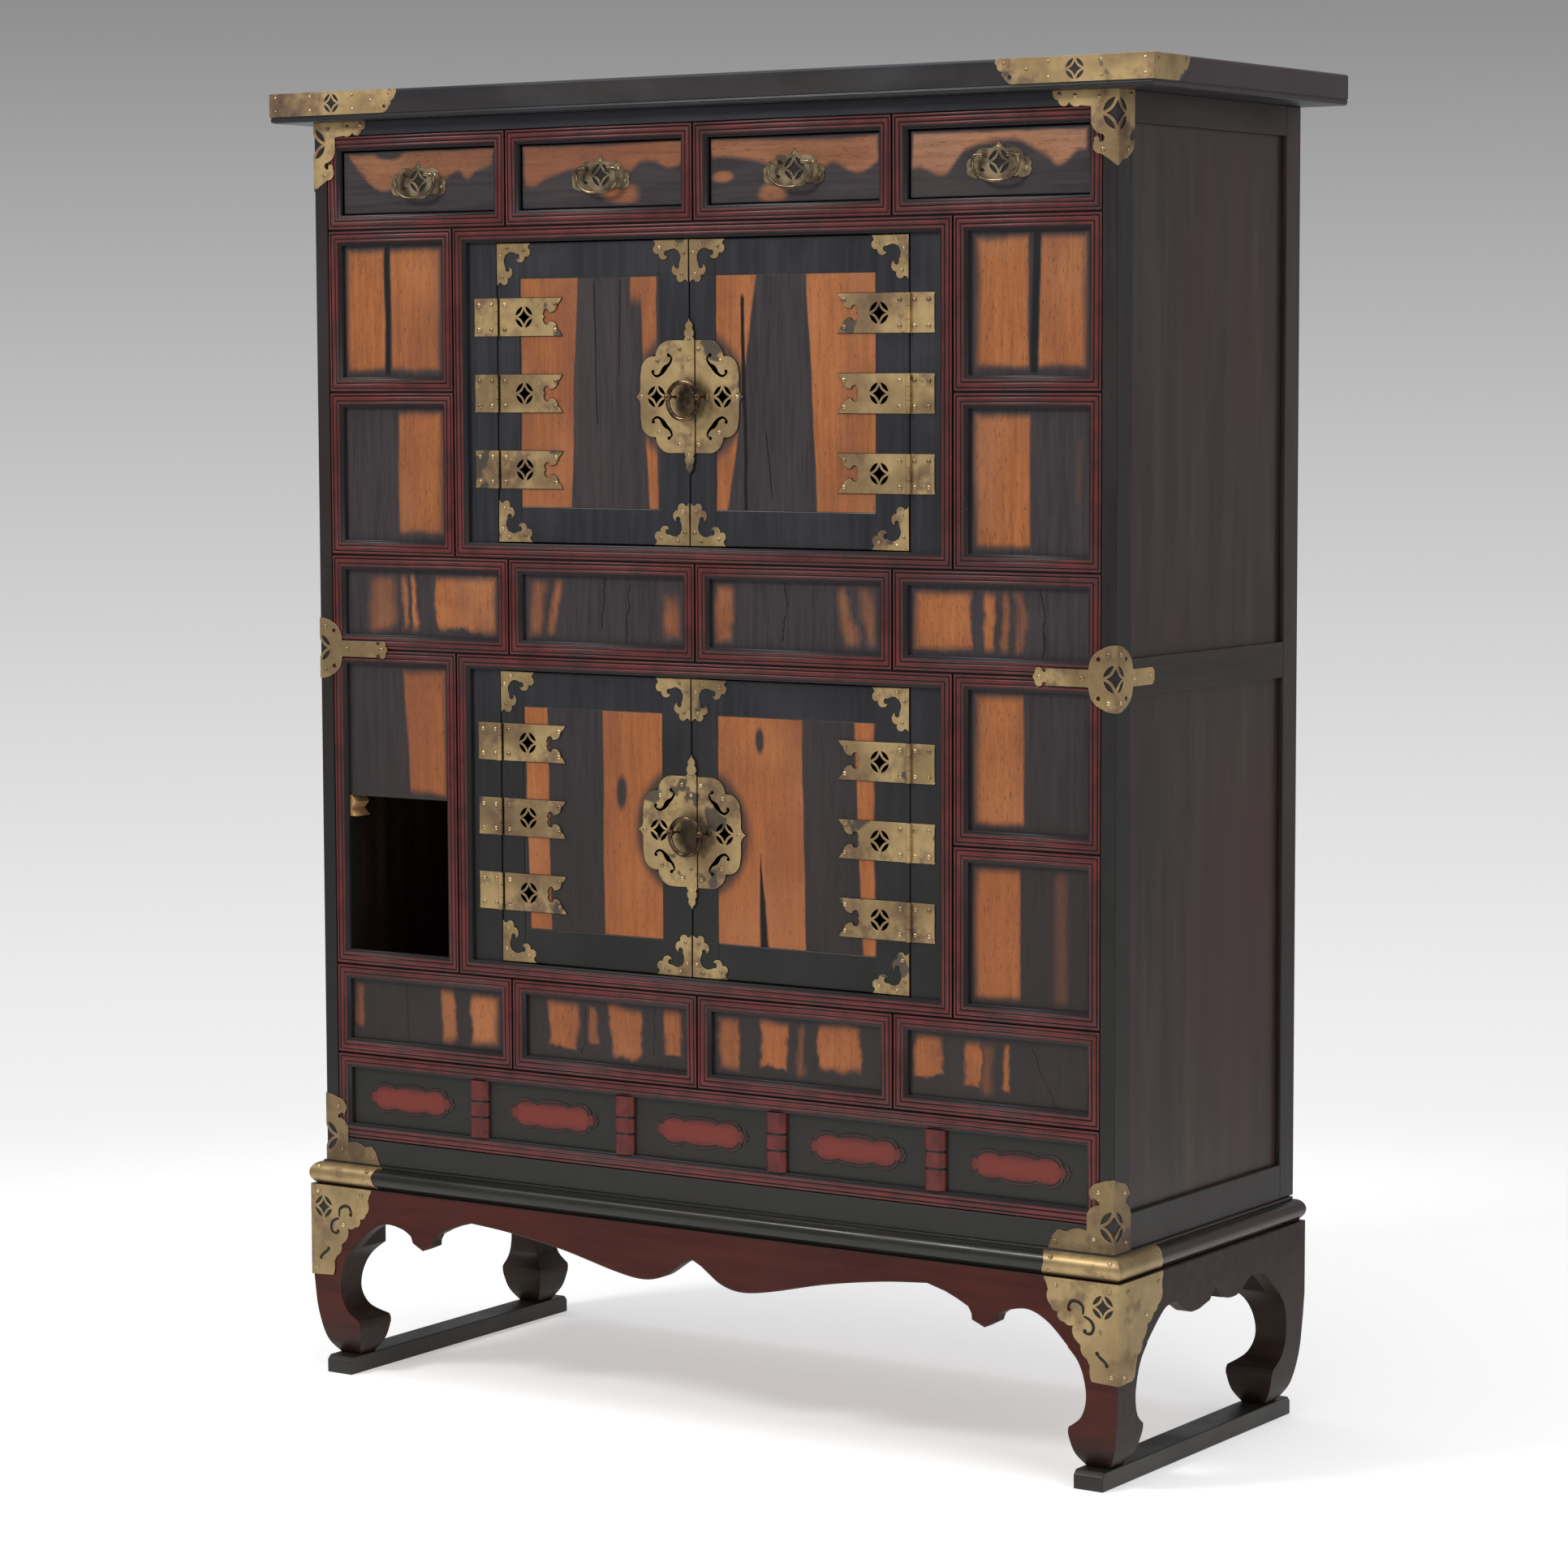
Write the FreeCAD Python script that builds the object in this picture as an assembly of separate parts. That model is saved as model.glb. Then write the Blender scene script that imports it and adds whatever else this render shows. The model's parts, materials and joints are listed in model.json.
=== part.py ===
"""Two-tier clothing chest on a scrolled stand, built up piece by piece.

The origin is under the middle of the chest on the ground. X runs to the right, Y to the back
and Z up, so the front looks along -Y. All sizes are in millimetres.
"""
import FreeCAD, Part
import math
import os

Vector = FreeCAD.Vector
os.makedirs("parts", exist_ok=True)

# ---------------------------------------------------------------- driving dimensions
# case
case_width = 1037.0
case_depth = 398.0
post_face = 17.5            # face of a corner post beside the mouldings
post_depth = 32.0
side_rail_thickness = 22.0
top_side_rail_height = 32.0
middle_side_rail_height = 38.5
bottom_side_rail_height = 38.0
panel_thickness = 8.0
side_panel_recess = 6.0
groove_depth = 5.0
groove_play = 0.5

# rows of the front, from the stand upwards
bottom_strip = 28.0
apron_row = 98.5
lower_small_row = 102.5
lower_door_row = 360.5
upper_small_row = 106.5
upper_door_row = 364.0
drawer_row = 105.5
top_strip = 15.5
lower_column_split = 181.0  # height of the bottom panel of each lower column
upper_column_split = 183.0

# columns of the front
column_width = 176.5        # side column beside a door opening

# ribbed mouldings and the framing behind them
moulding_width = 16.0
moulding_depth = 5.0
moulding_gap = 2.0
rib_height = 1.3
lip = 5.0                   # overhang of the framing's face beyond its stem
lip_depth = 3.0
front_panel_thickness = 6.0

# stand
runner_height = 20.0
runner_width = 35.0
runner_front_reach = 11.5   # beyond the front of the case
runner_back_reach = 7.0
runner_chamfer = 5.0
leg_height = 199.0
leg_square = 60.0           # section of a leg at its top
base_moulding_height = 27.0
base_overhang = 14.0
base_back_overhang = 4.0
base_moulding_breadth = 58.0
base_arris = 3.0
nose_flat = 30.0            # degrees that one flat of the nose turns
leg_set_in = 0.8            # from the nose of the base moulding to the face of a leg
ankle = 40.0
spur = 63.5
foot_inner = 50.0
foot_outer = 23.0
apron_thickness = 18.0
apron_join = 71.5           # depth of the aprons where the legs' curves take over
front_lobe = 61.0           # depths of the front apron below the base moulding
front_notch = 32.0
front_arch = 24.0
front_pendant = 63.0
side_lobe = 56.0
side_notch = 40.0
side_crest = 40.5
back_apron_depth = 43.5

# top board
board_thickness = 33.0
board_side_overhang = 50.0
board_front_overhang = 17.5
board_back_overhang = 12.0
board_bead = 5.5            # height of the bead along the foot of the board's edge
board_quirk = 1.2           # width and depth of the groove above the bead
board_arris = 2.5

# doors
hinge_stile_width = 39.5    # from the moulding to the hinge line
meeting_offset = 10.0       # the doors meet this far left of the middle
door_thickness = 22.0
door_play = 1.2
hinge_line_play = 0.8
meeting_play = 0.8
meeting_bevel = 1.8
door_rail = 39.0
left_hinge_stile = 31.0
left_meeting_stile = 39.0
right_meeting_stile = 33.5
right_hinge_stile = 42.0
door_panel_set_back = 0.6
door_tongue = 5.0
door_tongue_thickness = 4.0

# drawers
drawer_play = 1.2
drawer_front_thickness = 16.0
drawer_side_thickness = 8.0
drawer_bottom_thickness = 6.0
drawer_length = 300.0
drawer_side_drop = 8.0      # of the box sides below the top of the front
partition_thickness = 12.0
dust_board_thickness = 10.0
drawer_runner_width = 10.0
drawer_runner_play = 0.5

# boards inside
floor_thickness = 14.0

# small curves are worked in flats, to keep the whole chest light
flat_angle = 68.0           # degrees that one flat of a curved brass edge turns
wood_flats = 2              # flats between the marked points of a sawn curve
round_sides = 6             # sides of knuckles, posts, studs and pins

# brass
sheet = 1.2
coin_radius = 11.7          # pierced coin: four lenses round a diamond
hinge_height = 41.5
case_leaf = 31.5
door_leaf = 88.7
tail_depth = 27.5           # of the swallow tail cut in a door leaf
barrel_radius = 2.8
barrel_clear = 0.2
pin_radius = 1.3
running_clearance = 0.05
knuckle_gap = 0.3
leaf_clear = 3.2            # leaf edge to the hinge line, beside the knuckles
hinge_pitch = 83.5
upper_hinge_top = 99.0      # centre of the top hinge below the row's top line
lower_hinge_top = 97.0
brace_size = 46.0

lock_half_width = 70.0
lock_half_height = 60.0
lock_above_middle = -4.0    # centre of the lock from the middle of the door row
scroll_radius = 6.6
scroll_slot = 2.2
scroll_flat = 68.0          # degrees that one flat of a scroll turns
bar_width = 15.0
bar_length = 165.0
bar_finial = 25.0           # height of each shaped end of the bar
bar_thickness = 1.8
bar_lap_clear = 0.3

ring_radius = 19.7
ring_wire = 1.8
ring_flats = 16
ring_drop = 4.0             # of the ring's centre below the studs
stud_radius = 1.3
stud_ball = 4.1
stud_reach = 17.6
stud_gap = 0.35
ball_gap = 0.8

pull_half_width = 38.0
pull_rise = 22.0            # of the plate's point above the coin's centre
pull_post_spread = 18.0
pull_post_radius = 2.6
pull_post_reach = 7.5
pull_pivot_rise = 6.7
bail_half_width = 27.5
bail_drop = 26.0
bail_wire = 1.9
bail_flats = 9
bail_sides = 6
bail_pin_radius = 1.1

plate_body = 31.5           # case corner plates: width of the body on each face
plate_arm = 75.0
plate_length = 78.0
plate_coin_radius = 16.2
roundel_radius = 34.5       # plate at the tier line
roundel_arm = 97.5
roundel_side_arm = 78.0
roundel_arm_half = 8.6

board_cap_front = 183.0
board_cap_side = 75.0
stand_cap_front = 96.0
stand_cap_side = 98.0
stand_cap_notch = 7.0
leg_plate_top = 88.0
leg_plate_side_top = 91.0
leg_plate_length = 106.0

# ---------------------------------------------------------------- derived places
half_width = case_width / 2
member_half = moulding_width + moulding_gap / 2
stem_half = member_half - lip
panel_depth = moulding_depth + lip_depth

depth_total = board_front_overhang + case_depth + board_back_overhang
front_y = board_front_overhang - depth_total / 2
back_y = front_y + case_depth

z_leg = runner_height
z_moulding = z_leg + leg_height
z_case = z_moulding + base_moulding_height
z_apron_row = z_case + bottom_strip
z_lower_small = z_apron_row + apron_row
z_lower_doors = z_lower_small + lower_small_row
z_tier = z_lower_doors + lower_door_row
z_upper_doors = z_tier + upper_small_row
z_drawers = z_upper_doors + upper_door_row
z_top_strip = z_drawers + drawer_row
z_case_top = z_top_strip + top_strip
z_lower_split = z_lower_doors + lower_column_split
z_upper_split = z_upper_doors + upper_column_split

x_frame = half_width - post_face          # outer line of the mouldings
x_door_row = x_frame - column_width       # line between a side column and the doors
x_quarter = x_frame / 2
x_post_stem = x_frame - stem_half
x_post_lip = x_frame - member_half
x_hinge = x_door_row - moulding_width - moulding_gap / 2 - hinge_stile_width
x_meet = -meeting_offset


def at(depth):
    """Y of a plane that lies this far behind the front of the corner posts."""
    return front_y + depth


# ---------------------------------------------------------------- helpers
def box(x0, x1, y0, y1, z0, z1):
    """A block between two corners, given in any order."""
    x0, x1 = min(x0, x1), max(x0, x1)
    y0, y1 = min(y0, y1), max(y0, y1)
    z0, z1 = min(z0, z1), max(z0, z1)
    return Part.makeBox(x1 - x0, y1 - y0, z1 - z0, Vector(x0, y0, z0))


def arc_points(start, through, end, flat):
    """Points of an arc after its start, one for each flat of the given angle in degrees."""
    (ax, ay), (bx, by), (cx, cy) = start, through, end
    twice = 2 * (ax * (by - cy) + bx * (cy - ay) + cx * (ay - by))
    if abs(twice) < 1e-6:
        return [end]
    sa, sb, sc = ax * ax + ay * ay, bx * bx + by * by, cx * cx + cy * cy
    ux = (sa * (by - cy) + sb * (cy - ay) + sc * (ay - by)) / twice
    uy = (sa * (cx - bx) + sb * (ax - cx) + sc * (bx - ax)) / twice
    radius = math.hypot(ax - ux, ay - uy)
    turn = math.atan2(ay - uy, ax - ux)
    sweep = (math.atan2(cy - uy, cx - ux) - turn) % (2 * math.pi)
    if (math.atan2(by - uy, bx - ux) - turn) % (2 * math.pi) > sweep:
        sweep -= 2 * math.pi
    count = max(2, math.ceil(abs(math.degrees(sweep)) / flat - 0.2))
    angles = [turn + sweep * step / count for step in range(1, count)]
    return [(ux + radius * math.cos(angle), uy + radius * math.sin(angle)) for angle in angles] + [end]


def curve_points(points, flats):
    """Points of a smooth curve through the given ones, after the first."""
    curve = Part.BSplineCurve()
    curve.interpolate([Vector(x, y, 0) for x, y in points])
    knots = curve.getKnots()
    found = []
    for low, high in zip(knots, knots[1:]):
        for step in range(1, flats + 1):
            place = curve.value(low + (high - low) * step / flats)
            found.append((place.x, place.y))
    return found


def outline_points(steps, flat=flat_angle):
    """Corners of a closed outline. A step is a point, a (through, end) pair for an arc,
    or a list of points for a smooth curve."""
    points = [steps[0]]
    for step in steps[1:]:
        if isinstance(step, list):
            points += curve_points([points[-1]] + step, wood_flats)
        elif isinstance(step[0], tuple):
            points += arc_points(points[-1], step[0], step[1], flat)
        else:
            points.append(step)
    kept = [points[0]]
    for point in points[1:]:
        if math.dist(point, kept[-1]) > 1e-6:
            kept.append(point)
    if math.dist(kept[0], kept[-1]) < 1e-6:
        kept.pop()
    return kept


def face_of(steps, lift, flat=flat_angle):
    corners = [lift(point) for point in outline_points(steps, flat)]
    return Part.Face(Part.makePolygon(corners + corners[:1]))


def sheet_xz(steps, y0, y1, flat=flat_angle):
    """An outline in the XZ plane, extruded from y0 to y1."""
    return face_of(steps, lambda p: Vector(p[0], y0, p[1]), flat).extrude(Vector(0, y1 - y0, 0))


def sheet_yz(steps, x0, x1, flat=flat_angle):
    """An outline in the YZ plane, extruded from x0 to x1."""
    return face_of(steps, lambda p: Vector(x0, p[0], p[1]), flat).extrude(Vector(x1 - x0, 0, 0))


def sheet_xy(steps, z0, z1, flat=flat_angle):
    """An outline in the XY plane, extruded from z0 to z1."""
    return face_of(steps, lambda p: Vector(p[0], p[1], z0), flat).extrude(Vector(0, 0, z1 - z0))


def each_point(steps, change):
    """The same steps with every point changed by a function."""
    out = []
    for step in steps:
        if isinstance(step, list):
            out.append([change(point) for point in step])
        elif isinstance(step[0], tuple):
            out.append((change(step[0]), change(step[1])))
        else:
            out.append(change(step))
    return out


def sized(steps, wide, tall):
    """Unit steps at their real width and height."""
    return each_point(steps, lambda p: (p[0] * wide, p[1] * tall))


def placed(steps, x, z, way=1, up=1):
    """Steps measured from a point (x, z), turned left or right and up or down."""
    return each_point(steps, lambda p: (x + way * p[0], z + up * p[1]))


def reversed_steps(steps):
    """The same open outline walked from its end."""
    ends = [step[1] if isinstance(step[0], tuple) else step for step in steps]
    back = [ends[-1]]
    for index in range(len(steps) - 1, 0, -1):
        step = steps[index]
        back.append((step[0], ends[index - 1]) if isinstance(step[0], tuple) else ends[index - 1])
    return back


def with_mirror(steps, swap):
    """An open outline followed by its own mirror image, walked back."""
    return steps + reversed_steps(each_point(steps, swap))[1:]


def turned(profile, centre, sides, closed=False):
    """A small turned piece, with its axis along +Y through the centre.
    The profile holds (radius, reach) pairs; a closed profile makes a ring."""
    def place(radius, reach, step):
        angle = 2 * math.pi * (step + 0.5) / sides
        return centre + Vector(radius * math.cos(angle), reach, radius * math.sin(angle))

    pairs = list(zip(profile, profile[1:] + profile[:1])) if closed else list(zip(profile, profile[1:]))
    faces = []
    for (r0, h0), (r1, h1) in pairs:
        for step in range(sides):
            corners = [place(r0, h0, step), place(r0, h0, step + 1),
                       place(r1, h1, step + 1), place(r1, h1, step)]
            kept = [corner for index, corner in enumerate(corners)
                    if corner.distanceToPoint(corners[index - 1]) > 1e-6]
            if len(kept) > 2:
                faces.append(Part.Face(Part.makePolygon(kept + kept[:1])))
    if not closed:
        for radius, reach in (profile[0], profile[-1]):
            if radius > 1e-6:
                ring = [place(radius, reach, step) for step in range(sides)]
                faces.append(Part.Face(Part.makePolygon(ring + ring[:1])))
    solid = Part.makeSolid(Part.makeShell(faces))
    if solid.Volume < 0:
        solid.reverse()
    return solid


def upright_bar(x, y, z0, z1, radius):
    """A many-sided bar standing on (x, y); the radius reaches to its corners."""
    bar = turned([(radius, 0.0), (radius, z1 - z0)], Vector(0, 0, 0), round_sides)
    bar.rotate(Vector(0, 0, 0), Vector(1, 0, 0), 90)
    return moved(bar, x, y, z0)


def level_bar(x0, x1, y, z, radius, sides):
    """The same lying along X."""
    bar = turned([(radius, 0.0), (radius, abs(x1 - x0))], Vector(0, 0, 0), sides)
    bar.rotate(Vector(0, 0, 0), Vector(0, 0, 1), -90)
    return moved(bar, min(x0, x1), y, z)


def bent_rod(path, y, radius, sides):
    """A rod of even section along a path of (x, z) points, mitred at each bend."""
    sections = []
    for index, point in enumerate(path):
        before = path[max(index - 1, 0)]
        after = path[min(index + 1, len(path) - 1)]
        here = Vector(point[0], y, point[1])
        came = Vector(point[0] - before[0], 0, point[1] - before[1])
        goes = Vector(after[0] - point[0], 0, after[1] - point[1])
        came = came if came.Length > 0 else goes
        goes = goes if goes.Length > 0 else came
        along = came.normalize() + goes.normalize()
        along.normalize()
        across = Vector(-along.z, 0, along.x)
        stretch = 1 / along.dot(goes)
        ring = []
        for step in range(sides):
            angle = 2 * math.pi * (step + 0.5) / sides
            side = radius * math.cos(angle) * stretch
            ring.append(here + across * side + Vector(0, radius * math.sin(angle), 0))
        sections.append(ring)
    faces = [Part.Face(Part.makePolygon(ring + ring[:1])) for ring in (sections[0], sections[-1])]
    for first, second in zip(sections, sections[1:]):
        for step in range(sides):
            after = (step + 1) % sides
            corners = [first[step], first[after], second[after], second[step]]
            faces.append(Part.Face(Part.makePolygon(corners + corners[:1])))
    solid = Part.makeSolid(Part.makeShell(faces))
    if solid.Volume < 0:
        solid.reverse()
    return solid


def mirrored(shape, x=0.0):
    """The shape's mirror image left to right, about a plane at x."""
    return shape.mirror(Vector(x, 0, 0), Vector(1, 0, 0))


def both_sides(shape):
    return [shape, mirrored(shape)]


def moved(shape, x=0.0, y=0.0, z=0.0):
    copy = shape.copy()
    copy.translate(Vector(x, y, z))
    return copy


def fused(shapes):
    whole = shapes[0].fuse(shapes[1:]) if len(shapes) > 1 else shapes[0]
    return whole.removeSplitter()


def save(node, shapes):
    """Write one node; its pieces stay separate solids."""
    solids = [solid for shape in shapes for solid in shape.Solids]
    Part.makeCompound(solids).exportStep("parts/" + node + ".step")


# ---------------------------------------------------------------- case framing
def corner_posts():
    """Four posts: the front ones are rebated for the mouldings, all are grooved for the panels."""
    groove = panel_thickness
    groove_out = half_width - side_panel_recess
    groove_in = groove_out - groove
    front = [
        (half_width, at(0)), (half_width, at(post_depth)),
        (groove_out, at(post_depth)), (groove_out, at(post_depth - groove_depth)),
        (groove_in, at(post_depth - groove_depth)), (groove_in, at(post_depth)),
        (x_post_stem, at(post_depth)), (x_post_stem, at(panel_depth)),
        (x_post_lip, at(panel_depth)), (x_post_lip, at(moulding_depth)),
        (x_frame, at(moulding_depth)), (x_frame, at(0)),
    ]
    inside = back_y - post_depth
    back_groove = back_y - side_panel_recess
    back = [
        (half_width, back_y), (half_width, inside),
        (groove_out, inside), (groove_out, inside + groove_depth),
        (groove_in, inside + groove_depth), (groove_in, inside),
        (x_post_stem, inside), (x_post_stem, back_groove - groove),
        (x_post_stem + groove_depth, back_groove - groove),
        (x_post_stem + groove_depth, back_groove), (x_post_stem, back_groove),
        (x_post_stem, back_y),
    ]
    posts = []
    for section in (front, back):
        posts += both_sides(sheet_xy(section, z_case, z_case_top))
    return posts


def framing_member(x0, x1, z0, z1, across):
    """A rail (across) or a muntin between its neighbours' lines, with a lip on its face."""
    if across:
        stem = box(x0[0], x1[0], at(panel_depth), at(post_depth), z0 - stem_half, z0 + stem_half)
        face = box(x0[1], x1[1], at(moulding_depth), at(panel_depth), z0 - member_half, z0 + member_half)
    else:
        stem = box(x0 - stem_half, x0 + stem_half, at(panel_depth), at(post_depth),
                   z0 + stem_half, z1 - stem_half)
        face = box(x0 - member_half, x0 + member_half, at(moulding_depth), at(panel_depth),
                   z0 + member_half, z1 - member_half)
    return fused([stem, face])


def front_rails():
    """Seven rails across the front; the end ones carry the plain strips, flush with the posts."""
    ends = ((-x_post_stem, -x_post_lip), (x_post_stem, x_post_lip))
    rails = [framing_member(ends[0], ends[1], z, None, True)
             for z in (z_lower_small, z_lower_doors, z_tier, z_upper_doors, z_drawers)]
    strip_stem = x_post_stem
    for line, strip_end, way in ((z_apron_row, z_case, 1), (z_top_strip, z_case_top, -1)):
        section = [
            (at(0), strip_end), (at(0), line), (at(moulding_depth), line),
            (at(moulding_depth), line + way * member_half), (at(panel_depth), line + way * member_half),
            (at(panel_depth), line + way * stem_half), (at(post_depth), line + way * stem_half),
            (at(post_depth), strip_end),
        ]
        strip = sheet_yz(section, -strip_stem, strip_stem)
        ends_cut = [box(side * x_post_lip, side * half_width, at(-1), at(panel_depth),
                        line, line + way * (member_half + 1)) for side in (-1, 1)]
        shoulder = [box(side * x_frame, side * x_post_stem, at(0), at(panel_depth),
                        strip_end, line) for side in (-1, 1)]
        strip = strip.cut(Part.makeCompound(ends_cut))
        strip = strip.fuse(shoulder).removeSplitter()
        for post in corner_posts():
            strip = strip.cut(post)
        rails.append(strip)
    return rails


def front_muntins():
    """Uprights between the rails, and the short rails of the side columns."""
    pieces = []
    quarter_lines = (-x_quarter, 0.0, x_quarter)
    for low, high in ((z_lower_small, z_lower_doors), (z_tier, z_upper_doors), (z_drawers, z_top_strip)):
        pieces += [framing_member(x, None, low, high, False) for x in quarter_lines]
    for low, high in ((z_lower_doors, z_tier), (z_upper_doors, z_drawers)):
        pieces += [framing_member(x, None, low, high, False) for x in (-x_door_row, x_door_row)]
    near = (x_door_row + stem_half, x_door_row + member_half)
    far = (x_post_stem, x_post_lip)
    right = [framing_member(near, far, z, None, True) for z in (z_upper_split, z_lower_split)]
    pieces += right
    pieces.append(mirrored(right[0]))
    return pieces


def broken_rail_stubs():
    """What is left of the lower left column's rail, snapped off beside the post and the muntin."""
    tooth = stem_half / 3
    stubs = []
    for x, way, reach in ((-x_post_stem, 1, 14.0), (-x_door_row - stem_half, -1, 9.0)):
        section = [(x, z_lower_split - stem_half), (x + way * reach, z_lower_split - stem_half),
                   (x + way * reach * 0.4, z_lower_split - tooth),
                   (x + way * reach * 0.9, z_lower_split + tooth),
                   (x + way * reach * 0.5, z_lower_split + stem_half), (x, z_lower_split + stem_half)]
        stubs.append(sheet_xz(section, at(panel_depth), at(post_depth)))
    return stubs


def hinge_stiles():
    """The flush strips beside the doors that carry the hinges."""
    stiles = []
    for low, high in ((z_lower_doors, z_tier), (z_upper_doors, z_drawers)):
        stiles += both_sides(box(x_hinge + hinge_line_play, x_door_row - stem_half, at(panel_depth),
                                 at(panel_depth + door_thickness), low + stem_half, high - stem_half))
    return stiles


side_levels = ((z_case, bottom_side_rail_height), (z_tier - middle_side_rail_height / 2, middle_side_rail_height),
               (z_case_top - top_side_rail_height, top_side_rail_height))


def grooved_rail(z0, height, outer, inner, groove_out, groove_in):
    """Outline across a side or back rail: outer face first, with grooves where panels enter."""
    z1 = z0 + height
    steps = [(outer, z0), (outer, z1)]
    if z1 < z_case_top:
        steps += [(groove_out, z1), (groove_out, z1 - groove_depth),
                  (groove_in, z1 - groove_depth), (groove_in, z1)]
    steps += [(inner, z1), (inner, z0)]
    if z0 > z_case:
        steps += [(groove_in, z0), (groove_in, z0 + groove_depth),
                  (groove_out, z0 + groove_depth), (groove_out, z0)]
    return steps


def side_rails():
    rails = []
    out = half_width - side_panel_recess
    for z0, height in side_levels:
        steps = grooved_rail(z0, height, half_width, half_width - side_rail_thickness,
                             out, out - panel_thickness)
        rail = sheet_xz(steps, at(post_depth), back_y - post_depth)
        rails += both_sides(rail)
    return rails


def back_rails():
    out = back_y - side_panel_recess
    return [sheet_yz(grooved_rail(z0, height, back_y, back_y - side_rail_thickness, out, out - panel_thickness),
                     -x_post_stem, x_post_stem) for z0, height in side_levels]


def panel_spans():
    """Heights of the lower and upper panels of the sides and the back, in their grooves."""
    reach = groove_depth - groove_play
    spans = []
    for (z0, height), (z1, _) in zip(side_levels, side_levels[1:]):
        spans.append((z0 + height - reach, z1 + reach))
    return spans


def side_panels():
    out = half_width - side_panel_recess
    reach = groove_depth - groove_play
    panels = []
    for low, high in panel_spans():
        panels += both_sides(box(out - panel_thickness, out, at(post_depth) - reach,
                                 back_y - post_depth + reach, low, high))
    return panels


def back_panels():
    out = back_y - side_panel_recess
    reach = x_post_stem + groove_depth - groove_play
    return [box(-reach, reach, out - panel_thickness, out, low, high) for low, high in panel_spans()]


def board_inside(z0, z1, half):
    """A board between the front rails and the back, notched round the posts."""
    board = box(-half, half, at(post_depth), back_y - side_rail_thickness, z0, z1)
    for side in (-1, 1):
        board = board.cut(box(side * x_post_stem, side * half_width, back_y - post_depth, back_y, z0, z1))
    return board


def floor_boards():
    half = half_width - side_rail_thickness
    tops = (z_case + bottom_side_rail_height, z_tier + stem_half)
    return [board_inside(top - floor_thickness, top, half) for top in tops]


z_dust_board = z_drawers + stem_half
z_drawer = z_drawers + member_half + drawer_play     # underside of a drawer


def drawer_partitions():
    """The dust board under the drawers, the upright boards between them and their runners."""
    side_panel_inside = half_width - side_panel_recess - panel_thickness
    back_inside = back_y - side_panel_recess - panel_thickness
    dust = box(-side_panel_inside, side_panel_inside, at(post_depth), back_inside,
               z_dust_board - dust_board_thickness, z_dust_board)
    for side in (-1, 1):
        dust = dust.cut(box(side * x_post_stem, side * half_width, back_y - post_depth, back_y,
                            z_dust_board - dust_board_thickness, z_dust_board))
    pieces = [dust]
    for x in (-x_quarter, 0.0, x_quarter):
        pieces.append(box(x - partition_thickness / 2, x + partition_thickness / 2, at(post_depth),
                          back_y - side_rail_thickness, z_dust_board, z_case_top))
    for x0, x1 in drawer_cells():
        for inner in (x0 + member_half + drawer_play, x1 - member_half - drawer_play - drawer_runner_width):
            pieces.append(box(inner, inner + drawer_runner_width, at(post_depth),
                              back_y - post_depth, z_dust_board, z_drawer - drawer_runner_play))
    return pieces


def drawer_cells():
    lines = [-x_frame, -x_quarter, 0.0, x_quarter, x_frame]
    return list(zip(lines, lines[1:]))


def top_board():
    """Thick board, moulded along its front and both ends: a bead below a fine groove."""
    x1 = half_width + board_side_overhang
    y0, y1 = at(-board_front_overhang), back_y + board_back_overhang
    z0, z1 = z_case_top, z_case_top + board_thickness
    soft, quirk, bead = board_arris, board_quirk, board_bead

    edge = [(soft, z1), ((soft * 0.3, z1 - soft * 0.3), (0.0, z1 - soft)), (0.0, z0 + bead + quirk),
            (quirk, z0 + bead + quirk), (quirk, z0 + bead), (quirk * 0.4, z0 + bead * 0.85),
            ((quirk * 0.6, z0 + bead * 0.35), (bead * 0.8, z0))]
    front = placed(edge, y0, 0.0)
    along = front + [(y1, z0), (y1, z1)]
    right = placed(edge, x1, 0.0, -1)
    across = right + reversed_steps(placed(edge, -x1, 0.0))
    return [sheet_yz(along, -x1, x1).common(sheet_xz(across, y0, y1))]


# ---------------------------------------------------------------- mouldings
def moulding_section():
    """(across, out) points of the ribbed strip: a broad rib, a fine one and a low outer flat."""
    width, low = moulding_width, -rib_height
    return [(0.0, -moulding_depth), (0.0, 0.0), (width * 0.22, 0.0), (width * 0.3, low), (width * 0.38, 0.0),
            (width * 0.62, 0.0), (width * 0.7, low), (width, low), (width, -moulding_depth)]


def moulding_strip(length):
    """One strip along +X from the origin, mitred at both ends: z is across, inwards; y is depth."""
    section = [(front_y - out, across) for across, out in moulding_section()]
    strip = sheet_yz(section, 0.0, length)
    reach = moulding_width + 1.0
    for x, way in ((0.0, 1), (length, -1)):
        wedge = Part.Face(Part.makePolygon([
            Vector(x - way * 1.0, at(-1), -1.0), Vector(x + way * reach, at(-1), reach),
            Vector(x - way * 1.0, at(-1), reach), Vector(x - way * 1.0, at(-1), -1.0)]))
        strip = strip.cut(wedge.extrude(Vector(0, moulding_depth + 2.0, 0)))
    return strip


def moulding_frame(x0, x1, z0, z1, sides="bottom right top left"):
    """Mitred strips round one cell of the front, glued at the corners."""
    inset = moulding_gap / 2
    x0, x1, z0, z1 = x0 + inset, x1 - inset, z0 + inset, z1 - inset
    flat = moulding_strip(x1 - x0)
    upright = moulding_strip(z1 - z0)
    centre, axis = Vector(0, 0, 0), Vector(0, 1, 0)
    strips = {}
    strips["bottom"] = moved(flat, x0, 0, z0)
    top = flat.copy()
    top.rotate(centre, axis, 180)
    top = mirrored(top)
    strips["top"] = moved(top, x0, 0, z1)
    left = upright.copy()
    left.rotate(centre, axis, -90)
    left = mirrored(left)
    strips["left"] = moved(left, x0, 0, z0)
    strips["right"] = moved(mirrored(left), x1, 0, z0)
    return [fused([strips[side] for side in sides.split()])]


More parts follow.
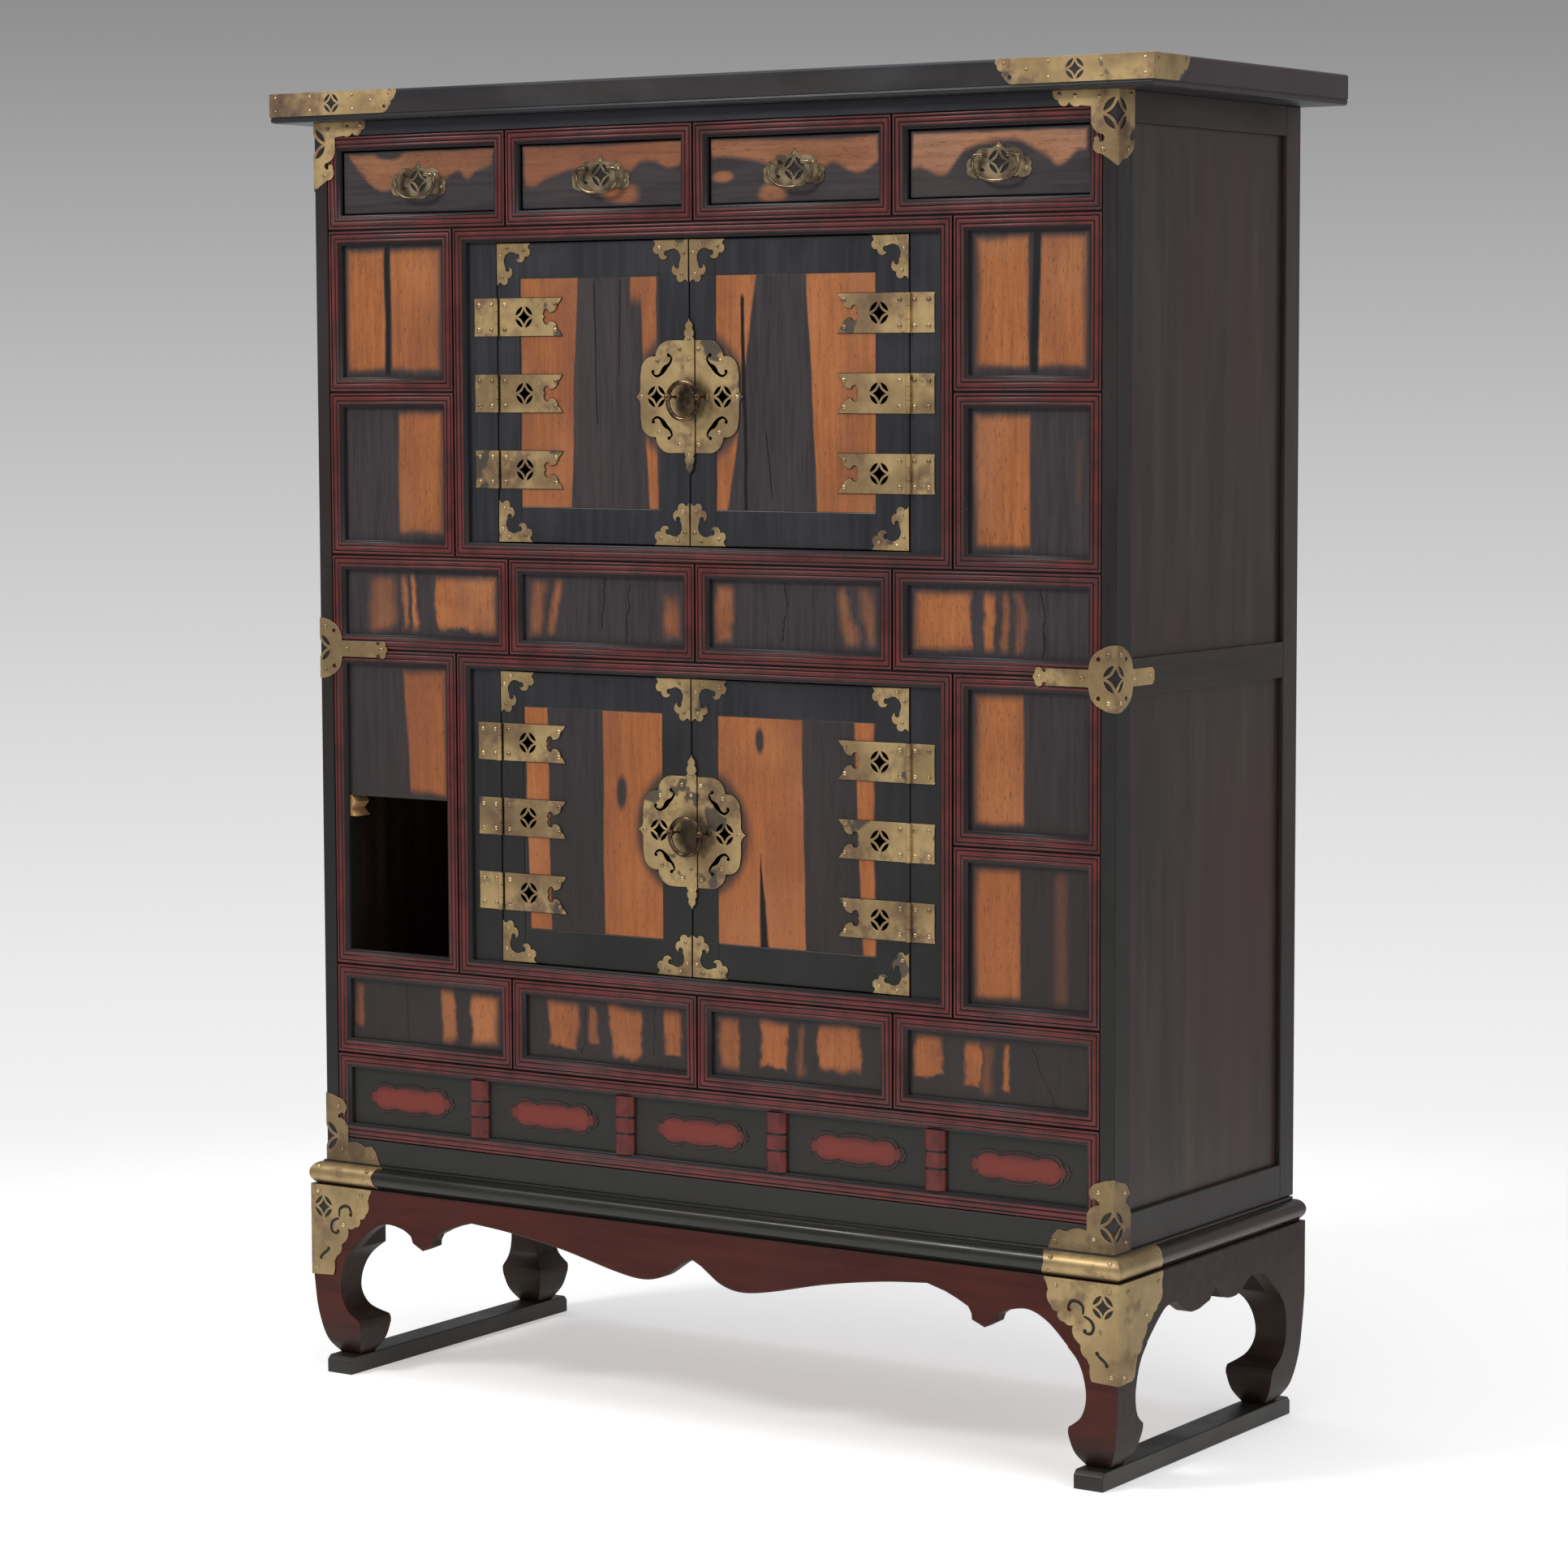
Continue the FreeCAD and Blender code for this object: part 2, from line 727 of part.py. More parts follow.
def row_cells(low, high):
    return [(x0, x1, low, high) for x0, x1 in drawer_cells()]


def column_cells(side, low, split, high):
    x0, x1 = sorted((side * x_door_row, side * x_frame))
    return [(x0, x1, low, split), (x0, x1, split, high)]


upper_cells = (column_cells(-1, z_upper_doors, z_upper_split, z_drawers)
               + column_cells(1, z_upper_doors, z_upper_split, z_drawers) + row_cells(z_tier, z_upper_doors))
lower_cells = (column_cells(1, z_lower_doors, z_lower_split, z_tier) + row_cells(z_lower_small, z_lower_doors))
broken_low, broken_high = column_cells(-1, z_lower_doors, z_lower_split, z_tier)
upper_door_cell = (-x_door_row, x_door_row, z_upper_doors, z_drawers)
lower_door_cell = (-x_door_row, x_door_row, z_lower_doors, z_tier)


def framed(cells):
    return [strip for cell in cells for strip in moulding_frame(*cell)]


def lower_tier_mouldings():
    """As above the tier line, but the strips along the broken rail are gone."""
    strips = framed(lower_cells + [lower_door_cell])
    strips += moulding_frame(*broken_low, sides="bottom right left")
    strips += moulding_frame(*broken_high, sides="right top left")
    trimmed = []
    stub_low, stub_high = z_lower_split - member_half, z_lower_split + member_half
    torn = box(-x_frame, -x_door_row, at(-1), at(panel_depth), stub_low, stub_high)
    for strip in strips:
        trimmed.append(strip.cut(torn))
    return trimmed


# ---------------------------------------------------------------- front panels
def cell_panel(x0, x1, z0, z1):
    return box(x0 + stem_half, x1 - stem_half, at(panel_depth), at(panel_depth + front_panel_thickness),
               z0 + stem_half, z1 - stem_half)


panel_bay = 2 * x_frame / 5
divider_width = 25.0
divider_depth = 8.0


def apron_row_panels():
    """Five panels in one frame, meeting behind the dividers."""
    bays = []
    for index in range(5):
        x0 = -x_frame + index * panel_bay
        left = x0 + (stem_half if index == 0 else 0.0)
        right = x0 + panel_bay - (stem_half if index == 4 else 0.0)
        bays.append(box(left, right, at(panel_depth), at(panel_depth + front_panel_thickness),
                        z_apron_row + stem_half, z_lower_small - stem_half))
    return bays


cartouche_length = 128.0
cartouche_height = 33.0
cartouche_rise = 2.2


def cartouches():
    """Raised lozenges with a bud at each end, one on each apron-row panel."""
    half, tall = cartouche_length / 2, cartouche_height / 2
    bud = tall * 0.42
    shapes = []
    for index in range(5):
        middle = -x_frame + (index + 0.5) * panel_bay
        z = (z_apron_row + z_lower_small) / 2
        end = [(-half, 0.0), ((-half + bud, bud), (-half + 2.1 * bud, bud * 0.6)),
               ((-half * 0.66, tall * 0.9), (-half * 0.3, tall)), (0.0, tall * 0.88)]
        upper = with_mirror(end, lambda p: (-p[0], p[1]))
        lower = reversed_steps(each_point(upper, lambda p: (p[0], -p[1])))[1:-1]
        lozenge = sheet_xz(upper + lower, at(panel_depth - cartouche_rise), at(panel_depth))
        shapes.append(moved(lozenge, middle, 0, z))
    return shapes


def bamboo_dividers():
    """Half-octagon uprights between the apron-row panels, each turned down at two rings."""
    half, depth = divider_width / 2, divider_depth
    low, high = z_apron_row + member_half, z_lower_small - member_half
    cut = half * 0.42
    ring_height, ring_sink = 2.0, 1.0
    pieces = []

    def stage(z0, z1, inset):
        section = [(-half + inset, at(panel_depth)), (-half + inset, at(panel_depth - depth * 0.45 + inset)),
                   (-half + cut, at(panel_depth - depth + inset)), (half - cut, at(panel_depth - depth + inset)),
                   (half - inset, at(panel_depth - depth * 0.45 + inset)), (half - inset, at(panel_depth))]
        return sheet_xy(section, z0, z1)

    length = high - low
    rings = [low + length * 0.36, low + length * 0.64]
    for index in range(1, 5):
        x = -x_frame + index * panel_bay
        stages, z = [], low
        for ring in rings:
            stages.append(stage(z, ring - ring_height / 2, 0.0))
            stages.append(stage(ring - ring_height / 2, ring + ring_height / 2, ring_sink))
            z = ring + ring_height / 2
        stages.append(stage(z, high, 0.0))
        pieces.append(moved(fused(stages), x))
    return pieces


# ---------------------------------------------------------------- stand
x_leg = half_width + base_overhang - leg_set_in
y_leg_front = at(-base_overhang + leg_set_in)
y_leg_back = back_y + base_back_overhang - leg_set_in
stand_depth = y_leg_back - y_leg_front


def leg_outline():
    """(inwards from the corner, height) of a leg seen square on, from its top to the floor rail."""
    tall = leg_height
    outer = [(0.0, z_moulding), (0.0, z_leg + tall * 0.6),
             [(foot_outer * 0.08, z_leg + tall * 0.42), (foot_outer * 0.2, z_leg + tall * 0.25),
              (foot_outer * 0.5, z_leg + tall * 0.09), (foot_outer, z_leg)]]
    inner = [(foot_inner, z_leg), (spur - 4.5, z_leg + tall * 0.075), (spur, z_leg + tall * 0.17),
             (spur - 1.0, z_leg + tall * 0.215),
             [(ankle + 7.0, z_leg + tall * 0.275), (ankle, z_leg + tall * 0.37),
              (ankle + 1.5, z_leg + tall * 0.48), (ankle + 8.5, z_leg + tall * 0.575),
              (leg_square, z_moulding - apron_join)],
             (leg_square, z_moulding)]
    return outer + inner


def legs():
    """Each leg is one outline sawn through from the front and again from the side."""
    solids = []
    for y, way in ((y_leg_front, 1), (y_leg_back, -1)):
        front = sheet_xz(placed(leg_outline(), x_leg, 0.0, -1), y, y + way * (spur + 1))
        side = sheet_yz(placed(leg_outline(), y, 0.0, way), x_leg, x_leg - spur - 1)
        solids += both_sides(front.common(side))
    return solids


def front_apron_outline():
    """Half of the front apron from its middle notch to the leg: across as a share of the half
    span, down from the base moulding."""
    reach = x_leg - leg_square
    shape = [(0.0, 0.0), (0.0, front_notch), ((0.022, front_notch + 5.0), (0.047, front_notch + 13.0)),
             [(0.085, front_lobe - 5.0), (0.14, front_lobe), (0.22, front_lobe - 5.0), (0.37, front_notch + 8.0),
              (0.52, front_arch + 5.0), (0.638, front_arch)],
             ((0.684, front_arch + 6.0), (0.715, front_arch + 12.0)),
             ((0.738, front_arch + 17.0), (0.753, front_arch + 26.0)),
             ((0.768, front_pendant - 3.0), (0.787, front_pendant)),
             ((0.806, front_pendant - 4.0), (0.823, front_pendant - 15.0)),
             [(0.85, front_pendant - 22.0), (0.90, front_pendant - 25.0), (0.95, front_pendant - 14.0),
              (1.0, apron_join)], (1.0, 0.0)]
    return each_point(shape, lambda p: (p[0] * reach, z_moulding - p[1]))


def side_apron_outline():
    """Half of a side apron from its middle notch to the leg, in the same way."""
    reach = stand_depth / 2 - leg_square
    shape = [(0.0, 0.0), (0.0, side_notch), ((0.034, side_notch + 4.0), (0.07, side_notch + 11.0)),
             [(0.15, side_lobe - 2.5), (0.24, side_lobe), (0.36, side_lobe - 0.5), (0.45, side_lobe - 7.0)],
             [(0.57, side_crest), (0.71, side_crest + 0.5), (0.83, side_crest + 10.5), (1.0, apron_join)],
             (1.0, 0.0)]
    return each_point(shape, lambda p: (p[0] * reach, z_moulding - p[1]))


def aprons():
    """Four boards between the legs, flush with the legs' faces; the back one is plain."""
    end = x_leg - leg_square
    front = sheet_xz(front_apron_outline(), y_leg_front, y_leg_front + apron_thickness)
    front = fused(both_sides(front))
    join, straight = z_moulding - apron_join, z_moulding - back_apron_depth
    half = [(0.0, z_moulding), (0.0, straight), (end * 0.87, straight),
            ((end * 0.94, straight - 6.0), (end, join)), (end, z_moulding)]
    back = fused(both_sides(sheet_xz(half, y_leg_back - apron_thickness, y_leg_back)))
    middle = (y_leg_front + y_leg_back) / 2
    halves = [sheet_yz(placed(side_apron_outline(), middle, 0.0, way), x_leg - apron_thickness, x_leg)
              for way in (-1, 1)]
    return [front, back] + both_sides(fused(halves))


def base_section(start, way, grow=0.0):
    """Section of the round-nosed base moulding; grow moves its nose out, for a sheet laid on it."""
    z0, z1 = z_moulding, z_case
    nose, flat, shoulder = base_moulding_height / 2, base_arris, base_overhang - base_arris
    return [(start + way * base_moulding_breadth, z0), (start + way * flat, z0),
            ((start - way * grow, z0 + nose), (start + way * flat, z1 - flat + grow)),
            (start + way * shoulder, z1 - flat + grow), (start + way * shoulder, z1),
            (start + way * base_moulding_breadth, z1)]


def base_moulding():
    """Round-nosed rails under the case, mitred at the corners; they carry the case on the stand."""
    x1 = half_width + base_overhang
    y0, y1 = at(-base_overhang), back_y + base_back_overhang
    breadth = base_moulding_breadth
    outer = [Vector(-x1, y0, 0), Vector(x1, y0, 0), Vector(x1, y1, 0), Vector(-x1, y1, 0)]
    inner = [Vector(-x1 + breadth, y0 + breadth, 0), Vector(x1 - breadth, y0 + breadth, 0),
             Vector(x1 - breadth, y1 - breadth, 0), Vector(-x1 + breadth, y1 - breadth, 0)]
    right = sheet_xz(base_section(x1, -1), y0, y1, nose_flat)
    runs = [sheet_yz(base_section(y0, 1), -x1, x1, nose_flat), right,
            sheet_yz(base_section(y1, -1), -x1, x1, nose_flat), mirrored(right)]
    rails = []
    for index, run in enumerate(runs):
        after = (index + 1) % 4
        corners = [outer[index], outer[after], inner[after], inner[index], outer[index]]
        wedge = Part.Face(Part.makePolygon(corners)).extrude(Vector(0, 0, z_case))
        rails.append(run.common(wedge))
    return rails


def runners():
    """The two ground rails that tie the front and back feet; their ends are chamfered."""
    inner = x_leg - (foot_inner + foot_outer) / 2 - runner_width / 2
    y0, y1 = at(-runner_front_reach), back_y + runner_back_reach
    cut = runner_chamfer
    side = [(y0, 0.0), (y0, runner_height - cut), (y0 + cut, runner_height), (y1 - cut, runner_height),
            (y1, runner_height - cut), (y1, 0.0)]
    return both_sides(sheet_yz(side, inner, inner + runner_width))


# ---------------------------------------------------------------- brass
def coin_cutter(radius, pierced_middle=True):
    """Four lens-shaped holes round a diamond, cutting along Y through the origin."""
    deep = 2 * sheet

    def ray(length, degrees):
        turn = math.radians(degrees)
        return (radius * length * math.cos(turn), radius * length * math.sin(turn))

    holes = []
    if pierced_middle:
        holes.append(sheet_xz([ray(0.46, degrees) for degrees in (0, 90, 180, 270)], -deep, deep))
    for diagonal in (45, 135, 225, 315):
        lens = [ray(1.0, diagonal - 31), (ray(1.0, diagonal), ray(1.0, diagonal + 31)),
                (ray(0.7, diagonal), ray(1.0, diagonal - 31))]
        holes.append(sheet_xz(lens, -deep, deep))
    return Part.makeCompound(holes)


def crescent(x, z, radius, start, sweep, width):
    """A curved slot round a centre, from an angle over a sweep in degrees, cutting along Y."""
    def point(r, degrees):
        turn = math.radians(degrees)
        return (x + r * math.cos(turn), z + r * math.sin(turn))
    near, far = radius - width / 2, radius + width / 2
    middle, end = start + sweep / 2, start + sweep
    steps = [point(near, start), (point(near, middle), point(near, end)), point(far, end),
             (point(far, middle), point(far, start))]
    return sheet_xz(steps, -2 * sheet, 2 * sheet, scroll_flat)


def bracket_cutter(radius, width):
    """Two curled slots that meet in a point, like the halves of a bracket; the point is the origin
    and looks along +X."""
    slots = []
    for up in (-1, 1):
        slots.append(crescent(-radius, up * radius * 0.98, radius, -up * 72, up * 262, width))
    return Part.makeCompound(slots)


y_face = at(panel_depth)                       # plane of the door faces
y_sheet = y_face - sheet                       # front of a brass sheet laid on it
y_hinge = y_face - barrel_radius - barrel_clear


def hinge_levels(low, high, top):
    return [high - top - index * hinge_pitch for index in range(3)]


hinge_heights = {"upper": hinge_levels(z_upper_doors, z_drawers, upper_hinge_top),
                 "lower": hinge_levels(z_lower_doors, z_tier, lower_hinge_top)}


def case_hinge_leaf(z):
    """Right-hand case leaf: a rectangle with the middle knuckle, bored for the pin."""
    half, third = hinge_height / 2, hinge_height / 3
    outer, inner = x_hinge + case_leaf, x_hinge + leaf_clear
    half_knuckle = third / 2 - knuckle_gap
    steps = [(inner, z - half), (outer, z - half), (outer, z + half), (inner, z + half),
             (inner, z + half_knuckle), (x_hinge, z + half_knuckle), (x_hinge, z - half_knuckle),
             (inner, z - half_knuckle)]
    leaf = sheet_xz(steps, y_sheet, y_face)
    barrel = upright_bar(x_hinge, y_hinge, z - half_knuckle, z + half_knuckle, barrel_radius)
    bore_corner = (pin_radius + running_clearance) / math.cos(math.pi / round_sides)
    bore = upright_bar(x_hinge, y_hinge, z - third, z + third, bore_corner)
    return fused([leaf, barrel]).cut(bore)


def tail_steps(tip, half):
    """Lower half of a door leaf's swallow tail, measured from the hinge line: from its point to
    the foot of the notch."""
    mouth, throat = tip - tail_depth * 0.21, tip - tail_depth
    return [(tip, half), ((mouth + tail_depth * 0.05, half * 0.66), (mouth, half * 0.3)),
            (throat + tail_depth * 0.05, half * 0.27), (throat + tail_depth * 0.16, 0.0)]


def door_hinge_leaf(z):
    """Right-hand door leaf: runs left from the hinge line to a swallow tail, coin cut through."""
    half, third = hinge_height / 2, hinge_height / 3
    below = placed(tail_steps(door_leaf, half), x_hinge, z, -1, -1)
    above = placed(tail_steps(door_leaf, half), x_hinge, z, -1)
    clear = third / 2
    start = x_hinge - leaf_clear
    steps = below + reversed_steps(above)[1:]
    steps += [(x_hinge, z + half), (x_hinge, z + clear), (start, z + clear), (start, z - clear),
              (x_hinge, z - clear), (x_hinge, z - half)]
    leaf = sheet_xz(steps, y_sheet, y_face)
    middle = x_hinge - (leaf_clear + door_leaf - tail_depth) / 2 - sheet * 4
    leaf = leaf.cut(moved(coin_cutter(coin_radius, False), middle, y_face - sheet / 2, z))
    barrels = [upright_bar(x_hinge, y_hinge, z0, z1, barrel_radius)
               for z0, z1 in ((z - half, z - clear), (z + clear, z + half))]
    pin = upright_bar(x_hinge, y_hinge, z - half, z + half, pin_radius)
    return fused([leaf, pin] + barrels)


def case_hinge_leaves():
    return [leaf for level in hinge_heights.values() for z in level for leaf in both_sides(case_hinge_leaf(z))]


def corner_brace(size):
    """An L of sheet with lobed ends; its corner is at the origin, arms along +X and -Z."""
    arm = [(0.0, 0.0), (1.0, 0.0), ((0.98, -0.22), (0.79, -0.36)), ((0.66, -0.47), (0.54, -0.36)),
           ((0.5, -0.24), (0.23, -0.23))]
    whole = with_mirror(arm, lambda p: (-p[1], -p[0]))
    return sheet_xz(sized(whole[:-1], size, size), y_sheet, y_face)


def lock_outline():
    """Right half of the lobed lock plate about its centre, from top to bottom."""
    quarter = [(0.0, 1.0), (0.36, 1.0), ((0.54, 0.92), (0.62, 0.72)), ((0.8, 0.68), (0.9, 0.43)),
               (0.905, 0.15), ((0.93, 0.05), (1.0, 0.0))]
    whole = with_mirror(quarter, lambda p: (p[0], -p[1]))
    return sized(whole, lock_half_width, lock_half_height)


def lock_half():
    """Right half of the lock plate with its coin and scrolls cut through, centred on the origin."""
    plate = sheet_xz(lock_outline(), 0, sheet)
    cutters = [moved(coin_cutter(coin_radius), lock_half_width * 0.6, sheet / 2, 0)]
    for up in (-1, 1):
        scroll = bracket_cutter(scroll_radius, scroll_slot)
        scroll.rotate(Vector(0, 0, 0), Vector(0, 1, 0), -up * 45)
        cutters.append(moved(scroll, lock_half_width * 0.46, sheet / 2, up * lock_half_height * 0.52))
    return plate.cut(Part.makeCompound(cutters))


def closing_bar():
    """The upright bar with finial ends that covers the meeting line, from its centre."""
    half, length = bar_width / 2, bar_length / 2
    finial = [(1.0, 1.0), ((0.72, 0.95), (0.66, 0.82)), ((1.0, 0.55), (0.8, 0.3)), ((0.3, 0.2), (0.0, 0.0))]
    quarter = each_point(finial, lambda p: (p[0] * half, length - p[1] * bar_finial))
    upper = with_mirror(quarter, lambda p: (-p[0], p[1]))
    lower = reversed_steps(each_point(upper, lambda p: (p[0], -p[1])))
    return sheet_xz(upper + lower, 0, bar_thickness)


def stud(x, z):
    """A ball on a stem with a small collar, standing out of the lock plate."""
    r, ball = stud_radius, stud_ball
    neck = stud_reach - math.sqrt(ball ** 2 - r ** 2)
    profile = [(2.0 * r, 0.0), (r, -2.0 * r), (r, -neck)]
    for degrees in (25, -15, -55):
        turn = math.radians(degrees)
        profile.append((ball * math.cos(turn), -stud_reach + ball * math.sin(turn)))
    profile.append((0.0, -stud_reach - ball))
    return turned(profile, Vector(x, y_sheet, z), round_sides)


y_ball = y_sheet - stud_reach
ring_chord = math.sqrt(ring_radius ** 2 - ring_drop ** 2)
left_stud_x = x_meet - math.sqrt((ring_radius - ring_wire) ** 2 - ring_drop ** 2) + stud_radius + stud_gap
right_stud_x = x_meet + math.sqrt((ring_radius + ring_wire) ** 2 - ring_drop ** 2) + stud_radius + stud_gap
ball_offset = max(x_meet - ring_chord - left_stud_x, -(right_stud_x - x_meet - ring_chord))
y_ring = y_ball + math.sqrt((stud_ball + ring_wire + ball_gap) ** 2 - ball_offset ** 2)


def ring_pull(z):
    """A plain ring of round wire that hangs just below the studs."""
    wire = [(ring_radius + ring_wire * math.cos(math.radians(60 * step + 30)),
             ring_wire * math.sin(math.radians(60 * step + 30))) for step in range(6)]
    return turned(wire, Vector(x_meet, y_ring, z - ring_drop), ring_flats, closed=True)


# ---------------------------------------------------------------- doors
doors = {
    "upper_left": ("left", "upper", z_upper_doors, z_drawers),
    "upper_right": ("right", "upper", z_upper_doors, z_drawers),
    "lower_left": ("left", "lower", z_lower_doors, z_tier),
    "lower_right": ("right", "lower", z_lower_doors, z_tier),
}


def lock_height(low, high):
    return (low + high) / 2 + lock_above_middle


def door_frame_and_panel(hand, low, high):
    """Two stiles and two rails round a tongued panel; the meeting edge is bevelled to the back."""
    z0, z1 = low + member_half + door_play, high - member_half - door_play
    y0, y1 = y_face, y_face + door_thickness
    if hand == "left":
        hinge_edge, meet_edge = -x_hinge + hinge_line_play, x_meet - meeting_play
        hinge_inner = -x_hinge + left_hinge_stile
        meet_inner = x_meet - left_meeting_stile
    else:
        hinge_edge, meet_edge = x_hinge - hinge_line_play, x_meet + meeting_play
        hinge_inner = x_hinge - right_hinge_stile
        meet_inner = x_meet + right_meeting_stile
    back_edge = meet_edge - meeting_bevel if hand == "left" else meet_edge + meeting_bevel
    hinge_stile = box(hinge_edge, hinge_inner, y0, y1, z0, z1)
    meet_stile = sheet_xy([(meet_inner, y0), (meet_edge, y0), (back_edge, y1), (meet_inner, y1)], z0, z1)
    rails = [box(hinge_inner, meet_inner, y0, y1, z0, z0 + door_rail),
             box(hinge_inner, meet_inner, y0, y1, z1 - door_rail, z1)]
    left, right = sorted((hinge_inner, meet_inner))
    middle = (y0 + y1) / 2
    tongue = box(left - door_tongue, right + door_tongue, middle - door_tongue_thickness / 2,
                 middle + door_tongue_thickness / 2, z0 + door_rail - door_tongue, z1 - door_rail + door_tongue)
    field = box(left, right, y0 + door_panel_set_back, y1 - door_tongue, z0 + door_rail, z1 - door_rail)
    frame = [piece.cut(tongue) for piece in [hinge_stile, meet_stile] + rails]
    return frame, [fused([field, tongue])]


def door_brass(hand, tier, low, high):
    """Hinge leaves, corner braces, half of the lock plate and a stud; the left door has the bar."""
    pieces = [door_hinge_leaf(z) for z in hinge_heights[tier]]
    if hand == "left":
        pieces = [mirrored(piece) for piece in pieces]
    z0, z1 = low + member_half + door_play, high - member_half - door_play
    if hand == "left":
        x0, x1 = -x_hinge + hinge_line_play, x_meet - meeting_play
    else:
        x0, x1 = x_meet + meeting_play, x_hinge - hinge_line_play
    brace = corner_brace(brace_size)
    for x, flip in ((x0, False), (x1, True)):
        shape = mirrored(brace) if flip else brace
        pieces.append(moved(shape, x, 0, z1))
        pieces.append(moved(shape.mirror(Vector(0, 0, 0), Vector(0, 0, 1)), x, 0, z0))
    z = lock_height(low, high)
    half = lock_half()
    if hand == "left":
        half = moved(mirrored(half), x_meet, y_sheet, z)
        keep = box(x_meet - 2 * lock_half_width, x_meet - meeting_play, y_sheet - 1, y_face + 1, low, high)
        plate = half.common(keep)
        bar = moved(closing_bar(), x_meet + 1.0, y_sheet - bar_lap_clear - bar_thickness, z)
        packing = box(x_meet - bar_width / 2 + 1.0, x_meet - meeting_play, y_sheet - bar_lap_clear, y_sheet,
                      z - lock_half_height * 0.98, z + lock_half_height * 0.98)
        pieces += [plate, fused([packing, bar]), stud(left_stud_x, z)]
    else:
        half = moved(half, x_meet, y_sheet, z)
        keep = box(x_meet + meeting_play, x_meet + 2 * lock_half_width, y_sheet - 1, y_face + 1, low, high)
        pieces += [half.common(keep), stud(right_stud_x, z)]
    return pieces


# ---------------------------------------------------------------- drawers
def drawer_extent(x0, x1):
    return (x0 + member_half + drawer_play, x1 - member_half - drawer_play,
            z_drawer, z_top_strip - member_half - drawer_play)


def drawer_front(x0, x1):
    left, right, z0, z1 = drawer_extent(x0, x1)
    return [box(left, right, y_face, y_face + drawer_front_thickness, z0, z1)]


def drawer_box(x0, x1):
    """Two sides, a back and a bottom between them, open at the top."""
    left, right, z0, z1 = drawer_extent(x0, x1)
    z1 -= drawer_side_drop
    y0, y1 = y_face + drawer_front_thickness, y_face + drawer_length
    wall = drawer_side_thickness
    return [box(left, left + wall, y0, y1, z0, z1), box(right - wall, right, y0, y1, z0, z1),
            box(left + wall, right - wall, y1 - wall, y1, z0, z1),
            box(left + wall, right - wall, y0, y1 - wall, z0, z0 + drawer_bottom_thickness)]


def pull_plate(x, z):
    """Cloud-shaped plate with a pointed top, pierced, and two posts bored for the bail."""
    right = [(0.0, 1.0), ((0.13, 0.74), (0.37, 0.63)), ((0.68, 0.6), (0.78, 0.2)), ((1.0, -0.25), (0.86, -0.68)),
             ((0.74, -0.78), (0.64, -0.74)), ((0.3, -0.64), (0.0, -0.78))]
    whole = with_mirror(right, lambda p: (-p[0], p[1]))
    plate = sheet_xz(placed(sized(whole[:-1], pull_half_width, pull_rise), x, z), y_sheet, y_face)
    plate = plate.cut(moved(coin_cutter(coin_radius), x, y_face - sheet / 2, z))
    z_pivot = z + pull_pivot_rise
    r, reach = pull_post_radius, pull_post_reach
    post = [(r, 0.0), (r, -reach - r * 0.4), (r * 0.6, -reach - r)]
    parts = [plate]
    for side in (-1, 1):
        px = x + side * pull_post_spread
        shape = turned(post, Vector(px, y_sheet, z_pivot), round_sides)
        bore_corner = (bail_pin_radius + running_clearance) / math.cos(math.pi / round_sides)
        bore = level_bar(px - 2 * r, px + 2 * r, y_pull, z_pivot, bore_corner, round_sides)
        parts.append(shape.cut(bore))
    return parts


y_pull = y_sheet - pull_post_reach


def bail(x, z):
    """A drooping handle of round wire whose thin ends turn in the posts."""
    z_pivot = z + pull_pivot_rise
    half, drop = bail_half_width, bail_drop
    shoulder = pull_post_spread + pull_post_radius + bail_wire
    elbow = half - bail_wire
    bend = bail_wire * 2.6
    path = [(-shoulder, 0.0), (-elbow, 0.0), (-half, -bend)]
    bow = arc_points((-half, -bend), (0.0, -drop), (half, -bend), 180.0 / bail_flats)
    path += bow + [(elbow, 0.0), (shoulder, 0.0)]
    loop = bent_rod([(x + px, z_pivot + pz) for px, pz in path], y_pull, bail_wire, bail_sides)
    pin_in = pull_post_spread - pull_post_radius - 0.6
    pins = [level_bar(x + side * pin_in, x + side * (shoulder + 0.5), y_pull, z_pivot,
                      bail_pin_radius, round_sides) for side in (-1, 1)]
    return [fused([loop] + pins)]


# ---------------------------------------------------------------- brass on the case
def plate_body_steps(wide, tall):
    """Edge of a corner plate's body, from its shoulder to its point on the fold."""
    shape = [(1.0, 0.0), (1.0, 0.46), ((0.88, 0.53), (0.66, 0.58)), ((0.48, 0.66), (0.7, 0.645)),
             ((0.95, 0.74), (0.62, 0.84)), ((0.36, 0.93), (0.0, 1.0))]
    return sized(shape, wide, tall)


def plate_arm_steps(long, tall, body):
    """Lobed arm of a corner plate along the strip, from its tip to the body."""
    shape = [(1.0, 0.0), ((0.97, 0.42), (0.91, 0.62)), ((0.84, 1.0), (0.76, 0.8)), ((0.7, 1.02), (0.62, 1.0))]
    return sized(shape, long, tall) + [(body, tall * 1.05)]


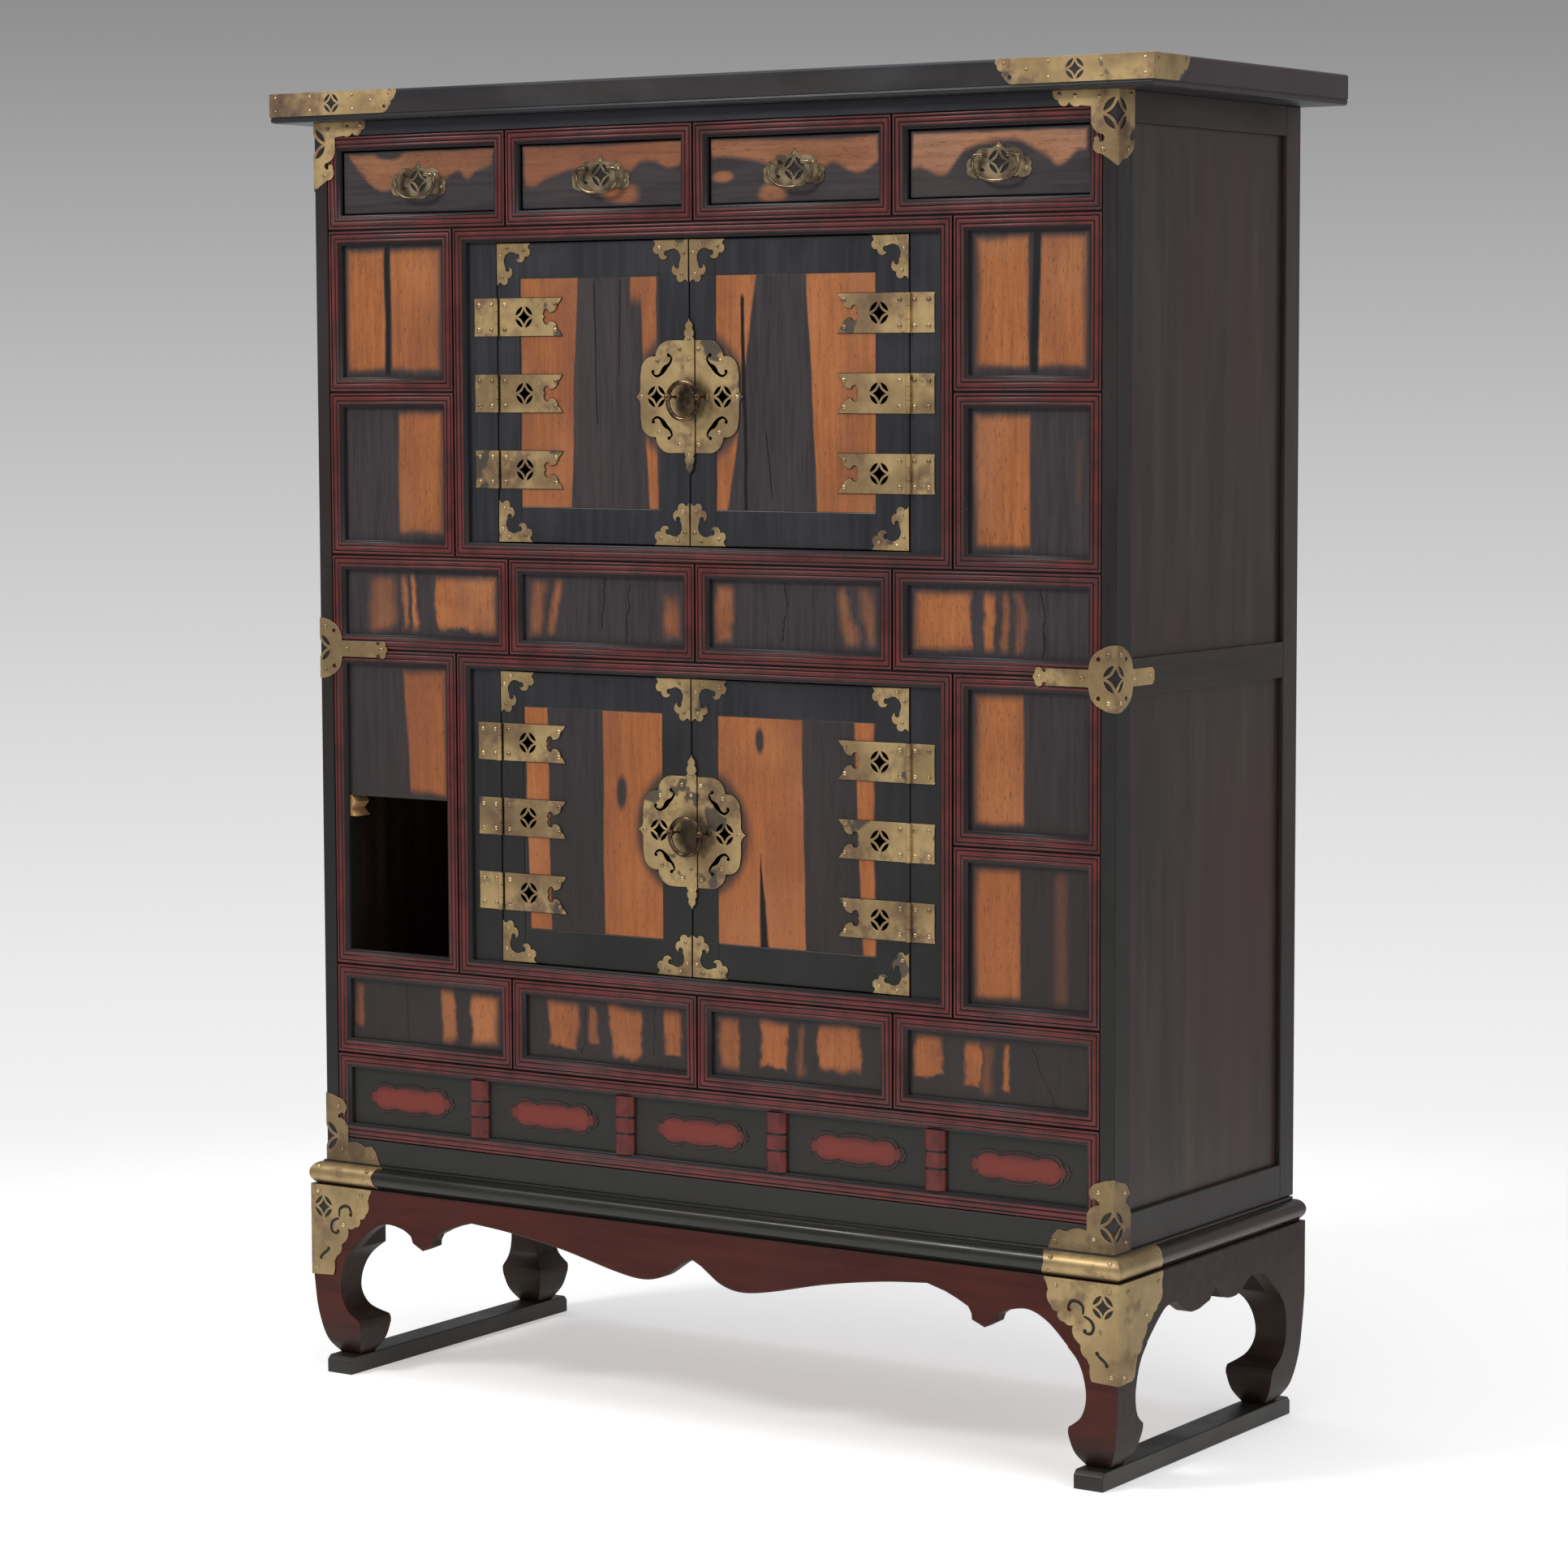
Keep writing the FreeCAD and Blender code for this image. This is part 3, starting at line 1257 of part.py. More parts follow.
def folded_plate(front_steps, side_steps, x, y, z, up, coin_drop, coin_size):
    """A plate bent round the right front corner, with a coin cut through both faces at the fold."""
    front = sheet_xz(placed(front_steps, x, z, -1, up), y - sheet, y)
    side = sheet_yz(placed(side_steps, y, z, 1, up), x, x + sheet)
    heights = [point[1] for point in outline_points(front_steps) if abs(point[0]) < 1e-6]
    edge = box(x, x + sheet, y - sheet, y, z + up * min(heights), z + up * max(heights))
    coin = moved(coin_cutter(coin_size), x, y - sheet / 2, z + up * coin_drop)
    side_coin = coin_cutter(coin_size)
    side_coin.rotate(Vector(0, 0, 0), Vector(0, 0, 1), 90)
    side_coin = moved(side_coin, x + sheet / 2, y, z + up * coin_drop)
    slot = box(x - sheet, x + 2 * sheet, y - 2 * sheet, y + sheet,
               z + up * coin_drop - coin_size * 0.46, z + up * coin_drop + coin_size * 0.46)
    return fused([front.cut(coin), side.cut(side_coin), edge.cut(slot)])


def case_corner_plates():
    """Six folded plates on the front corners: at the top, at the tier line and at the base."""
    plates = []
    body, tall = plate_body, plate_length
    for z, up, strip in ((z_case_top, -1, top_strip), (z_case, 1, bottom_strip * 0.75)):
        front = [(0.0, 0.0)] + plate_arm_steps(plate_arm, strip, body) + plate_body_steps(body, tall)[1:]
        side = [(0.0, 0.0)] + plate_body_steps(body + sheet, tall)
        plate = folded_plate(front, side, half_width, front_y, z, up, tall * 0.33, plate_coin_radius)
        plates += both_sides(plate)
    r, half = roundel_radius, roundel_arm_half
    lobe = [(0.0, 1.0), ((0.2, 0.96), (0.47, 0.83)), ((0.78, 0.66), (0.93, 0.25))]
    quarter = sized(lobe, r, r)
    arm = [(roundel_arm * 0.82, half), ((roundel_arm * 0.86, half * 0.5), (roundel_arm * 0.9, half * 0.95)),
           ((roundel_arm * 0.98, half * 0.8), (roundel_arm, 0.0))]
    side_arm = [(roundel_side_arm - half * 0.5, half), (roundel_side_arm, half * 0.5), (roundel_side_arm, 0.0)]
    outlines = [with_mirror(quarter + ends, lambda p: (p[0], -p[1])) for ends in (arm, side_arm)]
    plate = folded_plate(outlines[0], outlines[1], half_width, front_y, z_tier, 1, 0.0, plate_coin_radius * 0.9)
    plates += both_sides(plate)
    return plates


def top_board_caps():
    """Brass caps on the front corners of the board: the front edge and a short return."""
    x1 = half_width + board_side_overhang
    y0, z1 = at(-board_front_overhang), z_case_top + board_thickness
    tall = board_thickness - board_bead - board_quirk
    front = sized([(0.0, 0.0), (1.0, 0.0), ((0.985, 0.3), (0.96, 0.6)), ((0.93, 0.72), (0.91, 0.85)),
                   ((0.88, 0.97), (0.83, 1.0)), (0.0, 1.0)], board_cap_front, tall)
    side = sized([(0.0, 0.0), (1.0, 0.0), ((0.93, 0.45), (0.72, 0.85)), ((0.6, 0.88), (0.5, 1.0)),
                  (0.0, 1.0)], board_cap_side, tall)
    face = sheet_xz(placed(front, x1, z1, -1, -1), y0 - sheet, y0)
    face = face.cut(moved(coin_cutter(tall * 0.42), x1 - board_cap_front * 0.49, y0 - sheet / 2, z1 - tall / 2))
    flank = sheet_yz(placed(side, y0, z1, 1, -1), x1, x1 + sheet)
    edge = box(x1, x1 + sheet, y0 - sheet, y0, z1 - tall, z1)
    return both_sides(fused([face, edge, flank]))


def leg_plate_steps(top, tall, lobes):
    """Edge of a leg plate from its top corner, by lobes (share of width, share of height) to its foot."""
    steps = [(0.0, 0.0), (top, 0.0)]
    before = (1.0, 0.0)
    for end in lobes:
        through = ((before[0] + end[0]) / 2 + 0.05, (before[1] + end[1]) / 2 + 0.025)
        steps.append(((through[0] * top, through[1] * tall), (end[0] * top, end[1] * tall)))
        before = end
    return steps + [(0.0, tall)]


def stand_plates():
    """Brass on the front corners of the stand: caps on the base moulding and tapering leg plates."""
    x1, y0, top = x_leg, y_leg_front, z_moulding
    front = leg_plate_steps(leg_plate_top, leg_plate_length,
                            [(0.935, 0.13), (0.81, 0.33), (0.6, 0.45), (0.5, 0.63), (0.385, 0.79), (0.33, 0.95)])
    side = leg_plate_steps(leg_plate_side_top, leg_plate_length,
                           [(0.96, 0.13), (0.79, 0.38), (0.6, 0.53), (0.46, 0.71), (0.34, 0.82), (0.3, 0.95)])
    face = sheet_xz(placed(front, x1, top, -1, -1), y0 - sheet, y0)
    cutters = [moved(coin_cutter(coin_radius), x1 - leg_plate_top * 0.205, y0, top - leg_plate_length * 0.24)]
    scroll = bracket_cutter(scroll_radius * 1.1, scroll_slot)
    scroll.rotate(Vector(0, 0, 0), Vector(0, 1, 0), -42)
    cutters.append(moved(scroll, x1 - leg_plate_top * 0.44, y0, top - leg_plate_length * 0.35))
    face = face.cut(Part.makeCompound(cutters))
    flank = sheet_yz(placed(side, y0, top, 1, -1), x1, x1 + sheet)
    edge = box(x1, x1 + sheet, y0 - sheet, y0, top - leg_plate_length, top)
    leg_plate = fused([face, edge, flank])

    mx, my = half_width + base_overhang, at(-base_overhang)
    run = sheet_yz(base_section(my, 1, sheet)[1:4] + [(my + base_arris * 3, z_moulding)], mx - stand_cap_front,
                   mx + sheet, nose_flat)
    turn = sheet_xz(base_section(mx, -1, sheet)[1:4] + [(mx - base_arris * 3, z_moulding)], my - sheet,
                    my + stand_cap_side, nose_flat)
    cap = run.fuse(turn)
    for rail in base_moulding():
        cap = cap.cut(rail)
    outside = box(mx - stand_cap_front, mx + sheet, my - sheet, my + stand_cap_side, z_moulding, z_case)
    inside = box(mx - stand_cap_front, mx - base_overhang, my + base_overhang, my + stand_cap_side,
                 z_moulding, z_case)
    middle = (z_moulding + z_case) / 2
    notch = stand_cap_notch
    bite = [(0.0, -base_moulding_height), (notch, 0.0), (0.0, base_moulding_height)]
    front_bite = sheet_xz(placed(bite, mx - stand_cap_front, middle), my - 2 * sheet, my + base_overhang)
    side_bite = sheet_yz(placed(bite, my + stand_cap_side, middle, -1), mx - base_overhang, mx + 2 * sheet)
    cap = cap.common(outside).cut(Part.makeCompound([inside, front_bite, side_bite]))
    biggest = max(cap.Solids, key=lambda solid: solid.Volume)
    return both_sides(leg_plate) + both_sides(biggest)


# ---------------------------------------------------------------- write every node
save("corner_posts", corner_posts())
save("front_rails", front_rails())
save("front_muntins", front_muntins())
save("broken_rail_stubs", broken_rail_stubs())
save("hinge_stiles", hinge_stiles())
save("side_rails", side_rails())
save("side_panels", side_panels())
save("back_rails", back_rails())
save("back_panels", back_panels())
save("floor_boards", floor_boards())
save("drawer_partitions", drawer_partitions())
save("top_board", top_board())
save("drawer_row_mouldings", framed(row_cells(z_drawers, z_top_strip)))
save("upper_tier_mouldings", framed(upper_cells + [upper_door_cell]))
save("lower_tier_mouldings", lower_tier_mouldings())
save("apron_row_moulding", framed([(-x_frame, x_frame, z_apron_row, z_lower_small)]))
save("upper_tier_panels", [cell_panel(*cell) for cell in upper_cells])
save("lower_tier_panels", [cell_panel(*cell) for cell in lower_cells + [broken_high]])
save("apron_row_panels", apron_row_panels())
save("cartouches", cartouches())
save("bamboo_dividers", bamboo_dividers())
save("base_moulding", base_moulding())
save("legs", legs())
save("aprons", aprons())
save("runners", runners())
save("case_hinge_leaves", case_hinge_leaves())
save("case_corner_plates", case_corner_plates())
save("top_board_caps", top_board_caps())
save("stand_plates", stand_plates())

for name, (hand, tier, low, high) in doors.items():
    frame, panel = door_frame_and_panel(hand, low, high)
    save(name + "_door_frame", frame)
    save(name + "_door_panel", panel)
    save(name + "_door_brass", door_brass(hand, tier, low, high))
    if hand == "left":
        save(tier + "_ring", [ring_pull(lock_height(low, high))])

for number, (x0, x1) in enumerate(drawer_cells(), start=1):
    middle_x = (x0 + x1) / 2
    middle_z = (z_drawers + z_top_strip) / 2
    save("drawer_%d_front" % number, drawer_front(x0, x1))
    save("drawer_%d_box" % number, drawer_box(x0, x1))
    save("drawer_%d_pull" % number, pull_plate(middle_x, middle_z))
    save("drawer_%d_bail" % number, bail(middle_x, middle_z))
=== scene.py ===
"""Dresses the two-tier chest: lacquer, figured panels, ribbed mouldings and pierced brass.

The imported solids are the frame. Sizes of the brass are in millimetres and are turned into metres
where a mesh is made. The origin is on the ground under the middle; the front looks along -Y.
"""
import bmesh
import bpy
import json
import math
from mathutils import Matrix, Vector


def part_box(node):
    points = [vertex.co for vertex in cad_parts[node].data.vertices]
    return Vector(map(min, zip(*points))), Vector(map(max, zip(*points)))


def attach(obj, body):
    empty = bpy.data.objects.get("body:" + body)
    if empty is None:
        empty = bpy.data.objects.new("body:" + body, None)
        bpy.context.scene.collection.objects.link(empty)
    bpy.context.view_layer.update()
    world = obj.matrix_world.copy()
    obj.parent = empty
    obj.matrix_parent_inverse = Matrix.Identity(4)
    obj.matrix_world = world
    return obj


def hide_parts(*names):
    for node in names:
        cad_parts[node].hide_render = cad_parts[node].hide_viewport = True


bl_info = {
    "name": "Two-tier chest",
    "version": (1, 0, 0),
    "blender": (4, 5, 0),
    "location": "View3D > Sidebar > Chest",
    "description": "Finishes a lacquered two-tier chest with figured panels and pierced brass",
    "category": "Object",
}

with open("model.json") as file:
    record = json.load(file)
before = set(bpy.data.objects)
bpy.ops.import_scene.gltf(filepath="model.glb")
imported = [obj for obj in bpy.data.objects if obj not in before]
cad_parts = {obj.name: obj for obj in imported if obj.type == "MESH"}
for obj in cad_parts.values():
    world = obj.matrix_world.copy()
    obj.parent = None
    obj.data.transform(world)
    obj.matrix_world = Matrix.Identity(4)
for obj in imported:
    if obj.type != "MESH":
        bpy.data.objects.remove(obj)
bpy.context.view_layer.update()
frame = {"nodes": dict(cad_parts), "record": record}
record = frame["record"]
MM = 0.001
BODY_OF = {node: body for body, nodes in record["behaviour"]["bodies"].items() for node in nodes}
SLOT_OF = {part["node"]: part["material_slot"] for part in record["subparts"]}
PIVOT = {joint["name"]: Vector(joint["pos_m"]) for joint in record["behaviour"]["joints"] if "pos_m" in joint}

# places taken from the frame, in metres
FRONT_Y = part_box("corner_posts")[0][1]
FACE_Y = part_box("upper_left_door_frame")[0][1]
CORNER_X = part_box("corner_posts")[1][0]
CASE_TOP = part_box("corner_posts")[1][2]
CASE_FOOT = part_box("corner_posts")[0][2]
LEG_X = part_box("legs")[1][0]
LEG_FRONT_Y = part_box("legs")[0][1]
LEG_BACK_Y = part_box("legs")[1][1]
LEG_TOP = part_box("legs")[1][2]
LEG_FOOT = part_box("legs")[0][2]
SHEET_MM = 1.2
BRASS_Y = FACE_Y - SHEET_MM * MM
SHEET_ANGLE, TURNED_ANGLE = 20.0, 50.0      # edges of sheets and turned forms past this stay sharp
CLOSE = 1e-3            # millimetres within which two points of an outline are one
ASKEW = 0.31            # turn of a sheet while it is filled, so that none of its edges runs along an axis
BALL_ROWS, DISC_SIDES, WIRE_SIDES = 8, 14, 12
nails = {}


# ---------------------------------------------------------------- sizes and colours
def tint(red, green, blue):
    """A display colour from 0 to 255 as the linear colour that a shader wants."""
    linear = []
    for value in (red, green, blue):
        part = value / 255.0
        linear.append(part / 12.92 if part <= 0.04045 else ((part + 0.055) / 1.055) ** 2.4)
    return tuple(linear)


def colour_property(name, description, shade):
    return bpy.props.FloatVectorProperty(name=name, description=description, subtype="COLOR", size=3,
                                         min=0.0, max=1.0, default=tint(*shade))


class ChestFinish(bpy.types.PropertyGroup):
    """Colours of the chest's finishes."""
    lacquer: colour_property("Black lacquer", "Colour of the framing and the door frames", (38, 38, 42))
    moulding_red: colour_property("Moulding red", "Colour on the ribs of the mouldings", (98, 38, 35))
    stand_red: colour_property("Stand red", "Colour of the stand's front", (68, 26, 17))
    sapwood: colour_property("Orange wood", "Light bands of the figured persimmon", (172, 104, 57))
    heartwood: colour_property("Black wood", "Dark bands of the figured persimmon", (56, 50, 52))
    side_wood: colour_property("Side wood", "Colour of the side panels", (50, 38, 32))
    brass: colour_property("Brass", "Colour of clean brass", (210, 180, 128))
    patina: colour_property("Patina", "Colour of the brass where it has darkened", (122, 98, 80))


class ChestSizes(bpy.types.PropertyGroup):
    """Sizes of the fine work that the solids leave out."""
    nail_radius: bpy.props.FloatProperty(name="Nail radius", description="Radius of a dome nail's head",
                                         default=0.0027, min=0.0005, max=0.01, unit="LENGTH")
    nail_rise: bpy.props.FloatProperty(name="Nail rise", description="Height of a dome nail's head",
                                       default=0.00165, min=0.0003, max=0.01, unit="LENGTH")
    arris: bpy.props.FloatProperty(name="Arris", description="Width of the softened edges of the wood",
                                   default=0.0008, min=0.0, max=0.01, unit="LENGTH")
    sheet_edge: bpy.props.FloatProperty(name="Brass edge", description="Rounding of the brass sheets' edges",
                                        default=0.0003, min=0.0, max=0.0005, unit="LENGTH")


def finish():
    return bpy.context.scene.chest_finish


def sizes():
    return bpy.context.scene.chest_sizes


# ---------------------------------------------------------------- shader helpers
def add(tree, kind, values=None, **settings):
    """A node with its settings made and its inputs set or linked."""
    made = tree.nodes.new(kind)
    for name, value in settings.items():
        setattr(made, name, value)
    for name, value in (values or {}).items():
        if isinstance(value, bpy.types.NodeSocket):
            tree.links.new(value, made.inputs[name])
        else:
            made.inputs[name].default_value = value
    return made


def calc(tree, operation, first, second=0.0):
    return add(tree, "ShaderNodeMath", {0: first, 1: second}, operation=operation).outputs[0]


def plus(tree, first, second):
    return calc(tree, "ADD", first, second)


def minus(tree, first, second):
    return calc(tree, "SUBTRACT", first, second)


def times(tree, first, second):
    return calc(tree, "MULTIPLY", first, second)


def axes(tree, where):
    """X, Y and Z of a vector."""
    return add(tree, "ShaderNodeSeparateXYZ", {"Vector": where}).outputs


def moved(tree, where, operation, by):
    return add(tree, "ShaderNodeVectorMath", {0: where, 1: by}, operation=operation).outputs[0]


def length(tree, where):
    return add(tree, "ShaderNodeVectorMath", {0: where}, operation="LENGTH").outputs["Value"]


def soft_step(tree, value, low, high, start=0.0, end=1.0):
    """From start, below low, to end, above high."""
    made = add(tree, "ShaderNodeMapRange",
               {"Value": value, "From Min": low, "From Max": high, "To Min": start, "To Max": end},
               interpolation_type="SMOOTHSTEP")
    return made.outputs["Result"]


def blend(tree, factor, first, second):
    """A mix of two colours, each a socket or a plain colour."""
    inputs = {0: factor}
    for index, value in ((6, first), (7, second)):
        inputs[index] = value if isinstance(value, bpy.types.NodeSocket) else (*value[:3], 1.0)
    return add(tree, "ShaderNodeMix", inputs, data_type="RGBA").outputs[2]


def over(tree, base, colour, mask, low, high, start=0.0, end=1.0):
    """A colour laid over the base, from start, where the mask is below low, to end, above high."""
    return blend(tree, soft_step(tree, mask, low, high, start, end), base, colour)


def noise(tree, where, scale, detail=4.0, rough=0.55):
    made = add(tree, "ShaderNodeTexNoise", {"Vector": where, "Scale": scale, "Detail": detail,
                                            "Roughness": rough})
    return made.outputs["Fac"]


def stretched(tree, where, scale):
    return add(tree, "ShaderNodeMapping", {"Vector": where, "Scale": scale}, vector_type="POINT").outputs[0]


def new_material(name, roughness, metallic=0.0, specular=0.38):
    material = bpy.data.materials.new(name)
    material.use_nodes = True
    tree = material.node_tree
    shader = tree.nodes["Principled BSDF"]
    shader.inputs["Roughness"].default_value = roughness
    shader.inputs["Metallic"].default_value = metallic
    shader.inputs["Specular IOR Level"].default_value = specular
    return material, tree, tree.nodes.new("ShaderNodeTexCoord").outputs["Object"]


def finished(material, base, height, strength, distance, rough=None):
    """Links a material's colour and bump, and its roughness where that varies."""
    tree = material.node_tree
    shader = tree.nodes["Principled BSDF"]
    bump = add(tree, "ShaderNodeBump", {"Height": height, "Strength": strength, "Distance": distance})
    tree.links.new(base, shader.inputs["Base Color"])
    tree.links.new(bump.outputs["Normal"], shader.inputs["Normal"])
    if rough:
        tree.links.new(rough, shader.inputs["Roughness"])
    return material


def scaled(colour, factor):
    return tuple(min(1.0, part * factor) for part in colour[:3])


WARM_LEVELS = (0.5, 0.95)       # metres up the chest between which finishes turn from warm to cool
GRAIN = {"X": (0.06, 1.0, 1.0), "Y": (1.0, 0.06, 1.0), "Z": (1.0, 1.0, 0.06)}


def lacquered(name, colour, along="Z", roughness=0.36, streak=1.55, dust=0.35, warm=None, ends=None):
    """Lacquer over close-grained wood: faint streaks along the grain, cloudy wear and specks of dust."""
    material, tree, where = new_material(name, roughness)
    grain = stretched(tree, where, GRAIN[along])
    streaks = noise(tree, grain, 130.0, 5.0, 0.6)
    cloud = noise(tree, where, 7.0, 4.0, 0.6)
    base = blend(tree, soft_step(tree, streaks, 0.35, 0.75), scaled(colour, 0.85), scaled(colour, streak))
    if warm:
        base = over(tree, base, warm, noise(tree, grain, 22.0), 0.46, 0.72)
    base = over(tree, base, scaled(colour, 2.0), cloud, 0.45, 0.75, 0.0, 0.5)
    base = over(tree, base, tint(35, 34, 30), axes(tree, where)["Z"], *WARM_LEVELS, 0.8, 0.0)
    if ends:
        normal = tree.nodes.new("ShaderNodeNewGeometry").outputs["Normal"]
        base = over(tree, base, ends, calc(tree, "ABSOLUTE", axes(tree, normal)["X"]), 0.4, 0.9)
    base = over(tree, base, tint(132, 128, 118), noise(tree, where, 420.0, 2.0, 0.5), 0.74, 0.80, 0.0, dust)
    rough = soft_step(tree, cloud, 0.3, 0.8, roughness - 0.06, roughness + 0.16)
    return finished(material, base, streaks, 0.22, 0.0005, rough)


BAND_INPUTS = ("Left Foot", "Left Head", "Right Foot", "Right Head", "Foot", "Head", "Soft", "End Soft",
               "Strength")
KNOT_STRETCH = 2.6      # a knot's height for its width


def band_group():
    """Mask of one band of colour: straight soft sides that may lean, and soft ends."""
    if "wood_band" in bpy.data.node_groups:
        return bpy.data.node_groups["wood_band"]
    group = bpy.data.node_groups.new("wood_band", "ShaderNodeTree")
    for name in ("Across", "Up") + BAND_INPUTS:
        group.interface.new_socket(name, in_out="INPUT", socket_type="NodeSocketFloat")
    group.interface.new_socket("Mask", in_out="OUTPUT", socket_type="NodeSocketFloat")
    given = group.nodes.new("NodeGroupInput").outputs
    out = group.nodes.new("NodeGroupOutput")

    def lean(foot, head):
        made = group.nodes.new("ShaderNodeMix")
        group.links.new(given["Up"], made.inputs[0])
        group.links.new(given[foot], made.inputs[2])
        group.links.new(given[head], made.inputs[3])
        return made.outputs[0]

    def edge(value, limit, soft):
        low, high = minus(group, limit, soft), plus(group, limit, soft)
        return soft_step(group, value, low, high)

    left = edge(given["Across"], lean("Left Foot", "Left Head"), given["Soft"])
    right = edge(given["Across"], lean("Right Foot", "Right Head"), given["Soft"])
    foot = edge(given["Up"], given["Foot"], given["End Soft"])
    head = edge(given["Up"], given["Head"], given["End Soft"])
    mask = times(group, left, minus(group, 1.0, right))
    mask = times(group, mask, foot)
    mask = times(group, mask, minus(group, 1.0, head))
    group.links.new(times(group, mask, given["Strength"]), out.inputs["Mask"])
    return group


def band(left_foot, left_head, right_foot, right_head, foot=-0.2, head=1.2, soft=0.015, strength=1.0,
         end_soft=0.04):
    """One band of light wood, in shares of the panel's width and height."""
    return (left_foot, left_head, right_foot, right_head, foot, head, soft, end_soft, strength)


def straight(left, right, **more):
    return band(left, left, right, right, **more)


def hill_edge(tree, across, hill):
    """Height of a drawer's orange edge: a smooth ramp through its (across, up) places."""
    edge = tree.nodes.new("ShaderNodeValToRGB")
    ramp = edge.color_ramp
    ramp.interpolation = "B_SPLINE"
    tree.links.new(across, edge.inputs[0])
    for stop, value in zip(ramp.elements, (hill[0][1], hill[-1][1])):
        stop.color = (value, value, value, 1.0)
    for place, value in hill[1:-1]:
        ramp.elements.new(place).color = (value, value, value, 1.0)
    return edge.outputs[0]


def far_from(tree, across, up, centre, reach_x, reach_z):
    """Square of the distance from a centre, counted in reaches."""
    dx = times(tree, minus(tree, across, centre[0]), 1.0 / reach_x)
    dz = times(tree, minus(tree, up, centre[1]), 1.0 / reach_z)
    return plus(tree, times(tree, dx, dx), times(tree, dz, dz))


def crack_mask(tree, across_bent, up, width, crack):
    """A dark line up the wood: (foot across, head across, foot, head, width in mm, and 1 for a taper)."""
    foot_x, head_x, foot, head, wide, *taper = crack
    line = plus(tree, foot_x, times(tree, up, head_x - foot_x))
    side = calc(tree, "ABSOLUTE", minus(tree, across_bent, line))
    if taper:
        along = calc(tree, "DIVIDE", minus(tree, up, foot), head - foot)
        side = calc(tree, "DIVIDE", side, calc(tree, "MAXIMUM", minus(tree, 1.0, along), 0.08))
    line = soft_step(tree, side, wide * 0.4 * MM / width, wide * MM / width, 1.0, 0.0)
    ends = times(tree, soft_step(tree, up, foot, foot + 0.03),
                 soft_step(tree, up, head - 0.03, head, 1.0, 0.0))
    return times(tree, line, ends)


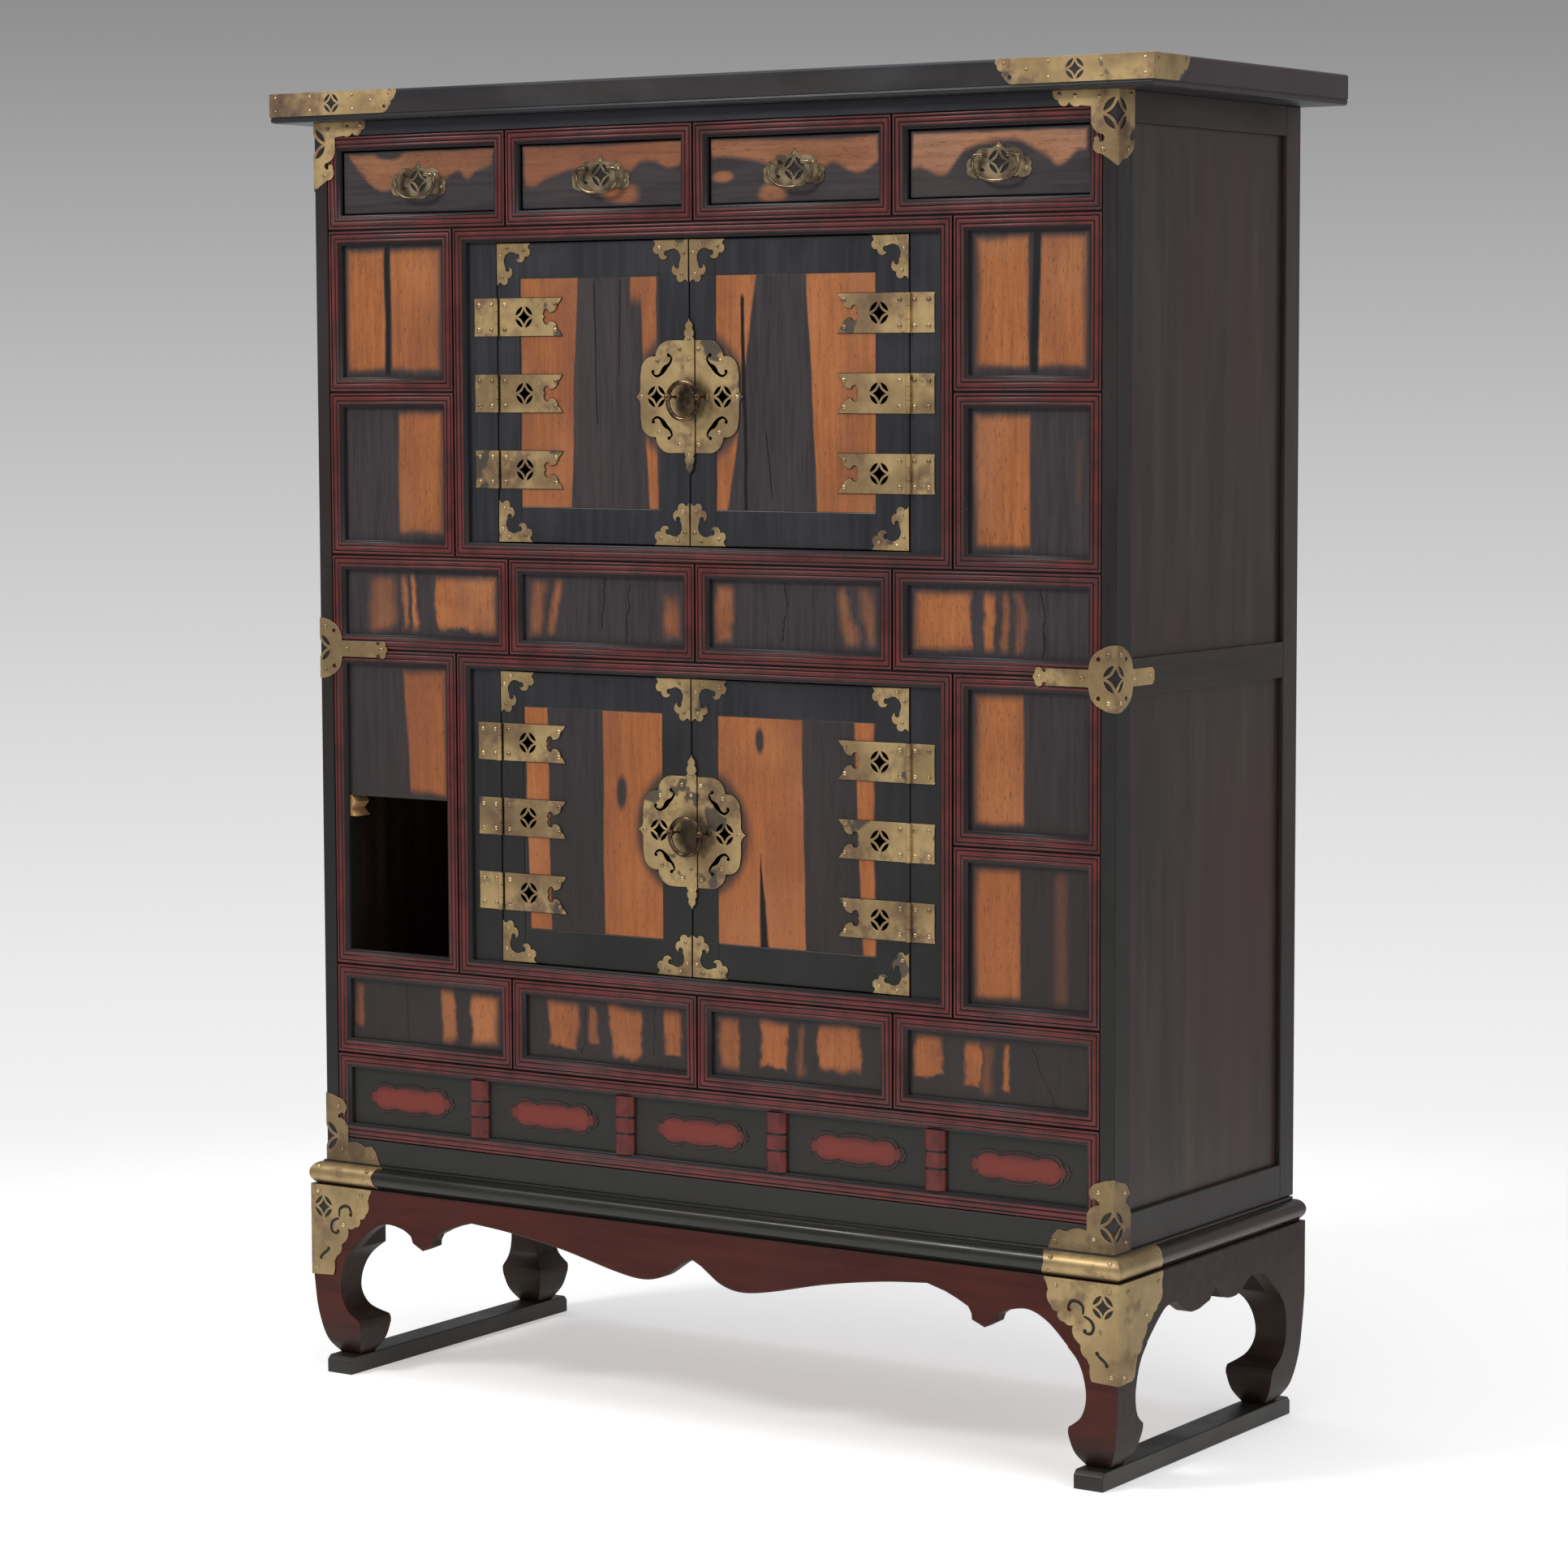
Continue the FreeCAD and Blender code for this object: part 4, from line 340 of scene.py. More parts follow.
def figured(name, low, high, bands, cracks=(), knots=(), vignette=0.011, wander=0.012, halo=None,
            grain="Z", hill=(), blobs=(), light=None):
    """Persimmon with its own bands of orange in black, between two corners of the front, in metres."""
    material, tree, where = new_material(name, 0.42)
    parts = axes(tree, where)
    width, height = high[0] - low[0], high[2] - low[2]
    across = calc(tree, "DIVIDE", minus(tree, parts["X"], low[0]), width)
    up = calc(tree, "DIVIDE", minus(tree, parts["Z"], low[2]), height)
    upright, small = grain == "Z", grain == "Z" and wander > 0.02
    drift = stretched(tree, where, (1.0, 1.0, 0.8 if small else 0.28) if upright else (0.3, 1.0, 1.0))
    bent = noise(tree, drift, 24.0, 3.0, 0.5)
    fine = noise(tree, drift, 130.0, 3.0, 0.6)
    push = plus(tree, times(tree, minus(tree, bent, 0.5), wander * 4.0),
                times(tree, minus(tree, fine, 0.5), wander))
    across_bent = plus(tree, across, times(tree, push, 1.0 if upright else 0.6))
    up_bent = plus(tree, up, times(tree, push, (4.0 if small else 1.0) if upright else width / height))
    mask = 0.0
    for values in bands:
        inputs = {"Across": across_bent, "Up": up_bent, **dict(zip(BAND_INPUTS, values))}
        made = add(tree, "ShaderNodeGroup", inputs, node_tree=band_group())
        mask = calc(tree, "MAXIMUM", mask, made.outputs["Mask"])
    if hill:
        mask = soft_step(tree, minus(tree, up_bent, hill_edge(tree, across_bent, hill)), -0.05, 0.07)
    for *centre, reach_x, reach_z, gain in blobs:
        far = far_from(tree, across_bent, up_bent, centre, reach_x, reach_z)
        if gain > 0:
            mask = calc(tree, "MAXIMUM", mask, soft_step(tree, far, 0.2, 1.7, 1.0, 0.0))
        else:
            mask = times(tree, mask, soft_step(tree, far, 0.4, 1.5))
    for *centre, reach in knots:
        far = far_from(tree, across_bent, up, centre, reach / width, reach * KNOT_STRETCH / height)
        mask = times(tree, mask, soft_step(tree, calc(tree, "SQRT", far), 0.55, 1.2))
    if vignette:
        rims = [times(tree, calc(tree, "MINIMUM", share, minus(tree, 1.0, share)), size)
                for share, size in ((across, width), (up, height))]
        rim = plus(tree, calc(tree, "MINIMUM", *rims), times(tree, minus(tree, bent, 0.5), 0.016))
        mask = times(tree, mask, soft_step(tree, rim, vignette * 0.1, vignette * 1.3))
    if halo:
        centre, reach = halo
        far = length(tree, moved(tree, where, "SUBTRACT", centre))
        behind = soft_step(tree, parts["Y"], low[1] + 0.002, low[1] + 0.003)
        ring = soft_step(tree, far, reach, reach + 0.014, 0.15, 1.0)
        mask = times(tree, mask, calc(tree, "MAXIMUM", ring, behind))
    light, dark = light or finish().sapwood, finish().heartwood
    streaks = noise(tree, stretched(tree, where, GRAIN[grain]), 210.0, 5.0, 0.65)
    cloud = noise(tree, drift, 11.0, 4.0, 0.6)
    orange = blend(tree, soft_step(tree, streaks, 0.3, 0.75), scaled(light, 1.12), scaled(light, 0.72))
    orange = over(tree, orange, tint(124, 70, 48), cloud, 0.40, 0.66, 0.0, 0.65)
    orange = over(tree, orange, tint(190, 128, 84), noise(tree, where, 6.0, 3.0), 0.45, 0.7, 0.0, 0.5)
    orange = over(tree, orange, tint(150, 84, 44), parts["Z"], *WARM_LEVELS, 0.35, 0.0)
    black = blend(tree, soft_step(tree, streaks, 0.3, 0.8), scaled(dark, 1.25), scaled(dark, 0.6))
    black = over(tree, black, tint(70, 54, 48), cloud, 0.5, 0.8, 0.0, 0.4)
    black = over(tree, black, tint(44, 37, 33), parts["Z"], *WARM_LEVELS, 0.7, 0.0)
    base = blend(tree, mask, black, orange)
    pores = noise(tree, stretched(tree, where, (1.0, 1.0, 0.14) if upright else (0.14, 1.0, 1.0)), 900.0, 2.0)
    base = over(tree, base, tint(62, 36, 27), pores, 0.58, 0.70, 0.0, 0.55)
    for crack in cracks:
        base = blend(tree, crack_mask(tree, across_bent, up, width, crack), base, tint(14, 12, 12))
    return finished(material, base, streaks, 0.25, 0.0005, soft_step(tree, cloud, 0.3, 0.8, 0.34, 0.52))


def ribbed_red(name):
    """Red on the ribs, and black where the moulding lies deep: painted shade in the grooves between them."""
    material, tree, where = new_material(name, 0.38)
    depth = axes(tree, where)["Y"]
    red = finish().moulding_red
    # painted shade: black by depth in the grooves and on the deep inner flat
    groove_shade_mask = soft_step(tree, depth, FRONT_Y + 0.35 * MM, FRONT_Y + 1.15 * MM)
    worn = noise(tree, where, 30.0, 5.0, 0.65)
    base = blend(tree, soft_step(tree, worn, 0.35, 0.7), scaled(red, 1.2), scaled(red, 0.62))
    base = over(tree, base, tint(70, 46, 45), noise(tree, where, 9.0), 0.45, 0.7, 0.0, 0.55)
    base = blend(tree, groove_shade_mask, base, tint(24, 18, 19))
    specks = noise(tree, where, 380.0, 2.0)
    base = over(tree, base, tint(140, 126, 116), specks, 0.72, 0.78, 0.0, 0.5)
    return finished(material, base, worn, 0.2, 0.0006)


def aged_brass(name):
    """Beaten sheet: clean brass in places, brown and purple patina in others, a painted shadow by each ring.
    """
    material, tree, where = new_material(name, 0.45, 0.8, 0.5)
    clean, dark = finish().brass, finish().patina
    cloud = noise(tree, where, 17.0, 6.0, 0.6)
    spots = noise(tree, where, 85.0, 4.0, 0.6)
    fine = noise(tree, where, 700.0, 3.0, 0.6)
    stain = plus(tree, times(tree, cloud, 0.75), times(tree, spots, 0.25))
    aged = soft_step(tree, stain, 0.48, 0.62)
    base = blend(tree, soft_step(tree, noise(tree, where, 12.0, 3.0), 0.4, 0.62), clean, tint(156, 130, 92))
    base = over(tree, base, scaled(clean, 0.72), spots, 0.35, 0.7, 0.0, 0.6)
    base = blend(tree, times(tree, aged, 0.85), base, dark)
    base = over(tree, base, tint(98, 74, 70), stain, 0.60, 0.70, 0.0, 0.7)
    slate = noise(tree, moved(tree, where, "ADD", (3.1, 7.7, 1.3)), 19.0, 3.0, 0.55)
    base = over(tree, base, tint(84, 80, 76), slate, 0.62, 0.655, 0.0, 0.85)
    base = over(tree, base, tint(84, 66, 50), fine, 0.66, 0.76, 0.0, 0.35)
    level = axes(tree, where)["Z"]
    base = over(tree, base, tint(138, 120, 86), level, CASE_FOOT + 0.004, CASE_FOOT + 0.01, 0.5, 0.0)
    foot = times(tree, soft_step(tree, level, CASE_FOOT - 0.001, CASE_FOOT + 0.002),
                soft_step(tree, level, CASE_FOOT + 0.13, CASE_FOOT + 0.16, 0.62, 0.0))
    base = blend(tree, foot, base, tint(92, 74, 58))
    # painted shadow of each lock ring on the brass round it, set a little right of and below the ring
    for tier in ("upper", "lower"):
        spot = moved(tree, where, "SUBTRACT", PIVOT[tier + "_ring_swing"])
        flat = moved(tree, spot, "MULTIPLY", (1.0, 0.0, 1.0))
        flat = moved(tree, flat, "SUBTRACT", (0.003, 0.0, -0.003))
        far = length(tree, flat)
        far = plus(tree, far, times(tree, spots, 0.02))
        base = over(tree, base, tint(44, 35, 29), far, 0.026, 0.042, 0.85, 0.0)
    rough = plus(tree, soft_step(tree, aged, 0.0, 1.0, 0.4, 0.55), times(tree, fine, 0.08))
    dents = plus(tree, noise(tree, where, 55.0, 2.0, 0.4), times(tree, fine, 0.06))
    return finished(material, base, dents, 0.2, 0.0008, rough)


def rubbed_metal(name, dull, bright, roughness):
    """Rings, bails and studs: brown brass rubbed bright where a hand holds it."""
    material, tree, where = new_material(name, roughness, 0.9, 0.5)
    rub = noise(tree, where, 60.0, 4.0, 0.6)
    base = blend(tree, soft_step(tree, rub, 0.38, 0.66), dull, bright)
    return finished(material, base, noise(tree, where, 240.0, 3.0), 0.15, 0.0004)


def bare_wood(name, shade, along="X"):
    material, tree, where = new_material(name, 0.7)
    streaks = noise(tree, stretched(tree, where, GRAIN[along]), 90.0, 6.0, 0.65)
    cloud = noise(tree, where, 4.0, 4.0, 0.6)
    base = blend(tree, soft_step(tree, streaks, 0.3, 0.75), scaled(shade, 1.25), scaled(shade, 0.6))
    base = over(tree, base, scaled(shade, 0.45), cloud, 0.4, 0.75, 0.0, 0.6)
    return finished(material, base, streaks, 0.3, 0.0006)


def side_board(name):
    """Dark varnished side panel with upright reddish and olive streaks."""
    material, tree, where = new_material(name, 0.34, specular=0.4)
    shade = finish().side_wood
    grain = stretched(tree, where, (1.0, 1.0, 0.09))
    streaks = noise(tree, grain, 42.0, 6.0, 0.62)
    cloud = noise(tree, stretched(tree, where, (1.0, 1.0, 0.3)), 7.0, 4.0, 0.6)
    base = blend(tree, soft_step(tree, streaks, 0.32, 0.72), scaled(shade, 0.7), scaled(shade, 1.5))
    base = over(tree, base, tint(66, 38, 34), cloud, 0.42, 0.7, 0.0, 0.7)
    base = over(tree, base, tint(70, 62, 44), noise(tree, grain, 24.0), 0.55, 0.75, 0.0, 0.5)
    return finished(material, base, streaks, 0.2, 0.0006, soft_step(tree, cloud, 0.3, 0.8, 0.26, 0.42))


def stand_finish(name):
    """Dark red on what looks forward, brown-black on the sides and under the edges."""
    material, tree, where = new_material(name, 0.46, specular=0.18)
    red = finish().stand_red
    facing = axes(tree, tree.nodes.new("ShaderNodeNewGeometry").outputs["Normal"])["Y"]
    front = soft_step(tree, times(tree, facing, -1.0), 0.55, 0.9)
    place = axes(tree, where)
    near = soft_step(tree, place["Y"], LEG_FRONT_Y + 0.02, LEG_FRONT_Y + 0.09, 1.0, 0.0)
    streaks = noise(tree, stretched(tree, where, (0.1, 1.0, 1.0)), 70.0, 5.0, 0.6)
    cloud = noise(tree, where, 10.0, 4.0, 0.6)
    coat = blend(tree, soft_step(tree, streaks, 0.35, 0.7), scaled(red, 1.2), scaled(red, 0.75))
    coat = over(tree, coat, tint(64, 34, 30), cloud, 0.45, 0.75, 0.0, 0.5)
    foot = soft_step(tree, place["Z"], LEG_FOOT + 0.008, LEG_FOOT + 0.05, 0.85, 0.0)
    coat = blend(tree, foot, coat, tint(40, 30, 28))
    plain = blend(tree, soft_step(tree, streaks, 0.35, 0.7), tint(47, 34, 27), tint(34, 25, 20))
    plain = over(tree, plain, tint(42, 25, 20), cloud, 0.45, 0.75, 0.0, 0.5)
    base = blend(tree, times(tree, front, near), plain, coat)
    return finished(material, base, streaks, 0.2, 0.0006)


# ---------------------------------------------------------------- mesh helpers
def bounds_of(points):
    return (Vector([min(p[i] for p in points) for i in range(3)]),
            Vector([max(p[i] for p in points) for i in range(3)]))


def loose_parts(work):
    """The separate solids of a bmesh, each as its list of faces."""
    left, parts = set(work.faces), []
    while left:
        queue, part = [left.pop()], []
        while queue:
            face = queue.pop()
            part.append(face)
            for edge in face.edges:
                for other in edge.link_faces:
                    if other in left:
                        left.discard(other)
                        queue.append(other)
        parts.append(part)
    return parts


def solid_of(node):
    """A merged copy of a node's mesh, with its flat facets joined."""
    work = bmesh.new()
    work.from_mesh(frame["nodes"][node].data)
    bmesh.ops.remove_doubles(work, verts=work.verts[:], dist=2e-6)
    bmesh.ops.dissolve_limit(work, angle_limit=0.01, verts=work.verts[:], edges=work.edges[:])
    return work


def part_boxes(node):
    """(low, high) of every separate solid of a node."""
    work = solid_of(node)
    boxes = [bounds_of([v.co for face in part for v in face.verts]) for part in loose_parts(work)]
    work.free()
    return boxes


def evaluated(thing):
    """The finished mesh of an object with its modifiers applied."""
    bpy.context.scene.collection.objects.link(thing)
    bpy.context.view_layer.update()
    depsgraph = bpy.context.evaluated_depsgraph_get()
    mesh = bpy.data.meshes.new_from_object(thing.evaluated_get(depsgraph))
    bpy.data.objects.remove(thing)
    return mesh


def piece(name, mesh, body, slot, nodes=(), angle=SHEET_ANGLE):
    """A finished piece at the origin, riding on its body; edges turned by more than the angle stay sharp."""
    for polygon in mesh.polygons:
        polygon.use_smooth = angle > 0
    mesh.set_sharp_from_angle(angle=math.radians(angle))
    thing = placed(name, mesh)
    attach(thing, body)
    if nodes:
        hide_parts(*nodes)
    return thing


def placed(name, data):
    """A new object, linked to the scene."""
    made = bpy.data.objects.new(name, data)
    bpy.context.scene.collection.objects.link(made)
    return made


def mesh_from(work, name, materials=()):
    """The mesh of a bmesh, which is freed."""
    mesh = bpy.data.meshes.new(name)
    work.to_mesh(mesh)
    work.free()
    for material in materials:
        mesh.materials.append(material)
    return mesh


def pour(target, work):
    """Adds a bmesh to another one and frees it."""
    mesh = mesh_from(work, "poured")
    target.from_mesh(mesh)
    bpy.data.meshes.remove(mesh)


def soften(thing, width, angle):
    """Rounds an object's edges that turn by more than an angle, in degrees."""
    bevel = thing.modifiers.new("soften", "BEVEL")
    bevel.width = width
    bevel.segments = 2
    bevel.limit_method = "ANGLE"
    bevel.angle_limit = math.radians(angle)


def piece_of(work, name, finish_name, body, slot, nodes=(), angle=SHEET_ANGLE):
    return piece(name, mesh_from(work, name, [coat(finish_name)]), body, slot, nodes, angle)


def dress(work, node, finish_name, angle=SHEET_ANGLE):
    """The piece that stands for a node."""
    return piece_of(work, "dressed_" + node, finish_name, BODY_OF[node], SLOT_OF[node], [node], angle)


def eased(node, choose, arris=None):
    """A node with softened arrises; choose is a finish's name, or gives each solid's from its corners."""
    work = solid_of(node)
    materials = []
    for part in loose_parts(work):
        corners = bounds_of([v.co for face in part for v in face.verts])
        material = coat(choose) if isinstance(choose, str) else choose(*corners)
        if material not in materials:
            materials.append(material)
        for face in part:
            face.material_index = materials.index(material)
    name = node + "_eased"
    thing = bpy.data.objects.new(name, mesh_from(work, name, materials))
    soften(thing, sizes().arris if arris is None else arris, 28)
    return piece("dressed_" + node, evaluated(thing), BODY_OF[node], SLOT_OF[node], [node])


def arc_between(start, through, end, turn):
    """Points of an arc after its start, one for each turn in degrees."""
    (ax, ay), (bx, by), (cx, cy) = start, through, end
    twice = 2 * (ax * (by - cy) + bx * (cy - ay) + cx * (ay - by))
    if abs(twice) < 1e-6:
        return [end]
    sa, sb, sc = ax * ax + ay * ay, bx * bx + by * by, cx * cx + cy * cy
    ux = (sa * (by - cy) + sb * (cy - ay) + sc * (ay - by)) / twice
    uy = (sa * (cx - bx) + sb * (ax - cx) + sc * (bx - ax)) / twice
    radius = math.hypot(ax - ux, ay - uy)
    first = math.atan2(ay - uy, ax - ux)
    sweep = (math.atan2(cy - uy, cx - ux) - first) % (2 * math.pi)
    if (math.atan2(by - uy, bx - ux) - first) % (2 * math.pi) > sweep:
        sweep -= 2 * math.pi
    count = max(2, math.ceil(abs(math.degrees(sweep)) / turn))
    return [(ux + radius * math.cos(first + sweep * k / count),
             uy + radius * math.sin(first + sweep * k / count))
            for k in range(1, count)] + [end]


def smooth_line(points, steps):
    """A rounded line through the points, after the first."""
    line = []
    for index in range(len(points) - 1):
        before, here = points[max(index - 1, 0)], points[index]
        there, after = points[index + 1], points[min(index + 2, len(points) - 1)]
        for k in range(1, steps + 1):
            t = k / steps
            line.append(tuple(0.5 * (2 * here[i] + (there[i] - before[i]) * t
                                     + (2 * before[i] - 5 * here[i] + 4 * there[i] - after[i]) * t * t
                                     + (3 * here[i] - before[i] - 3 * there[i] + after[i]) * t ** 3)
                              for i in range(2)))
    return line


def distinct(points):
    """The points without those that repeat the one before."""
    kept = [points[0]]
    for point in points[1:]:
        if math.dist(point, kept[-1]) > CLOSE:
            kept.append(point)
    return kept


def ring_of(points):
    """A closed outline's points without those that repeat their neighbour."""
    return [point for k, point in enumerate(points) if math.dist(point, points[k - 1]) > CLOSE]


def trace(steps, turn=14.0, steps_between=6):
    """Points of an outline. A step is a point, a (through, end) pair for an arc, or a list for a curve."""
    points = [steps[0]]
    for step in steps[1:]:
        if isinstance(step, list):
            points += smooth_line([points[-1]] + step, steps_between)
        elif isinstance(step[0], tuple):
            points += arc_between(points[-1], step[0], step[1], turn)
        else:
            points.append(step)
    return distinct(points)


def with_mirror(points, across=1, up=1):
    """An open outline and its mirror image, walked back."""
    kept = distinct(points + turned_points(points[::-1], across, up))
    if math.dist(kept[0], kept[-1]) < CLOSE:
        kept.pop()
    return kept


def cut_sheet(outline, holes=(), thickness=SHEET_MM, edge=None, grow=0.0):
    """A flat sheet in the XY plane, from z = 0 up, with holes cut and edges eased; sizes in millimetres."""
    edge = sizes().sheet_edge / MM if edge is None else edge
    askew = Matrix.Rotation(ASKEW, 3, "Z")
    data = bpy.data.curves.new("sheet", "CURVE")
    data.dimensions = "2D"
    data.fill_mode = "BOTH"
    for points in [outline] + list(holes):
        line = data.splines.new("POLY")
        line.points.add(len(points) - 1)
        for spot, (x, y) in zip(line.points, points):
            spot.co = (*(askew @ Vector((x, y, 0.0))), 1.0)
        line.use_cyclic_u = True
    data.offset = grow - edge
    data.bevel_depth = edge
    data.bevel_resolution = 0
    data.extrude = thickness / 2 - edge
    mesh = evaluated(bpy.data.objects.new("sheet", data))
    work = bmesh.new()
    work.from_mesh(mesh)
    bpy.data.meshes.remove(mesh)
    bpy.data.curves.remove(data)
    bmesh.ops.remove_doubles(work, verts=work.verts[:], dist=1e-4)
    bmesh.ops.recalc_face_normals(work, faces=work.faces[:])
    bmesh.ops.translate(work, verts=work.verts[:], vec=(0.0, 0.0, thickness / 2))
    bmesh.ops.rotate(work, verts=work.verts[:], matrix=askew.inverted())
    bmesh.ops.scale(work, verts=work.verts[:], vec=(MM, MM, MM))
    return work


def lay(target, sheet, place, flip=False, cuts=()):
    """Adds a sheet to a bmesh, with each point moved by place; cuts are lines across X to bend at."""
    copy = sheet.copy()
    for line in cuts:
        bmesh.ops.bisect_plane(copy, geom=copy.verts[:] + copy.edges[:] + copy.faces[:], dist=1e-7,
                               plane_co=(line, 0, 0), plane_no=(1, 0, 0))
    bmesh.ops.triangulate(copy, faces=copy.faces[:])
    for vert in copy.verts:
        vert.co = place(vert.co)
    if flip:
        bmesh.ops.reverse_faces(copy, faces=copy.faces[:])
    pour(target, copy)


def lay_front(target, sheet, x, z, y, way=1, up=1):
    """Adds a sheet on a plane that looks forward; way and up are -1 for its mirror images."""
    lay(target, sheet, lambda p: Vector((x + way * p.x, y - p.z, z + up * p.y)), way * up < 0)


FOLD = 1.0 * MM


def round_corner(x, z, y, way=1, up=1):
    """Bends a sheet round an upright front corner: x below 0 lies on the front, above 0 on the side."""
    half = FOLD * math.pi / 4

    def place(p):
        if p.x <= -half:
            along, out = x - FOLD + (p.x + half), y - p.z
        elif p.x >= half:
            along, out = x + p.z, y + FOLD + (p.x - half)
        else:
            turn = (p.x + half) / FOLD
            radius = FOLD + p.z
            along, out = x - FOLD + radius * math.sin(turn), y + FOLD - radius * math.cos(turn)
        return Vector((way * along, out, z + up * p.y))
    return place


FOLD_LINES = tuple(FOLD * math.pi / 4 * k for k in (-1.0, -0.5, 0.0, 0.5, 1.0))


def turns(sides):
    """Angles of equal steps once round."""
    return [2 * math.pi * k / sides for k in range(sides)]


def turned(target, profile, centre, axis, sides=20):
    """Adds a turned form: (radius, reach) pairs along an axis, in millimetres."""
    axis = Vector(axis).normalized()
    side = axis.orthogonal().normalized()
    other = axis.cross(side)
    rings = []
    for radius, reach in profile:
        middle = Vector(centre) + axis * reach * MM
        if radius < 1e-6:
            rings.append([target.verts.new(middle)])
            continue
        rings.append([target.verts.new(middle + (side * math.cos(a) + other * math.sin(a)) * radius * MM)
                      for a in turns(sides)])
    faces = []
    for first, second in zip(rings, rings[1:]):
        for k in range(sides):
            corners = [first[k % len(first)], first[(k + 1) % len(first)],
                       second[(k + 1) % len(second)], second[k % len(second)]]
            corners = [c for i, c in enumerate(corners) if c not in corners[:i]]
            if len(corners) > 2:
                faces.append(target.faces.new(corners))
    for ring in (rings[0], rings[-1]):
        if len(ring) > 2:
            faces.append(target.faces.new(ring))
    bmesh.ops.recalc_face_normals(target, faces=faces)


def ball(radius, reach, start):
    """Profile of a ball from a starting angle to its far pole."""
    angles = [math.radians(start + (90 - start) * k / BALL_ROWS) for k in range(BALL_ROWS + 1)]
    return [(max(radius * math.cos(a), 0.0), reach + radius * math.sin(a)) for a in angles]


def wire(target, path, radius, normal, closed=False):
    """Adds a round wire along a flat path of points in metres."""
    normal = Vector(normal).normalized()
    rings, count = [], len(path)
    for index, point in enumerate(path):
        before = path[index - 1] if closed or index else point
        after = path[(index + 1) % count] if closed or index < count - 1 else point
        ahead = (Vector(after) - Vector(before)).normalized()
        side = ahead.cross(normal)
        ring = [side * math.cos(a) + normal * math.sin(a) for a in turns(WIRE_SIDES)]
        rings.append([target.verts.new(Vector(point) + out * radius * MM) for out in ring])
    pairs = list(zip(rings, rings[1:])) + ([(rings[-1], rings[0])] if closed else [])
    faces = [target.faces.new((a[k], a[(k + 1) % WIRE_SIDES], b[(k + 1) % WIRE_SIDES], b[k]))
             for a, b in pairs for k in range(WIRE_SIDES)]
    if not closed:
        faces += [target.faces.new(rings[0]), target.faces.new(rings[-1])]
    bmesh.ops.recalc_face_normals(target, faces=faces)


def nail(body, place, facing=(0, -1, 0), size=1.0):
    """Notes a dome nail for the nail operator."""
    nails.setdefault(body, []).append((Vector(place), Vector(facing), size))


def nail_spots(body, x, z, spots, way=1, up=1, size=1.0, y=BRASS_Y):
    """Notes nails on the doors' brass at (across, up) places from a point, in millimetres."""
    for across, rise in spots:
        nail(body, (x + way * across * MM, y, z + up * rise * MM), size=size)


# ---------------------------------------------------------------- ornament, in millimetres
def coin(x, y, radius):
    """Four lens holes round a hollow-sided diamond."""
    def ray(share, degrees):
        turn = math.radians(degrees)
        return (x + radius * share * math.cos(turn), y + radius * share * math.sin(turn))
    holes, diamond = [], [ray(0.74, 0)]
    for diagonal in (45, 135, 225, 315):
        holes.append(trace([ray(1.0, diagonal - 37), (ray(1.0, diagonal), ray(1.0, diagonal + 37)),
                            (ray(0.62, diagonal), ray(1.0, diagonal - 37))], 12)[:-1])
        diamond = trace(diamond + [(ray(0.4, diagonal), ray(0.74, diagonal + 45))], 12)
    return holes + [diamond[:-1]]


def slot_along(points, width=2.2, dot=2.0, dots=(True, True), belly=0.0):
    """A slot that follows a line, with a round eye at either end."""
    line = [points[0]] + smooth_line(points, 7)
    lengths = [0.0]
    for first, second in zip(line, line[1:]):
        lengths.append(lengths[-1] + math.dist(first, second))
    total, left, right = lengths[-1], [], []
    for index, (x, y) in enumerate(line):
        before, after = line[max(index - 1, 0)], line[min(index + 1, len(line) - 1)]
        dx, dy = after[0] - before[0], after[1] - before[1]
        size = math.hypot(dx, dy)
        bulge = math.sin(math.pi * lengths[index] / total)
        half = width / 2 * (0.75 + 0.5 * bulge + belly * bulge ** 12)
        for reach, wanted in ((lengths[index], dots[0]), (total - lengths[index], dots[1])):
            if wanted and reach < 2 * dot:
                half = max(half, math.sqrt(max(dot ** 2 - (reach - dot) ** 2, 0.04)))
            elif not wanted:
                half = min(half, 0.25 + reach * 0.5)
        left.append((x - dy / size * half, y + dx / size * half))
        right.append((x + dy / size * half, y - dx / size * half))
    return left + right[::-1]


def turned_points(points, way, up):
    return [(way * x, up * y) for x, y in points]


def unfolded(front, side):
    """One outline from a front part and a side part, both measured from the fold: inwards, down."""
    return ring_of(turned_points(trace(front), -1, -1) + turned_points(trace(side)[::-1], 1, -1))


def unfolded_both(front, side):
    """One outline from the upper halves of a front part and a side part, each from the fold outwards."""
    front, side = trace(front), trace(side)
    return ring_of(turned_points(front[::-1], -1, -1) + turned_points(side, 1, -1) + side[::-1]
                   + turned_points(front, -1, 1))


def disc(x, y, radius):
    return [(x + radius * math.cos(a), y + radius * math.sin(a))
            for a in turns(DISC_SIDES)]


def ground_sheet(outline, grow=0.0):
    """Thin dark sheet under a brass one, grown past it to stand for its shadow."""
    return cut_sheet(outline, [], 0.14, 0.02, grow)


def backing(x, y, radius):
    """Dark ground behind a pierced place."""
    return ground_sheet(disc(x, y, radius))


def mitred(target, profile, corners, place):
    """A closed profile swept round mitred corners; place(corner, point) gives each point."""
    rings = [[target.verts.new(place(corner, point)) for point in profile] for corner in corners]
    faces = []
    for first, second in zip(rings, rings[1:] + rings[:1]):
        for k in range(len(profile)):
            after = (k + 1) % len(profile)
            faces.append(target.faces.new((first[k], first[after], second[after], second[k])))
    bmesh.ops.recalc_face_normals(target, faces=faces)


